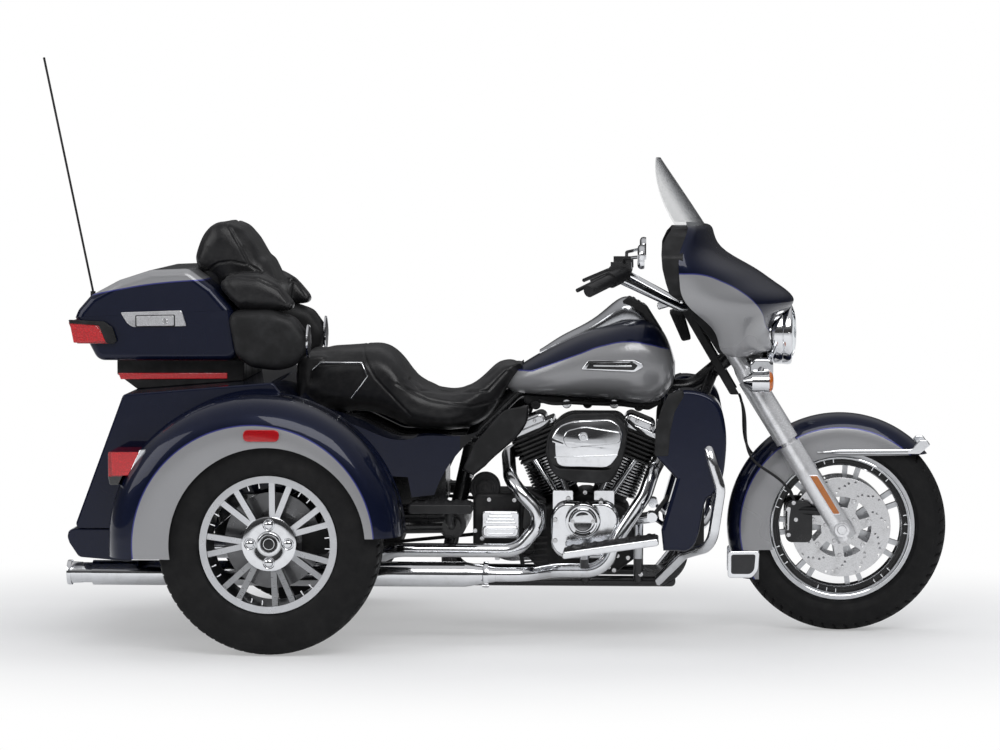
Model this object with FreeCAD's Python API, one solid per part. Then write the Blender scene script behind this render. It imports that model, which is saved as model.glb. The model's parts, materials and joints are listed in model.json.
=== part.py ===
import FreeCAD, Part
import math
import os

# Motorized touring trike: one steered wheel in front, two driven wheels behind,
# an open V-twin engine, a trunk between the rear wheels and a luggage box above it.
# Millimetres. +X is forward, +Y is the vehicle's left and +Z is up.
# While pieces are shaped, X counts from the rear axle. ship() then moves them so that
# the origin lies on the ground, in the middle plane and midway along the overall length.

Vec = FreeCAD.Vector
os.makedirs("parts", exist_ok=True)

# Driving sizes
WHEELBASE = 1670.0
HALF_TRACK = 570.0
TYRE_SIDE_GAP = 17.5
FENDER_PROUD = 22.5
RAKE_DEG = 26.0
FORK_DEG = 31.7
TRAIL = 100.0
FORK_HALF_GAP = 120.0

FRONT_TYRE_R = 320.0
FRONT_TYRE_W = 130.0
FRONT_BEAD_R = 216.0
REAR_TYRE_R = 323.0
REAR_TYRE_W = 205.0
REAR_BEAD_R = 191.0

BODY_HALF_W = HALF_TRACK - REAR_TYRE_W / 2 - TYRE_SIDE_GAP
FENDER_OUTER_Y = HALF_TRACK + REAR_TYRE_W / 2 + FENDER_PROUD
CRANK_X = 898.0
CRANK_Z = 235.0
VEE_DEG = 45.0

# Clearances
SEAT_GAP = 0.3
SHAFT_GAP = 0.5
DOOR_GAP = 5.0
OVERRUN = 40.0
CORNER_LIMIT_SHARE = 0.45
BODY_SECTION_SHARE = 0.78
SQUARE_SECTION_SHARE = 0.62
SECTION_POINTS = 16


# Shapes in common
def span(low, high, share):
    return low + (high - low) * share


def middle(low, high):
    return (low + high) / 2


def span_point(start, end, share):
    """Point a share of the way from one point to another."""
    return start + (end - start) * share


def spots(shares, back, low, front, high):
    """Side-view points from shares of a box given by its four sides."""
    return [Vec(span(back, front, u), 0, span(low, high, w)) for u, w in shares]


def run_edge(path):
    """One edge: straight through two points, a smooth curve through more."""
    if len(path) == 2:
        return Part.LineSegment(path[0], path[1]).toShape()
    curve = Part.BSplineCurve()
    curve.interpolate(path)
    return curve.toShape()


def chain(runs, back, low, front, high):
    """Closed side-view wire. Each run starts where the last one ended, and a run
    of one point is straight while a longer one is a smooth curve."""
    placed = [spots(run, back, low, front, high) for run in runs]
    last = placed[-1][-1]
    edges = []
    for run in placed:
        edges.append(run_edge([last] + run))
        last = run[-1]
    return Part.Wire(edges)


def rounded(points, radius):
    """Closed wire of straight runs whose corners are rounded."""
    edges = []
    ends = []
    count = len(points)
    for index in range(count):
        here = points[index]
        back = points[index - 1] - here
        ahead = points[(index + 1) % count] - here
        room = min(back.Length, ahead.Length) * CORNER_LIMIT_SHARE
        back.normalize()
        ahead.normalize()
        half_turn = (math.pi - back.getAngle(ahead)) / 2
        reach = min(radius * math.tan(half_turn), room)
        bend = reach / math.tan(half_turn)
        inward = (back + ahead).normalize()
        peak = here + inward * (math.hypot(bend, reach) - bend)
        start = here + back * reach
        end = here + ahead * reach
        edges.append(Part.Arc(start, peak, end).toShape())
        ends.append((start, end))
    joined = []
    for index in range(count):
        joined.append(edges[index])
        following = ends[(index + 1) % count][0]
        joined.append(Part.LineSegment(ends[index][1], following).toShape())
    return Part.Wire(joined)


def slab(wire, y_low, y_high):
    """Solid between two planes across the vehicle, from a side-view wire."""
    face = Part.Face(wire)
    face.translate(Vec(0, y_low, 0))
    return face.extrude(Vec(0, y_high - y_low, 0))


def soft_slab(wire, y_low, y_high, radius, sides=(True, True)):
    """A slab with the edges of its side faces rounded."""
    solid = slab(wire, y_low, y_high)
    chosen = []
    for edge in solid.Edges:
        y = edge.CenterOfMass.y
        flat = max(abs(v.Y - y) for v in edge.Vertexes) < SEAT_GAP
        low_side = flat and sides[0] and abs(y - y_low) < SEAT_GAP
        high_side = flat and sides[1] and abs(y - y_high) < SEAT_GAP
        if low_side or high_side:
            chosen.append(edge)
    return solid.makeFillet(radius, chosen)


def box_slab(back, front, low, high, y_low, y_high, corner):
    """Upright block with rounded corners in the side view."""
    corners = [Vec(back, 0, low), Vec(front, 0, low), Vec(front, 0, high), Vec(back, 0, high)]
    return slab(rounded(corners, corner), y_low, y_high)


def soft_box(back, front, low, high, y_low, y_high, corner, edge):
    corners = [Vec(back, 0, low), Vec(front, 0, low), Vec(front, 0, high), Vec(back, 0, high)]
    return soft_slab(rounded(corners, corner), y_low, y_high, edge)


def ring_across(x, half_width, low, high, power):
    """Closed smooth section in a plane across the vehicle."""
    points = []
    for step in range(SECTION_POINTS):
        angle = 2 * math.pi * step / SECTION_POINTS
        c = math.cos(angle)
        s = math.sin(angle)
        y = half_width * math.copysign(abs(c) ** power, c)
        z = middle(low, high) + (high - low) / 2 * math.copysign(abs(s) ** power, s)
        points.append(Vec(x, y, z))
    curve = Part.BSplineCurve()
    curve.interpolate(Points=points, PeriodicFlag=True)
    return Part.Wire(curve.toShape())


def body_loft(table, back, front, half_width, low, high, power):
    """Smooth body through cross-sections. A table row holds the shares of the
    length, the half width, the lowest and the highest point."""
    rings = []
    for along, wide, bottom, top in table:
        rings.append(ring_across(span(back, front, along), half_width * wide,
                                 span(low, high, bottom), span(low, high, top), power))
    return Part.makeLoft(rings, True, False)


def turned(profile, centre_x, centre_z):
    """Solid turned about a cross axis. Profile points are (y, radius)."""
    points = [Vec(centre_x, y, centre_z + r) for y, r in profile]
    wire = Part.makePolygon(points + points[:1])
    return Part.Face(wire).revolve(Vec(centre_x, 0, centre_z), Vec(0, 1, 0), 360)


def turned_curve(runs, centre_x, centre_z):
    """As turned(), with each run of more than two points a smooth curve."""
    edges = [run_edge([Vec(centre_x, y, centre_z + r) for y, r in run]) for run in runs]
    face = Part.Face(Part.Wire(edges))
    return face.revolve(Vec(centre_x, 0, centre_z), Vec(0, 1, 0), 360)


def turned_ahead(profile, y, z):
    """Solid turned about a lengthwise axis. Profile points are (x, radius)."""
    points = [Vec(x, y, z + r) for x, r in profile]
    wire = Part.makePolygon(points + points[:1])
    return Part.Face(wire).revolve(Vec(0, y, z), Vec(1, 0, 0), 360)


def rod(start, end, radius):
    run = end - start
    return Part.makeCylinder(radius, run.Length, start, run)


def across(x, z, y_low, y_high, radius):
    """Round bar along the cross axis."""
    return Part.makeCylinder(radius, y_high - y_low, Vec(x, y_low, z), Vec(0, 1, 0))


def tube(points, radius, bend):
    """Round bar along straight runs joined by arcs."""
    edges = []
    start = points[0]
    for index in range(1, len(points) - 1):
        here = points[index]
        back = points[index - 1] - here
        ahead = points[index + 1] - here
        room = min(back.Length, ahead.Length) * CORNER_LIMIT_SHARE
        back.normalize()
        ahead.normalize()
        half_turn = (math.pi - back.getAngle(ahead)) / 2
        reach = min(bend * math.tan(half_turn), room)
        arc_r = reach / math.tan(half_turn)
        inward = (back + ahead).normalize()
        peak = here + inward * (math.hypot(arc_r, reach) - arc_r)
        enter = here + back * reach
        leave = here + ahead * reach
        edges.append(Part.LineSegment(start, enter).toShape())
        edges.append(Part.Arc(enter, peak, leave).toShape())
        start = leave
    edges.append(Part.LineSegment(start, points[-1]).toShape())
    path = Part.Wire(edges)
    run = points[1] - points[0]
    section = Part.Wire(Part.makeCircle(radius, points[0], run))
    return path.makePipeShell([section], True, True)


def mirrored(shape):
    return shape.mirror(Vec(0, 0, 0), Vec(0, 1, 0))


def pair(shape):
    """The piece and its mirror image on the other side."""
    return [shape, mirrored(shape)]


def fused(first, *others):
    return first.multiFuse(list(others)).removeSplitter()


def without(shape, *others):
    for other in others:
        shape = shape.cut(other)
    return shape


# Antenna sizes come first, because its tip is the rearmost point of all
ANTENNA_TIP_BACK = 803.0
ANTENNA_TIP_Z = 1745.0
ANTENNA_TIP_R = 4.0
MID_X = (WHEELBASE + FRONT_TYRE_R - ANTENNA_TIP_BACK) / 2


def ship(name, *shapes):
    """Write one node, moved to the origin on the ground."""
    solids = [solid for shape in shapes for solid in shape.Solids]
    whole = solids[0] if len(solids) == 1 else Part.makeCompound(solids)
    whole = whole.copy()
    whole.translate(Vec(-MID_X, 0, 0))
    whole.exportStep(os.path.join("parts", name + ".step"))


# Places along the steering axis and along the fork
RAKE = math.radians(RAKE_DEG)
FORK_TILT = math.radians(FORK_DEG)
FORK_UP = Vec(-math.sin(FORK_TILT), 0, math.cos(FORK_TILT))
FORK_AHEAD = Vec(math.cos(FORK_TILT), 0, math.sin(FORK_TILT))
HEAD_UP = Vec(-math.sin(RAKE), 0, math.cos(RAKE))
HEAD_AHEAD = Vec(math.cos(RAKE), 0, math.sin(RAKE))
FRONT_AXLE = Vec(WHEELBASE, 0, FRONT_TYRE_R)
HEAD_FOOT = Vec(WHEELBASE + TRAIL, 0, 0)


def on_fork(up, y=0.0, ahead=0.0):
    """Point at a distance up the fork from the front axle."""
    return FRONT_AXLE + FORK_UP * up + FORK_AHEAD * ahead + Vec(0, y, 0)


def on_head(z, y=0.0, ahead=0.0):
    """Point on the steering axis at a height above the ground."""
    return HEAD_FOOT + HEAD_UP * (z / math.cos(RAKE)) + HEAD_AHEAD * ahead + Vec(0, y, 0)


# Wheels and tyres
FRONT_RIM_HALF_W = 44.0
REAR_RIM_HALF_W = 88.0
RIM_LIP_T = 6.0
RIM_LIP_H = 8.0
RIM_WALL = 12.0
FRONT_TYRE_SHARES = [(0.86, 0.16), (0.98, 0.34), (1.0, 0.48), (0.93, 0.73), (0.64, 0.93)]
REAR_TYRE_SHARES = [(0.93, 0.13), (0.99, 0.30), (1.0, 0.48), (0.97, 0.76), (0.89, 0.93),
                    (0.62, 0.985)]
SPOKE_PAIRS = 7
WHEEL_TWIST = math.radians(78.5)


def make_tyre(centre_x, centre_y, radius, width, bead_r, rim_half, shares):
    half = width / 2
    bead_half = rim_half - RIM_LIP_T - SEAT_GAP
    seat = bead_r + SEAT_GAP
    wall = [(-half * wide, span(bead_r, radius, up)) for wide, up in shares]
    outer = [(-bead_half, bead_r + RIM_LIP_H)] + wall + [(0, radius)]
    outer += [(-y, r) for y, r in reversed(outer[:-1])]
    runs = [
        [(-bead_half, seat), outer[0]],
        outer,
        [outer[-1], (bead_half, seat)],
        [(bead_half, seat), (-bead_half, seat)],
    ]
    tyre = turned_curve(runs, centre_x, radius)
    tyre.translate(Vec(0, centre_y, 0))
    return tyre


def make_rim(bead_r, rim_half, inner_r):
    lip_r = bead_r + RIM_LIP_H
    inside = rim_half - RIM_LIP_T
    return [
        (-rim_half, lip_r), (-inside, lip_r), (-inside, bead_r), (inside, bead_r),
        (inside, lip_r), (rim_half, lip_r), (rim_half, inner_r), (-rim_half, inner_r),
    ]


def make_spoke(centre, inner, outer):
    """Tapered bar. inner and outer hold radius, angle, y, width and depth."""
    frames = []
    for r, angle, y, width, depth in (inner, outer):
        out = Vec(math.cos(angle), 0, math.sin(angle))
        side = Vec(-math.sin(angle), 0, math.cos(angle)) * (width / 2)
        deep = Vec(0, depth / 2, 0)
        at = centre + out * r + Vec(0, y, 0)
        ring = [at - side - deep, at + side - deep, at + side + deep, at - side + deep]
        frames.append(Part.makePolygon(ring + ring[:1]))
    return Part.makeLoft(frames, True, True)


# Front wheel
FRONT_HUB_R = 40.0
FRONT_HUB_HALF_W = 68.0
FRONT_AXLE_R = 12.5
FRONT_SPOKE_W = 15.0
FRONT_SPOKE_D = 24.0
FRONT_SPOKE_SPREAD_DEG = 6.5
DISC_R = 150.0
DISC_T = 5.0
DISC_BORE_R = 34.0
DISC_SLOT_R = 13.0
DISC_SLOT_AT_R = 72.0
DISC_SLOTS = 10


def spoked_wheel(centre, bead_r, rim_half, hub, spoke, twist):
    """Rim, hub and paired spokes. hub is (radius, y low, y high), spoke is
    (inner y, outer y, width, depth, spread angle)."""
    hub_r, hub_low, hub_high = hub
    y_in, y_out, width, depth, spread = spoke
    inner_r = bead_r - RIM_WALL
    pieces = [turned(make_rim(bead_r, rim_half, inner_r), centre.x, centre.z)]
    pieces[0].translate(Vec(0, centre.y, 0))
    pieces.append(across(centre.x, centre.z, centre.y + hub_low, centre.y + hub_high, hub_r))
    for number in range(SPOKE_PAIRS):
        middle_angle = twist + 2 * math.pi * number / SPOKE_PAIRS
        for side in (-1, 1):
            near = middle_angle + side * spread / 2
            far = middle_angle + side * spread
            start = (hub_r - width / 2, near, y_in, width, depth)
            end = (inner_r + RIM_LIP_T, far, y_out, width, depth)
            pieces.append(make_spoke(centre, start, end))
    return fused(*pieces)


def make_front_wheel():
    hub = (FRONT_HUB_R, -FRONT_HUB_HALF_W, FRONT_HUB_HALF_W)
    spread = math.radians(FRONT_SPOKE_SPREAD_DEG)
    spoke = (0, 0, FRONT_SPOKE_W, FRONT_SPOKE_D, spread)
    wheel = spoked_wheel(FRONT_AXLE, FRONT_BEAD_R, FRONT_RIM_HALF_W, hub, spoke, WHEEL_TWIST)
    bore = across(FRONT_AXLE.x, FRONT_AXLE.z, -FRONT_HUB_HALF_W - OVERRUN,
                  FRONT_HUB_HALF_W + OVERRUN, FRONT_AXLE_R + SHAFT_GAP)
    return wheel.cut(bore)


def make_front_disc():
    y_low = FRONT_HUB_HALF_W + SEAT_GAP
    disc = across(FRONT_AXLE.x, FRONT_AXLE.z, y_low, y_low + DISC_T, DISC_R)
    cuts = [across(FRONT_AXLE.x, FRONT_AXLE.z, y_low - OVERRUN, y_low + OVERRUN, DISC_BORE_R)]
    for number in range(DISC_SLOTS):
        angle = 2 * math.pi * number / DISC_SLOTS
        x = FRONT_AXLE.x + DISC_SLOT_AT_R * math.cos(angle)
        z = FRONT_AXLE.z + DISC_SLOT_AT_R * math.sin(angle)
        cuts.append(across(x, z, y_low - OVERRUN, y_low + OVERRUN, DISC_SLOT_R))
    return disc.cut(Part.makeCompound(cuts))


ship("front_tyre", make_tyre(WHEELBASE, 0, FRONT_TYRE_R, FRONT_TYRE_W, FRONT_BEAD_R,
                             FRONT_RIM_HALF_W, FRONT_TYRE_SHARES))
ship("front_rim", make_front_wheel())
ship("front_discs", *pair(make_front_disc()))

# Rear wheels
REAR_HUB_R = 76.0
REAR_HUB_IN = -38.0
REAR_HUB_OUT = 58.0
REAR_CAP_R = 36.0
REAR_CAP_T = 8.0
REAR_SPOKE_IN_Y = 40.0
REAR_SPOKE_OUT_Y = 58.0
REAR_SPOKE_W = 17.0
REAR_SPOKE_D = 26.0
REAR_SPOKE_SPREAD_DEG = 8.5
REAR_DISC_R = 140.0
REAR_DISC_T = 10.0
STUB_R = 24.0
STUB_LENGTH = 40.0


def make_rear_wheel():
    """Left wheel with its brake disc on the inner side of the hub."""
    centre = Vec(0, HALF_TRACK, REAR_TYRE_R)
    hub = (REAR_HUB_R, REAR_HUB_IN, REAR_HUB_OUT)
    spread = math.radians(REAR_SPOKE_SPREAD_DEG)
    spoke = (REAR_SPOKE_IN_Y, REAR_SPOKE_OUT_Y, REAR_SPOKE_W, REAR_SPOKE_D, spread)
    wheel = spoked_wheel(centre, REAR_BEAD_R, REAR_RIM_HALF_W, hub, spoke, WHEEL_TWIST)
    face_y = HALF_TRACK + REAR_HUB_OUT
    cap = across(0, REAR_TYRE_R, face_y, face_y + REAR_CAP_T, REAR_CAP_R)
    disc_y = HALF_TRACK + REAR_HUB_IN
    disc = across(0, REAR_TYRE_R, disc_y - REAR_DISC_T, disc_y, REAR_DISC_R)
    bore = across(0, REAR_TYRE_R, disc_y - OVERRUN, disc_y + STUB_LENGTH + SHAFT_GAP,
                  STUB_R + SHAFT_GAP)
    return fused(wheel, cap, disc).cut(bore)


rear_wheel = make_rear_wheel()
rear_tyre = make_tyre(0, HALF_TRACK, REAR_TYRE_R, REAR_TYRE_W, REAR_BEAD_R,
                      REAR_RIM_HALF_W, REAR_TYRE_SHARES)
ship("rear_tyre_left", rear_tyre)
ship("rear_tyre_right", mirrored(rear_tyre))
ship("rear_rim_left", rear_wheel)
ship("rear_rim_right", mirrored(rear_wheel))

# Rear axle, swingarm and final drive
AXLE_TUBE_R = 36.0
DIFF_R = 112.0
DIFF_HALF_W = 84.0
DIFF_EDGE_SHARE = 0.55
AXLE_FLANGE_R = 60.0
AXLE_FLANGE_T = 14.0
CALIPER_LOW_R = 88.0
CALIPER_HIGH_R = 166.0
CALIPER_HALF_H = 38.0
CALIPER_WALL = 24.0
BRAKE_GAP = 5.0
PULLEY_Y = 105.0
PULLEY_HALF_W = 15.0
REAR_PULLEY_R = 102.0
FRONT_PULLEY_R = 44.0
FRONT_PULLEY_X = 640.0
FRONT_PULLEY_Z = 330.0
BELT_T = 8.0
PIVOT_X = 500.0
PIVOT_Z = 330.0
PIVOT_R = 28.0
PIVOT_HALF_W = 195.0
ARM_R = 24.0
ARM_FRONT_Y = 165.0
ARM_REAR_Y = 190.0
SHOCK_FOOT_X = 105.0
SHOCK_TOP_X = 160.0
SHOCK_TOP_Z = 640.0
SHOCK_Y = 240.0
SHOCK_R = 30.0
SHOCK_ROD_R = 13.0
SHOCK_BODY_SHARE = 0.62
SHOCK_EYE_R = 20.0
SHOCK_EYE_HALF_W = 17.0
SHOCK_PIN_R = 9.0


def make_rear_axle():
    axle_end = HALF_TRACK + REAR_HUB_IN - REAR_DISC_T
    edge = DIFF_HALF_W * DIFF_EDGE_SHARE
    case = turned([(-DIFF_HALF_W, 0), (-DIFF_HALF_W, DIFF_R * DIFF_EDGE_SHARE), (-edge, DIFF_R),
                   (edge, DIFF_R), (DIFF_HALF_W, DIFF_R * DIFF_EDGE_SHARE), (DIFF_HALF_W, 0)],
                  0, REAR_TYRE_R)
    pieces = [case, across(0, REAR_TYRE_R, -axle_end + SHAFT_GAP, axle_end - SHAFT_GAP,
                           AXLE_TUBE_R)]
    stub_end = HALF_TRACK + REAR_HUB_IN + STUB_LENGTH
    pieces.append(across(0, REAR_TYRE_R, -stub_end, stub_end, STUB_R))
    disc_in = axle_end - BRAKE_GAP
    disc_out = HALF_TRACK + REAR_HUB_IN + BRAKE_GAP
    flange = across(0, REAR_TYRE_R, disc_in - AXLE_FLANGE_T, disc_in, AXLE_FLANGE_R)
    block = box_slab(CALIPER_LOW_R, CALIPER_HIGH_R, REAR_TYRE_R - CALIPER_HALF_H,
                     REAR_TYRE_R + CALIPER_HALF_H, disc_in - CALIPER_WALL,
                     disc_out + CALIPER_WALL, AXLE_FLANGE_T)
    slot = across(0, REAR_TYRE_R, disc_in, disc_out, REAR_DISC_R + BRAKE_GAP)
    arm = box_slab(0, CALIPER_HIGH_R, REAR_TYRE_R - AXLE_TUBE_R, REAR_TYRE_R + AXLE_TUBE_R,
                   disc_in - AXLE_FLANGE_T, disc_in, AXLE_FLANGE_T)
    brake = fused(flange, block.cut(slot), arm)
    return fused(*pieces, brake, mirrored(brake))


def make_swingarm():
    pivot = across(PIVOT_X, PIVOT_Z, -PIVOT_HALF_W, PIVOT_HALF_W, PIVOT_R)
    arms = []
    for side in (-1, 1):
        front = Vec(PIVOT_X, side * ARM_FRONT_Y, PIVOT_Z)
        rear = Vec(0, side * ARM_REAR_Y, REAR_TYRE_R)
        arms.append(rod(front, rear, ARM_R))
        foot = Vec(SHOCK_FOOT_X, side * ARM_REAR_Y, REAR_TYRE_R)
        arms.append(rod(foot, Vec(SHOCK_FOOT_X, side * (SHOCK_Y + SHOCK_EYE_R), REAR_TYRE_R),
                        SHOCK_PIN_R))
    return without(fused(pivot, *arms), rear_axle)


def make_shock():
    """Right shock: an eye at each end, a rod and a wider spring body."""
    foot = Vec(SHOCK_FOOT_X, SHOCK_Y, REAR_TYRE_R)
    top = Vec(SHOCK_TOP_X, SHOCK_Y, SHOCK_TOP_Z)
    run = top - foot
    body_low = foot + run * (1 - SHOCK_BODY_SHARE)
    eye = across(foot.x, foot.z, SHOCK_Y - SHOCK_EYE_HALF_W, SHOCK_Y + SHOCK_EYE_HALF_W, SHOCK_EYE_R)
    top_eye = across(top.x, top.z, SHOCK_Y - SHOCK_EYE_HALF_W, SHOCK_Y + SHOCK_EYE_HALF_W,
                     SHOCK_EYE_R)
    body = rod(body_low, top - run * (SHOCK_PIN_R / run.Length), SHOCK_R)
    shock = fused(eye, top_eye, rod(foot, top, SHOCK_ROD_R), body)
    return without(shock, swingarm, frame_shock_bar)


def belt_loop(thickness_out, y_low, y_high):
    """Outline round both pulleys, grown outwards by a thickness."""
    rear_r = REAR_PULLEY_R + thickness_out
    front_r = FRONT_PULLEY_R + thickness_out
    rise = FRONT_PULLEY_Z - REAR_TYRE_R
    distance = math.hypot(FRONT_PULLEY_X, rise)
    lean = math.acos((rear_r - front_r) / distance)
    tilt = math.atan2(rise, FRONT_PULLEY_X)

    def at(x, z, r, angle):
        return Vec(x + r * math.cos(tilt + angle), 0, z + r * math.sin(tilt + angle))
    edges = [
        Part.Arc(at(0, REAR_TYRE_R, rear_r, lean), at(0, REAR_TYRE_R, rear_r, math.pi),
                 at(0, REAR_TYRE_R, rear_r, -lean)).toShape(),
        Part.LineSegment(at(0, REAR_TYRE_R, rear_r, -lean),
                         at(FRONT_PULLEY_X, FRONT_PULLEY_Z, front_r, -lean)).toShape(),
        Part.Arc(at(FRONT_PULLEY_X, FRONT_PULLEY_Z, front_r, -lean),
                 at(FRONT_PULLEY_X, FRONT_PULLEY_Z, front_r, 0),
                 at(FRONT_PULLEY_X, FRONT_PULLEY_Z, front_r, lean)).toShape(),
        Part.LineSegment(at(FRONT_PULLEY_X, FRONT_PULLEY_Z, front_r, lean),
                         at(0, REAR_TYRE_R, rear_r, lean)).toShape(),
    ]
    return slab(Part.Wire(edges), y_low, y_high)


def make_belt():
    y_low = PULLEY_Y - PULLEY_HALF_W
    y_high = PULLEY_Y + PULLEY_HALF_W
    belt = belt_loop(BELT_T, y_low, y_high).cut(belt_loop(0, y_low - OVERRUN, y_high + OVERRUN))
    rear = across(0, REAR_TYRE_R, y_low, y_high, REAR_PULLEY_R)
    front = across(FRONT_PULLEY_X, FRONT_PULLEY_Z, y_low, y_high, FRONT_PULLEY_R)
    return without(fused(belt, rear, front), rear_axle)


rear_axle = make_rear_axle()
swingarm = make_swingarm()
ship("rear_axle", rear_axle)
ship("swingarm", swingarm)
ship("drive_belt", make_belt())

# Frame
BACKBONE_R = 24.0
CRADLE_R = 16.0
CRADLE_Y = 142.0
NECK_LOW_Z = 802.0
NECK_HIGH_Z = 930.0
NECK_R = 31.0
STEM_R = 17.0
TUBE_BEND = 90.0
BACKBONE_Z = 738.0
SEAT_POST_X = 560.0
SEAT_POST_Z = 600.0
SEAT_DROP_X = 700.0
CRADLE_LOW_Z = 161.0
CRADLE_TOP_X = 1222.0
CRADLE_TOP_Z = 640.0
CRADLE_FRONT_X = 1188.0
CRADLE_BACK_X = 470.0
RAIL_Z = 650.0
RAIL_REAR_X = 62.0
RAIL_DIP_X = 330.0
RAIL_DIP_Z = 585.0
HEAD_JOIN_Z = 850.0
DOWN_TUBE_SHARE = 0.5
CROSS_PLATE_T = 14.0
LOWER_PLATE_BACK = 1060.0


def make_frame():
    neck_low = on_head(NECK_LOW_Z)
    neck_high = on_head(NECK_HIGH_Z)
    neck = rod(neck_low, neck_high, NECK_R)
    join = on_head(HEAD_JOIN_Z)
    post_foot = Vec(PIVOT_X, 0, PIVOT_Z)
    backbone = tube([join, Vec(CRADLE_TOP_X, 0, BACKBONE_Z), Vec(SEAT_DROP_X, 0, BACKBONE_Z),
                     Vec(SEAT_POST_X, 0, SEAT_POST_Z), post_foot], BACKBONE_R, TUBE_BEND)
    pieces = [neck, backbone]
    split = join + (Vec(CRADLE_TOP_X, 0, BACKBONE_Z) - join) * DOWN_TUBE_SHARE
    for side in (-1, 1):
        y = side * CRADLE_Y
        pieces.append(tube([split, Vec(CRADLE_TOP_X, y, CRADLE_TOP_Z),
                            Vec(CRADLE_FRONT_X, y, CRADLE_LOW_Z), Vec(CRADLE_BACK_X, y, CRADLE_LOW_Z),
                            Vec(PIVOT_X, y, PIVOT_Z)], CRADLE_R, TUBE_BEND))
        pieces.append(tube([Vec(SEAT_POST_X, y, RAIL_DIP_Z), Vec(RAIL_DIP_X, y, RAIL_DIP_Z),
                            Vec(middle(RAIL_REAR_X, RAIL_DIP_X), y, RAIL_Z),
                            Vec(RAIL_REAR_X, y, RAIL_Z)], CRADLE_R, TUBE_BEND))
    pieces.append(across(SEAT_POST_X, RAIL_DIP_Z, -CRADLE_Y, CRADLE_Y, CRADLE_R))
    pieces.append(across(PIVOT_X, PIVOT_Z, -CRADLE_Y - CRADLE_R, CRADLE_Y + CRADLE_R,
                         PIVOT_R + CROSS_PLATE_T))
    pieces.append(across(CRADLE_TOP_X, CRADLE_TOP_Z, -CRADLE_Y, CRADLE_Y, CRADLE_R))
    plate = box_slab(LOWER_PLATE_BACK, CRADLE_FRONT_X - CRADLE_R, CRADLE_LOW_Z - CRADLE_R,
                     CRADLE_LOW_Z + CRADLE_R, -CRADLE_Y, CRADLE_Y, CROSS_PLATE_T)
    pieces.append(plate)
    pieces.append(frame_shock_bar)
    pieces.append(across(SHOCK_TOP_X, middle(SHOCK_TOP_Z, RAIL_Z), -CRADLE_Y, CRADLE_Y, CRADLE_R))
    frame = fused(*pieces)
    bore = rod(on_head(NECK_LOW_Z - OVERRUN), on_head(NECK_HIGH_Z + OVERRUN), STEM_R + SHAFT_GAP)
    return without(frame, bore, swingarm)


frame_shock_bar = across(SHOCK_TOP_X, SHOCK_TOP_Z, -SHOCK_Y - SHOCK_EYE_R,
                         SHOCK_Y + SHOCK_EYE_R, SHOCK_PIN_R)
ship("shocks", *pair(make_shock()))
frame = make_frame()
ship("frame", frame)

# Engine
HALF_VEE = math.radians(VEE_DEG / 2)
CASE_RIGHT = -112.0
CASE_LEFT = 118.0
CASE_BACK = 728.0
CASE_FRONT = 1050.0
CASE_LOW = 182.0
CASE_CORNER = 22.0
DECK_UP = 182.0
DECK_HALF_W = 62.0
CASE_SIDE_SHARES = (0.22, 0.62)
BARREL_R = 54.0
FIN_R = 76.0
FIN_LOW_UP = 206.0
FIN_HIGH_UP = 322.0
BARREL_FINS = 12
FIN_FILL_SHARE = 0.42
HEAD_LOW_UP = 325.0
HEAD_HIGH_UP = 405.0
HEAD_HALF_X = 75.0
HEAD_HALF_Y = 112.0
HEAD_CORE_SHARE = 0.78
HEAD_FINS = 6
ROCKER_HIGH_UP = 450.0
ROCKER_HALF_X = 68.0
ROCKER_HALF_Y = 96.0
ROCKER_CORNER = 22.0
ROCKER_TOP_SHARE = 0.72
ROCKER_LIP_SHARE = 0.35
ROCKER_EDGE = 5.5
GEARBOX_BACK = 562.0
GEARBOX_LOW = 236.0
GEARBOX_HIGH = 425.0
GEARBOX_RIGHT = -150.0
GEARBOX_LEFT = 84.0


def on_cylinder(side, up, ahead=0.0, y=0.0):
    """Point at a distance up one cylinder from the crank; side is -1 for the rear one."""
    lean = side * HALF_VEE
    return Vec(CRANK_X + up * math.sin(lean) + ahead * math.cos(lean), y,
               CRANK_Z + up * math.cos(lean) - ahead * math.sin(lean))


def leaned(shape, side):
    """Move a shape built upright over the crank onto one of the cylinders."""
    shape.rotate(Vec(CRANK_X, 0, CRANK_Z), Vec(0, 1, 0), side * VEE_DEG / 2)
    return shape


def make_case():
    low_share, high_share = CASE_SIDE_SHARES
    deck_front = on_cylinder(1, DECK_UP, DECK_HALF_W)
    deck_back = on_cylinder(-1, DECK_UP, -DECK_HALF_W)
    outline = [
        Vec(CASE_BACK, 0, span(CASE_LOW, deck_back.z, low_share)),
        Vec(span(CASE_BACK, CRANK_X, low_share), 0, CASE_LOW),
        Vec(span(CRANK_X, CASE_FRONT, high_share), 0, CASE_LOW),
        Vec(CASE_FRONT, 0, span(CASE_LOW, deck_front.z, low_share)),
        Vec(CASE_FRONT, 0, span(CASE_LOW, deck_front.z, high_share)),
        deck_front, on_cylinder(1, DECK_UP, -DECK_HALF_W),
        on_cylinder(-1, DECK_UP, DECK_HALF_W), deck_back,
        Vec(CASE_BACK, 0, deck_back.z),
    ]
    case = soft_slab(rounded(outline, CASE_CORNER), CASE_RIGHT, CASE_LEFT, CASE_CORNER / 2)
    box = soft_box(GEARBOX_BACK, CASE_BACK + CASE_CORNER, GEARBOX_LOW, GEARBOX_HIGH,
                   GEARBOX_RIGHT, GEARBOX_LEFT, CASE_CORNER, CASE_CORNER / 2)
    return without(fused(case, box), belt_loop(BELT_T + BRAKE_GAP, PULLEY_Y - PULLEY_HALF_W
                                               - BRAKE_GAP, CASE_LEFT + OVERRUN))


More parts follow.
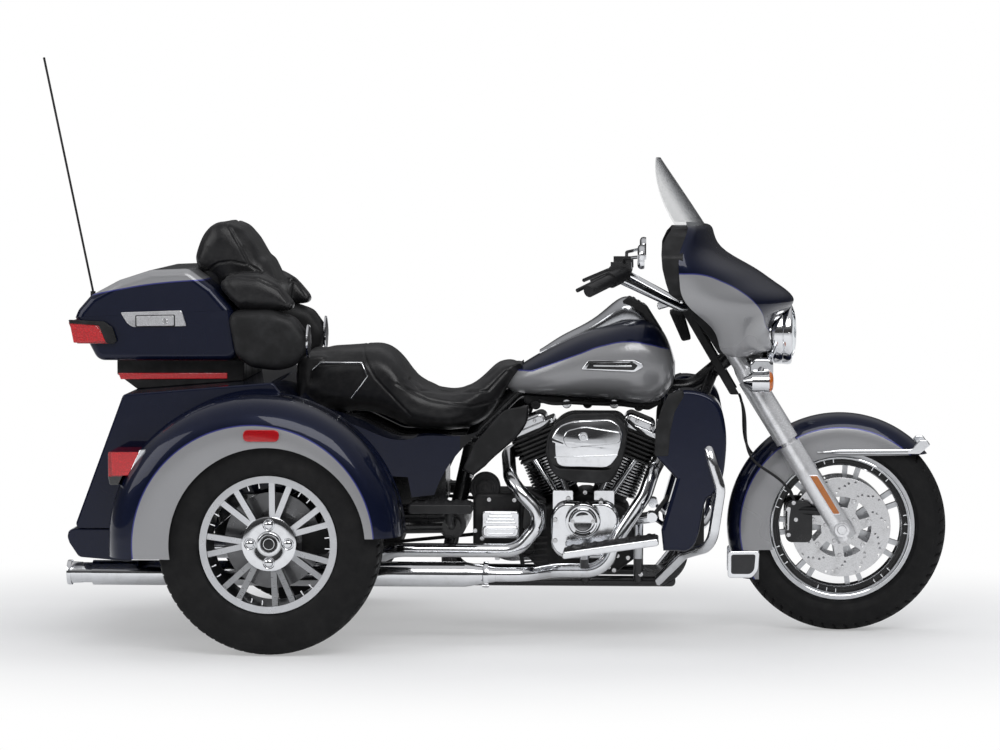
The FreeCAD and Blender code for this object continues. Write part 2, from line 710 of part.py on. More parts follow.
def make_cylinder(side):
    """Finned barrel and finned head of one cylinder."""
    pitch = (FIN_HIGH_UP - FIN_LOW_UP) / BARREL_FINS
    profile = [(0, DECK_UP + SEAT_GAP), (BARREL_R, DECK_UP + SEAT_GAP)]
    for number in range(BARREL_FINS):
        low = FIN_LOW_UP + number * pitch
        high = low + pitch * FIN_FILL_SHARE
        profile += [(BARREL_R, low), (FIN_R, low), (FIN_R, high), (BARREL_R, high)]
    profile += [(BARREL_R, HEAD_LOW_UP), (0, HEAD_LOW_UP)]
    points = [Vec(CRANK_X + r, 0, CRANK_Z + up) for r, up in profile]
    barrel = Part.Face(Part.makePolygon(points + points[:1])).revolve(
        Vec(CRANK_X, 0, CRANK_Z), Vec(0, 0, 1), 360)
    core_x = HEAD_HALF_X * HEAD_CORE_SHARE
    pieces = [barrel, box_slab(CRANK_X - core_x, CRANK_X + core_x, CRANK_Z + HEAD_LOW_UP,
                               CRANK_Z + HEAD_HIGH_UP, -HEAD_HALF_Y * HEAD_CORE_SHARE,
                               HEAD_HALF_Y * HEAD_CORE_SHARE, CASE_CORNER / 2)]
    pitch = (HEAD_HIGH_UP - HEAD_LOW_UP) / HEAD_FINS
    for number in range(HEAD_FINS):
        low = CRANK_Z + HEAD_LOW_UP + number * pitch
        corners = [Vec(CRANK_X - HEAD_HALF_X, -HEAD_HALF_Y, low),
                   Vec(CRANK_X + HEAD_HALF_X, -HEAD_HALF_Y, low),
                   Vec(CRANK_X + HEAD_HALF_X, HEAD_HALF_Y, low),
                   Vec(CRANK_X - HEAD_HALF_X, HEAD_HALF_Y, low)]
        fin = Part.Face(rounded(corners, CASE_CORNER))
        pieces.append(fin.extrude(Vec(0, 0, pitch * FIN_FILL_SHARE)))
    top = HEAD_HIGH_UP - pitch * FIN_FILL_SHARE
    corners = [Vec(CRANK_X - ROCKER_HALF_X, -ROCKER_HALF_Y, CRANK_Z + top),
               Vec(CRANK_X + ROCKER_HALF_X, -ROCKER_HALF_Y, CRANK_Z + top),
               Vec(CRANK_X + ROCKER_HALF_X, ROCKER_HALF_Y, CRANK_Z + top),
               Vec(CRANK_X - ROCKER_HALF_X, ROCKER_HALF_Y, CRANK_Z + top)]
    deck = Part.Face(rounded(corners, CASE_CORNER)).extrude(Vec(0, 0, HEAD_HIGH_UP - top))
    return leaned(fused(*pieces, deck), side)


def make_rocker_cover(side):
    """Rounded cover in two steps on top of one head."""
    low = CRANK_Z + HEAD_HIGH_UP + SEAT_GAP
    high = CRANK_Z + ROCKER_HIGH_UP
    step = span(low, high, ROCKER_LIP_SHARE)
    narrow_x = ROCKER_HALF_X * ROCKER_TOP_SHARE
    lip = soft_slab(rounded([Vec(CRANK_X - ROCKER_HALF_X, 0, low), Vec(CRANK_X + ROCKER_HALF_X, 0, low),
                             Vec(CRANK_X + ROCKER_HALF_X, 0, step), Vec(CRANK_X - ROCKER_HALF_X, 0, step)],
                            ROCKER_EDGE), -ROCKER_HALF_Y, ROCKER_HALF_Y, ROCKER_EDGE / 2)
    dome = soft_slab(rounded([Vec(CRANK_X - narrow_x, 0, low), Vec(CRANK_X + narrow_x, 0, low),
                              Vec(CRANK_X + narrow_x, 0, high), Vec(CRANK_X - narrow_x, 0, high)],
                             ROCKER_CORNER), -ROCKER_HALF_Y * ROCKER_TOP_SHARE - ROCKER_CORNER / 2,
                     ROCKER_HALF_Y * ROCKER_TOP_SHARE + ROCKER_CORNER / 2, ROCKER_CORNER / 2)
    return leaned(fused(lip, dome), side)


case = make_case()
ship("crankcase", case)
cylinders = [without(make_cylinder(side), case) for side in (-1, 1)]
ship("cylinders", *cylinders)
rockers = [make_rocker_cover(side) for side in (-1, 1)]
ship("rocker_covers", *rockers)

# Right side of the engine: cam cover, lifter blocks and pushrod tubes
CAM_X = 895.0
CAM_Z = 350.0
CAM_R = 53.0
CAM_OUT = -226.0
CAM_BASE_OUT = -178.0
CAM_BASE_BACK = 796.0
CAM_BASE_FRONT = 1004.0
CAM_BASE_LOW = 232.0
LIFTER_X = 62.0
LIFTER_TOP_UP = 214.0
LIFTER_HALF_W = 30.0
LIFTER_CORNER = 5.5
PUSHROD_R = 10.0
PUSHROD_Y = -98.0
PUSHROD_SPREAD = 17.0
PUSHROD_LEAN_SHARE = 1.7


def make_cam_cover():
    """Gear cover with the round cam cover, two lifter blocks and four tubes."""
    right = CASE_RIGHT - SEAT_GAP
    deck = on_cylinder(1, DECK_UP).z
    base = soft_box(CAM_BASE_BACK, CAM_BASE_FRONT, CAM_BASE_LOW, deck, CAM_BASE_OUT, right,
                    CAM_R, CASE_CORNER / 2)
    cover = soft_slab(Part.Wire(Part.makeCircle(CAM_R, Vec(CAM_X, 0, CAM_Z), Vec(0, 1, 0))),
                      CAM_OUT, right, CASE_CORNER / 2, (True, False))
    pieces = [base, cover]
    for side in (-1, 1):
        foot = on_cylinder(side, DECK_UP, 0, 0)
        top = on_cylinder(side, LIFTER_TOP_UP + LIFTER_HALF_W, 0, 0)
        block_x = CAM_X + side * LIFTER_X
        block = box_slab(block_x - LIFTER_HALF_W, block_x + LIFTER_HALF_W, deck - LIFTER_HALF_W,
                         deck + LIFTER_HALF_W, right - LIFTER_HALF_W, right, LIFTER_CORNER)
        pieces.append(block)
        for part in (-1, 1):
            start = Vec(block_x + part * PUSHROD_SPREAD, right - PUSHROD_R - LIFTER_CORNER,
                        deck + LIFTER_HALF_W / 2)
            end = on_cylinder(side, HEAD_LOW_UP - SEAT_GAP, part * PUSHROD_SPREAD
                              * PUSHROD_LEAN_SHARE, PUSHROD_Y)
            pieces.append(rod(start, end, PUSHROD_R))
    return without(fused(*pieces), case, *cylinders)


cam_cover = make_cam_cover()

# Left side of the engine: primary cover and horn
PRIMARY_IN = 124.0
PRIMARY_OUT = 222.0
PRIMARY_BACK_X = 672.0
PRIMARY_BACK_R = 104.0
PRIMARY_FRONT_X = 906.0
PRIMARY_FRONT_R = 88.0
PRIMARY_Z = 292.0
PRIMARY_EDGE = 20.0
PRIMARY_DISC_R_SHARE = 0.62
PRIMARY_DISC_T = 10.0
HORN_X = 892.0
HORN_Z = 560.0
HORN_IN = 126.0
HORN_OUT = 188.0
HORN_R = 62.0
HORN_TAIL = 112.0
HORN_STEM_R = 18.0


def race_track(back_x, back_r, front_x, front_r, z):
    """Outline round two circles of different size at one height."""
    lean = math.acos((back_r - front_r) / (front_x - back_x))

    def at(x, r, angle):
        return Vec(x + r * math.cos(angle), 0, z + r * math.sin(angle))
    return Part.Wire([
        Part.Arc(at(back_x, back_r, lean), at(back_x, back_r, math.pi),
                 at(back_x, back_r, -lean)).toShape(),
        Part.LineSegment(at(back_x, back_r, -lean), at(front_x, front_r, -lean)).toShape(),
        Part.Arc(at(front_x, front_r, -lean), at(front_x, front_r, 0),
                 at(front_x, front_r, lean)).toShape(),
        Part.LineSegment(at(front_x, front_r, lean), at(back_x, back_r, lean)).toShape(),
    ])


def make_primary():
    track = race_track(PRIMARY_BACK_X, PRIMARY_BACK_R, PRIMARY_FRONT_X, PRIMARY_FRONT_R, PRIMARY_Z)
    cover = soft_slab(track, PRIMARY_IN, PRIMARY_OUT, PRIMARY_EDGE, (False, True))
    plate = across(PRIMARY_BACK_X, PRIMARY_Z, PRIMARY_OUT - SEAT_GAP,
                   PRIMARY_OUT + PRIMARY_DISC_T, PRIMARY_BACK_R * PRIMARY_DISC_R_SHARE)
    seat = across(PRIMARY_FRONT_X, PRIMARY_Z, CASE_LEFT + SEAT_GAP, PRIMARY_IN,
                  PRIMARY_FRONT_R * PRIMARY_DISC_R_SHARE)
    return without(fused(cover, plate, seat), case)


def make_horn():
    """Drop-shaped horn cover on a stem that reaches in between the cylinders."""
    drop = [Vec(HORN_X - HORN_R, 0, HORN_Z), Vec(HORN_X - HORN_R * PRIMARY_DISC_R_SHARE, 0,
                                                 HORN_Z + HORN_R),
            Vec(HORN_X + HORN_R * PRIMARY_DISC_R_SHARE, 0, HORN_Z + HORN_R),
            Vec(HORN_X + HORN_R, 0, HORN_Z), Vec(HORN_X, 0, HORN_Z - HORN_TAIL)]
    cover = soft_slab(rounded(drop, HORN_STEM_R), HORN_IN, HORN_OUT, HORN_STEM_R / 2,
                      (False, True))
    stem = across(HORN_X, HORN_Z, AIR_STEM_IN + SEAT_GAP, HORN_IN, HORN_STEM_R)
    return fused(cover, stem)


# Air cleaner between the cylinders, on the intake
AIR_BACK = 786.0
AIR_FRONT = 1030.0
AIR_LOW = 466.0
AIR_HIGH = 678.0
AIR_IN = -122.0
AIR_MID = -232.0
AIR_OUT = -288.0
AIR_STEM_R = 30.0
AIR_STEM_IN = 44.0
AIR_COVER_INSET = 9.0
AIR_COVER_LOW = 516.0
AIR_RUNS = [
    [(0.02, 0.62), (0.13, 0.87), (0.34, 0.985)],
    [(0.82, 0.985)],
    [(0.93, 0.93), (0.985, 0.80), (0.985, 0.66)],
    [(0.95, 0.40), (0.87, 0.16)],
    [(0.80, 0.04), (0.70, 0.0)],
    [(0.30, 0.02)],
    [(0.12, 0.10), (0.01, 0.34)],
]
AIR_COVER_RUNS = [
    [(0.03, 0.62), (0.15, 0.86), (0.34, 0.97)],
    [(0.80, 1.0)],
    [(0.93, 0.95), (0.99, 0.84), (1.0, 0.72)],
    [(0.97, 0.40), (0.91, 0.14)],
    [(0.84, 0.0)],
    [(0.14, 0.03)],
    [(0.04, 0.10), (0.0, 0.22), (0.0, 0.36)],
]


def make_air_cleaner():
    wire = chain(AIR_RUNS, AIR_BACK, AIR_LOW, AIR_FRONT, AIR_HIGH)
    filter_body = slab(wire, AIR_MID, AIR_IN)
    cover_wire = chain(AIR_COVER_RUNS, AIR_BACK + AIR_COVER_INSET, AIR_COVER_LOW,
                       AIR_FRONT - AIR_COVER_INSET, AIR_HIGH - AIR_COVER_INSET)
    cover = slab(cover_wire, AIR_OUT, AIR_MID)
    stem = across(CRANK_X, span(AIR_LOW, AIR_HIGH, PRIMARY_DISC_R_SHARE), AIR_IN, AIR_STEM_IN,
                  AIR_STEM_R)
    return without(fused(filter_body, cover, stem), *cylinders, cam_cover)


air_cleaner = make_air_cleaner()
primary = make_primary()
ship("primary_cover", primary)
ship("air_cleaner", air_cleaner)
ship("horn", without(make_horn(), air_cleaner, *cylinders))

# Gearbox side cover
SIDE_COVER_BACK = 592.0
SIDE_COVER_FRONT = 704.0
SIDE_COVER_LOW = 296.0
SIDE_COVER_HIGH = 378.0
SIDE_COVER_OUT = -212.0
SIDE_COVER_CORNER = 10.0
gearbox_cover = soft_box(SIDE_COVER_BACK, SIDE_COVER_FRONT, SIDE_COVER_LOW, SIDE_COVER_HIGH,
                         SIDE_COVER_OUT, GEARBOX_RIGHT - SEAT_GAP, SIDE_COVER_CORNER,
                         SIDE_COVER_CORNER / 2)
ship("engine_covers", cam_cover, gearbox_cover)

# Exhaust
PIPE_R = 21.0
PIPE_Y = 234.0
PIPE_BEND = 80.0
FRONT_PORT_UP = 362.0
UPPER_PIPE_Z = 262.0
LOWER_PIPE_Z = 203.0
MUFFLER_SIDE = 105.0
MUFFLER_Y = BODY_HALF_W - MUFFLER_SIDE
MUFFLER_R = 37.0
MUFFLER_TIP_BACK = 633.0
MUFFLER_RIGHT_FRONT = 640.0
MUFFLER_LEFT_FRONT = 40.0
MUFFLER_CONE = 90.0
MUFFLER_TIP_R = 30.0
MUFFLER_TIP_L = 76.0
MUFFLER_BORE_R = 24.0
MUFFLER_BORE_L = 150.0
PIPE_SWING_X = 810.0
CROSS_X = 195.0
CROSS_Z = 188.0
# Headers as seen from the right, in shares of the space between port and lower pipe
FRONT_HEADER_SHARES = [(0.96, 0.86, 0.95), (0.86, 0.66, 1.0), (0.52, 0.32, 1.0), (0.30, 0.0, 1.0)]
REAR_HEADER_SHARES = (0.72, 0.34)
REAR_HEADER_X = 700.0
REAR_HEADER_LOW_X = 782.0


def make_muffler(front):
    """Left muffler: cone, body and a straight bored tip."""
    back = -MUFFLER_TIP_BACK
    body = turned_ahead([(back, 0), (back, MUFFLER_TIP_R), (back + MUFFLER_TIP_L, MUFFLER_TIP_R),
                         (back + MUFFLER_TIP_L, MUFFLER_R), (front - MUFFLER_CONE, MUFFLER_R),
                         (front, PIPE_R + SEAT_GAP), (front, 0)], MUFFLER_Y, LOWER_PIPE_Z)
    bore = turned_ahead([(back, 0), (back, MUFFLER_BORE_R), (back + MUFFLER_BORE_L, MUFFLER_BORE_R),
                         (back + MUFFLER_BORE_L, 0)], MUFFLER_Y, LOWER_PIPE_Z)
    return body.cut(bore)


def make_exhaust_pipes():
    """Front header to the right muffler, rear header across to the left one."""
    port = on_cylinder(1, FRONT_PORT_UP, HEAD_HALF_X * HEAD_CORE_SHARE + SHAFT_GAP)
    low = Vec(middle(CASE_BACK, CASE_FRONT), -PIPE_Y, LOWER_PIPE_Z)
    path = [port, port + Vec(PIPE_R * 2, -PIPE_R, -PIPE_R / 2)]
    for ahead, up, out in FRONT_HEADER_SHARES:
        path.append(Vec(span(low.x, port.x + PIPE_R, ahead), -PIPE_Y * out,
                        span(low.z, port.z, up)))
    path.append(Vec(PIPE_SWING_X, -PIPE_Y, LOWER_PIPE_Z))
    path.append(Vec(middle(MUFFLER_RIGHT_FRONT, PIPE_SWING_X), -MUFFLER_Y, LOWER_PIPE_Z))
    path.append(Vec(MUFFLER_RIGHT_FRONT + SEAT_GAP, -MUFFLER_Y, LOWER_PIPE_Z))
    front = tube(path, PIPE_R, PIPE_BEND)
    port = on_cylinder(-1, FRONT_PORT_UP, -HEAD_HALF_X * HEAD_CORE_SHARE - SHAFT_GAP)
    rear = tube([
        port, port + Vec(-PIPE_R * 2, -PIPE_R, -PIPE_R / 2),
        Vec(REAR_HEADER_X - PIPE_R, -PIPE_Y, span(UPPER_PIPE_Z, port.z, REAR_HEADER_SHARES[0])),
        Vec(REAR_HEADER_LOW_X, -PIPE_Y, span(UPPER_PIPE_Z, port.z, REAR_HEADER_SHARES[1])),
        Vec(REAR_HEADER_X, -PIPE_Y, UPPER_PIPE_Z),
        Vec(RAIL_DIP_X, -PIPE_Y, UPPER_PIPE_Z),
        Vec(CROSS_X, -SHOCK_Y / 2, CROSS_Z),
        Vec(CROSS_X, SHOCK_Y / 2, CROSS_Z),
        Vec(middle(CROSS_X, MUFFLER_LEFT_FRONT), MUFFLER_Y, LOWER_PIPE_Z),
        Vec(MUFFLER_LEFT_FRONT + SEAT_GAP, MUFFLER_Y, LOWER_PIPE_Z),
    ], PIPE_R, PIPE_BEND)
    return front, rear


exhaust = [without(pipe, *cylinders) for pipe in make_exhaust_pipes()]
ship("exhaust_pipes", *exhaust)
ship("mufflers", make_muffler(MUFFLER_LEFT_FRONT), mirrored(make_muffler(MUFFLER_RIGHT_FRONT)))

# Oil cooler in front of the cradle and battery box behind the gearbox
COOLER_BACK = 1214.0
COOLER_FRONT = 1258.0
COOLER_LOW = 250.0
COOLER_HIGH = 520.0
COOLER_HALF_W = 92.0
COOLER_FINS = 16
COOLER_FIN_DEPTH = 12.0
BATTERY_BACK = 330.0
BATTERY_FRONT = 480.0
BATTERY_LOW = 390.0
BATTERY_CORNER = 10.0


def make_cooler():
    block = box_slab(COOLER_BACK, COOLER_FRONT, COOLER_LOW, COOLER_HIGH, -COOLER_HALF_W,
                     COOLER_HALF_W, COOLER_FIN_DEPTH / 2)
    pitch = (COOLER_HIGH - COOLER_LOW) / COOLER_FINS
    gaps = []
    for number in range(1, COOLER_FINS):
        z = COOLER_LOW + number * pitch
        gaps.append(Part.makeBox(COOLER_FIN_DEPTH + OVERRUN, 2 * COOLER_HALF_W - COOLER_FIN_DEPTH * 2,
                                 pitch / 2, Vec(COOLER_FRONT - COOLER_FIN_DEPTH,
                                                COOLER_FIN_DEPTH - COOLER_HALF_W, z)))
    ears = across(COOLER_BACK + COOLER_FIN_DEPTH, middle(COOLER_LOW, COOLER_HIGH),
                  -CRADLE_Y, CRADLE_Y, COOLER_FIN_DEPTH)
    return without(fused(block.cut(Part.makeCompound(gaps)), ears), frame)


ship("oil_cooler", make_cooler())
ship("battery_box", without(box_slab(BATTERY_BACK, BATTERY_FRONT, BATTERY_LOW,
                                     RAIL_DIP_Z, -CRADLE_Y, PULLEY_Y - PULLEY_HALF_W * 2,
                                     BATTERY_CORNER), frame, swingarm))

# Fuel tank and its console
TANK_BACK = 652.0
TANK_FRONT = 1169.0
TANK_HALF_W = 190.0
TANK_LOW = 690.0
TANK_HIGH = 948.0
TANK_SHARES = [
    (0.0, 0.22, 0.19, 0.27), (0.09, 0.50, 0.11, 0.44), (0.22, 0.70, 0.09, 0.60),
    (0.38, 0.84, 0.07, 0.77), (0.57, 0.95, 0.045, 0.91), (0.76, 1.0, 0.0, 1.0),
    (0.88, 0.95, 0.01, 0.94), (0.95, 0.82, 0.10, 0.77), (1.0, 0.45, 0.29, 0.49),
]
CONSOLE_BACK = 758.0
CONSOLE_FRONT = 1128.0
CONSOLE_HALF_W = 66.0
CONSOLE_LOW = 820.0
CONSOLE_HIGH = 1012.0
CONSOLE_SHARES = [
    (0.0, 0.35, 0.0, 0.16), (0.18, 0.60, 0.10, 0.38), (0.36, 0.72, 0.25, 0.56),
    (0.50, 0.85, 0.36, 0.74), (0.62, 0.98, 0.42, 0.93), (0.73, 1.0, 0.45, 1.0),
    (0.84, 0.90, 0.40, 0.85), (0.94, 0.72, 0.32, 0.58), (1.0, 0.45, 0.25, 0.40),
]
TUNNEL_GAP = 4.0


def make_tank():
    tank = body_loft(TANK_SHARES, TANK_BACK, TANK_FRONT, TANK_HALF_W, TANK_LOW, TANK_HIGH,
                     BODY_SECTION_SHARE)
    tunnel_r = BACKBONE_R + TUNNEL_GAP
    tunnel = rod(Vec(SEAT_POST_X, 0, BACKBONE_Z), Vec(TANK_FRONT + OVERRUN, 0, BACKBONE_Z), tunnel_r)
    slot = Part.makeBox(TANK_FRONT - SEAT_POST_X + OVERRUN, 2 * tunnel_r, BACKBONE_Z - TANK_LOW
                        + OVERRUN, Vec(SEAT_POST_X, -tunnel_r, TANK_LOW - OVERRUN))
    return without(tank, tunnel, slot, frame, *rockers)


tank = make_tank()
console = without(body_loft(CONSOLE_SHARES, CONSOLE_BACK, CONSOLE_FRONT, CONSOLE_HALF_W,
                            CONSOLE_LOW, CONSOLE_HIGH, BODY_SECTION_SHARE), tank)
ship("fuel_tank", tank)
ship("tank_console", console)

# Seat
SEAT_BACK = 76.0
SEAT_FRONT = 708.0
SEAT_HALF_W = 205.0
SEAT_LOW = 613.0
SEAT_HIGH = 863.0
SEAT_SHARES = [
    (0.0, 0.84, 0.24, 0.93), (0.06, 0.90, 0.22, 0.96), (0.13, 0.92, 0.22, 0.98),
    (0.24, 0.94, 0.22, 1.0), (0.34, 0.97, 0.17, 0.99), (0.415, 1.0, 0.09, 0.84),
    (0.48, 1.0, 0.03, 0.62), (0.55, 0.98, 0.01, 0.51), (0.65, 0.93, 0.0, 0.45),
    (0.75, 0.80, 0.03, 0.51), (0.84, 0.62, 0.16, 0.70), (0.92, 0.50, 0.50, 0.84),
    (1.0, 0.30, 0.72, 0.86),
]
seat = without(body_loft(SEAT_SHARES, SEAT_BACK, SEAT_FRONT, SEAT_HALF_W, SEAT_LOW, SEAT_HIGH,
                         SQUARE_SECTION_SHARE), frame, tank, console)
ship("seat", max(seat.Solids, key=lambda solid: solid.Volume))

# Trunk body between the rear wheels
TRUNK_BACK_LOW_X = -597.0
TRUNK_LOW = 345.0
TRUNK_BACK_TOP_X = -449.0
TRUNK_BACK_TOP_Z = 741.0
DECK_FRONT_X = -8.0
DECK_FRONT_Z = 777.0
TRUNK_FRONT_X = 62.0
TRUNK_STEP_Z = 688.0
TRUNK_DIFF_GAP = 13.0
TRUNK_FLOOR_Z = REAR_TYRE_R + DIFF_R + TRUNK_DIFF_GAP
TRUNK_HUMP_X = -170.0
TRUNK_WALL = 6.0
TRUNK_CORNER = 14.0
DOOR_SIDE = 58.0
DOOR_HALF_W = BODY_HALF_W - DOOR_SIDE
DOOR_LOW_RISE = 36.0
DOOR_TOP_DROP = 42.0
DOOR_T = 26.0
DOOR_CORNER = 30.0


def wall_line(back_low, back_top, z):
    """X of the leaning back wall at a height."""
    return span(back_low.x, back_top.x, (z - back_low.z) / (back_top.z - back_low.z))


TRUNK_BACK_LOW = Vec(TRUNK_BACK_LOW_X, 0, TRUNK_LOW)
TRUNK_BACK_TOP = Vec(TRUNK_BACK_TOP_X, 0, TRUNK_BACK_TOP_Z)
DECK_SLOPE = (DECK_FRONT_Z - TRUNK_BACK_TOP_Z) / (DECK_FRONT_X - TRUNK_BACK_TOP_X)


def deck_z(x):
    return TRUNK_BACK_TOP_Z + (x - TRUNK_BACK_TOP_X) * DECK_SLOPE


def trunk_outline(wall):
    """Side outline of the trunk, shrunk inwards by a wall."""
    back_low_x = wall_line(TRUNK_BACK_LOW, TRUNK_BACK_TOP, TRUNK_LOW + wall) + wall
    back_top_x = wall_line(TRUNK_BACK_LOW, TRUNK_BACK_TOP, TRUNK_BACK_TOP_Z - wall) + wall
    return [
        Vec(back_low_x, 0, TRUNK_LOW + wall), Vec(TRUNK_HUMP_X - wall, 0, TRUNK_LOW + wall),
        Vec(TRUNK_HUMP_X - wall, 0, TRUNK_FLOOR_Z + wall),
        Vec(TRUNK_FRONT_X - wall, 0, TRUNK_FLOOR_Z + wall),
        Vec(TRUNK_FRONT_X - wall, 0, TRUNK_STEP_Z - wall),
        Vec(DECK_FRONT_X, 0, deck_z(DECK_FRONT_X) - wall),
        Vec(back_top_x, 0, TRUNK_BACK_TOP_Z - wall),
    ]


def door_outline(inset):
    """Points of the tailgate in its own leaning plane, as (y, height)."""
    low = TRUNK_LOW + DOOR_LOW_RISE + inset
    high = TRUNK_BACK_TOP_Z - DOOR_TOP_DROP - inset
    half = DOOR_HALF_W - inset
    corners = [Vec(0, -half, low), Vec(0, half, low), Vec(0, half, high), Vec(0, -half, high)]
    face = Part.Face(rounded(corners, DOOR_CORNER))
    face.translate(Vec(TRUNK_BACK_LOW_X - OVERRUN, 0, 0))
    return face.extrude(Vec(TRUNK_HUMP_X - TRUNK_BACK_LOW_X, 0, 0))


def make_trunk():
    shell = soft_slab(rounded(trunk_outline(0), TRUNK_CORNER), -BODY_HALF_W, BODY_HALF_W,
                      TRUNK_WALL)
    room = slab(rounded(trunk_outline(TRUNK_WALL), TRUNK_CORNER), TRUNK_WALL - BODY_HALF_W,
                BODY_HALF_W - TRUNK_WALL)
    return without(shell, room, door_outline(0))


def leaning_layer(outer, inner):
    """Everything between two planes parallel to the trunk's back wall."""
    reach = TRUNK_BACK_TOP_Z - TRUNK_LOW
    lean = (TRUNK_BACK_TOP - TRUNK_BACK_LOW)
    low = TRUNK_BACK_LOW - lean * (OVERRUN / reach)
    high = TRUNK_BACK_TOP + lean * (OVERRUN / reach)
    wire = Part.makePolygon([low + Vec(outer, 0, 0), low + Vec(inner, 0, 0),
                             high + Vec(inner, 0, 0), high + Vec(outer, 0, 0),
                             low + Vec(outer, 0, 0)])
    return slab(wire, -BODY_HALF_W - OVERRUN, BODY_HALF_W + OVERRUN)


DOOR_PANEL_T = 5.0
HANDLE_Z = 640.0
HANDLE_HALF_W = 90.0
HANDLE_H = 34.0
HANDLE_DEPTH = 10.0
DOOR_HINGE_R = 7.0
DOOR_HINGE_Y = 250.0
DOOR_HINGE_HALF_L = 30.0
DOOR_PIN_R = 3.0
DOOR_LEAF_H = 22.0
DOOR_LEAF_T = 4.0


def make_door():
    """Tailgate: an outer panel with a raised frame on its inner side."""
    body = leaning_layer(0, DOOR_T).common(door_outline(DOOR_GAP))
    hollow = leaning_layer(DOOR_PANEL_T, DOOR_T + OVERRUN).common(door_outline(DOOR_CORNER))
    panel = body.cut(hollow)
    x = wall_line(TRUNK_BACK_LOW, TRUNK_BACK_TOP, HANDLE_Z)
    handle = Part.makeBox(HANDLE_DEPTH + DOOR_PANEL_T, 2 * HANDLE_HALF_W, HANDLE_H,
                          Vec(x - HANDLE_DEPTH, -HANDLE_HALF_W, HANDLE_Z))
    return fused(panel, handle)


def door_hinge(body, door):
    """Knuckles outside the back wall, in line with the gap below the tailgate."""
    up = TRUNK_BACK_TOP - TRUNK_BACK_LOW
    up.normalize()
    out = Vec(-up.z, 0, up.x)
    gap_z = TRUNK_LOW + DOOR_LOW_RISE + DOOR_GAP / 2
    foot = Vec(wall_line(TRUNK_BACK_LOW, TRUNK_BACK_TOP, gap_z), 0, gap_z)
    axis = foot + out * (DOOR_HINGE_R + SEAT_GAP)

    def leaf(y, length, rise):
        start = foot + Vec(0, y, 0)
        points = [start + out * SEAT_GAP, start - out * DOOR_LEAF_T / 2 + up * rise,
                  start + up * rise + out * DOOR_LEAF_T, start + out * (DOOR_LEAF_T + SEAT_GAP)]
        return Part.Face(Part.makePolygon(points + points[:1])).extrude(Vec(0, length, 0))

    for side in (-1, 1):
        inner = side * DOOR_HINGE_Y
        first = axis + Vec(0, inner, 0)
        length = side * DOOR_HINGE_HALF_L
        second = first + Vec(0, length + side * SEAT_GAP, 0)
        lower = rod(first, first + Vec(0, length, 0), DOOR_HINGE_R).fuse(
            leaf(inner, length, -DOOR_LEAF_H / 2))
        pin = rod(first, second + Vec(0, length, 0), DOOR_PIN_R)
        upper = rod(second, second + Vec(0, length, 0), DOOR_HINGE_R).fuse(
            leaf(second.y, length, DOOR_LEAF_H))
        upper = upper.cut(rod(first, second + Vec(0, length * 2, 0), DOOR_PIN_R + SEAT_GAP))
        body = fused(body, lower, pin)
        door = fused(door, upper)
    return body, door


trunk, trunk_door = door_hinge(make_trunk(), make_door())
ship("trunk_body", trunk)
ship("trunk_door", trunk_door)

# Rear fenders over the wheels
FENDER_CENTRE_X = -45.0
FENDER_TYRE_GAP = 105.0
FENDER_R = REAR_TYRE_R + FENDER_TYRE_GAP
FENDER_WALL = 5.0
FENDER_FLANGE = 20.0
FENDER_LAP = 40.0
FENDER_LIP_R = REAR_TYRE_R - FENDER_LAP
FENDER_BACK_DROP = 40.0
FENDER_LOW_BACK = REAR_TYRE_R - FENDER_BACK_DROP
FENDER_FRONT_RISE = 22.0
FENDER_LOW_FRONT = REAR_TYRE_R + FENDER_FRONT_RISE
FENDER_PROFILE_SHARES = [(0.0, 1.0), (0.45, 1.0), (0.74, 0.975), (0.92, 0.90), (1.0, 0.76),
                         (1.0, 0.66), (1.0, 0.5)]


def fender_band(wall):
    """Points of the fender's section, shrunk by a wall, as (y, radius)."""
    points = []
    for across_share, up_share in FENDER_PROFILE_SHARES:
        y = span(BODY_HALF_W + SEAT_GAP, FENDER_OUTER_Y - wall, across_share)
        points.append((y, (FENDER_R - wall) * up_share))
    return points


def make_fender():
    """Left fender: crown and outer side, open towards the wheel."""
    outer = fender_band(0)
    inner = fender_band(FENDER_WALL)
    runs = [outer, [outer[-1], inner[-1]], inner[::-1], [inner[0], outer[0]]]
    shell = turned_curve(runs, FENDER_CENTRE_X, REAR_TYRE_R)
    arch = across(0, REAR_TYRE_R, BODY_HALF_W + FENDER_FLANGE, FENDER_OUTER_Y + OVERRUN,
                  FENDER_LIP_R)
    reach = FENDER_R + OVERRUN
    low = Part.makeBox(2 * reach, FENDER_OUTER_Y, reach, Vec(FENDER_CENTRE_X - reach, BODY_HALF_W,
                                                            FENDER_LOW_BACK - reach))
    front = Part.makeBox(reach, FENDER_OUTER_Y, FENDER_LOW_FRONT, Vec(0, BODY_HALF_W, 0))
    return without(shell, arch, low, front)


rear_fender = make_fender()
ship("rear_fenders", *pair(rear_fender))

# Body wings from the fenders to the seat
WING_BACK_X = 63.0
WING_FRONT_X = 592.0
WING_FRONT_Y = 216.0
WING_SEAT_Y = 212.0
WING_LOW = 430.0
WING_HIGH = 735.0
WING_WALL = 5.0
WING_PLAN_SHARES = [(0.20, 0.97), (0.42, 0.80), (0.66, 0.45), (0.86, 0.14)]
WING_RUNS = [
    [(0.10, 0.86), (0.26, 0.765), (0.40, 0.66), (0.50, 0.585), (0.62, 0.57)],
    [(0.88, 0.575), (0.97, 0.61), (1.0, 0.645)],
    [(0.92, 0.50), (0.83, 0.32), (0.76, 0.10), (0.74, 0.01)],
    [(0.62, 0.0)],
    [(0.60, 0.20)],
    [(0.40, 0.24)],
    [(0.0, 0.20)],
    [(0.0, 0.99)],
]


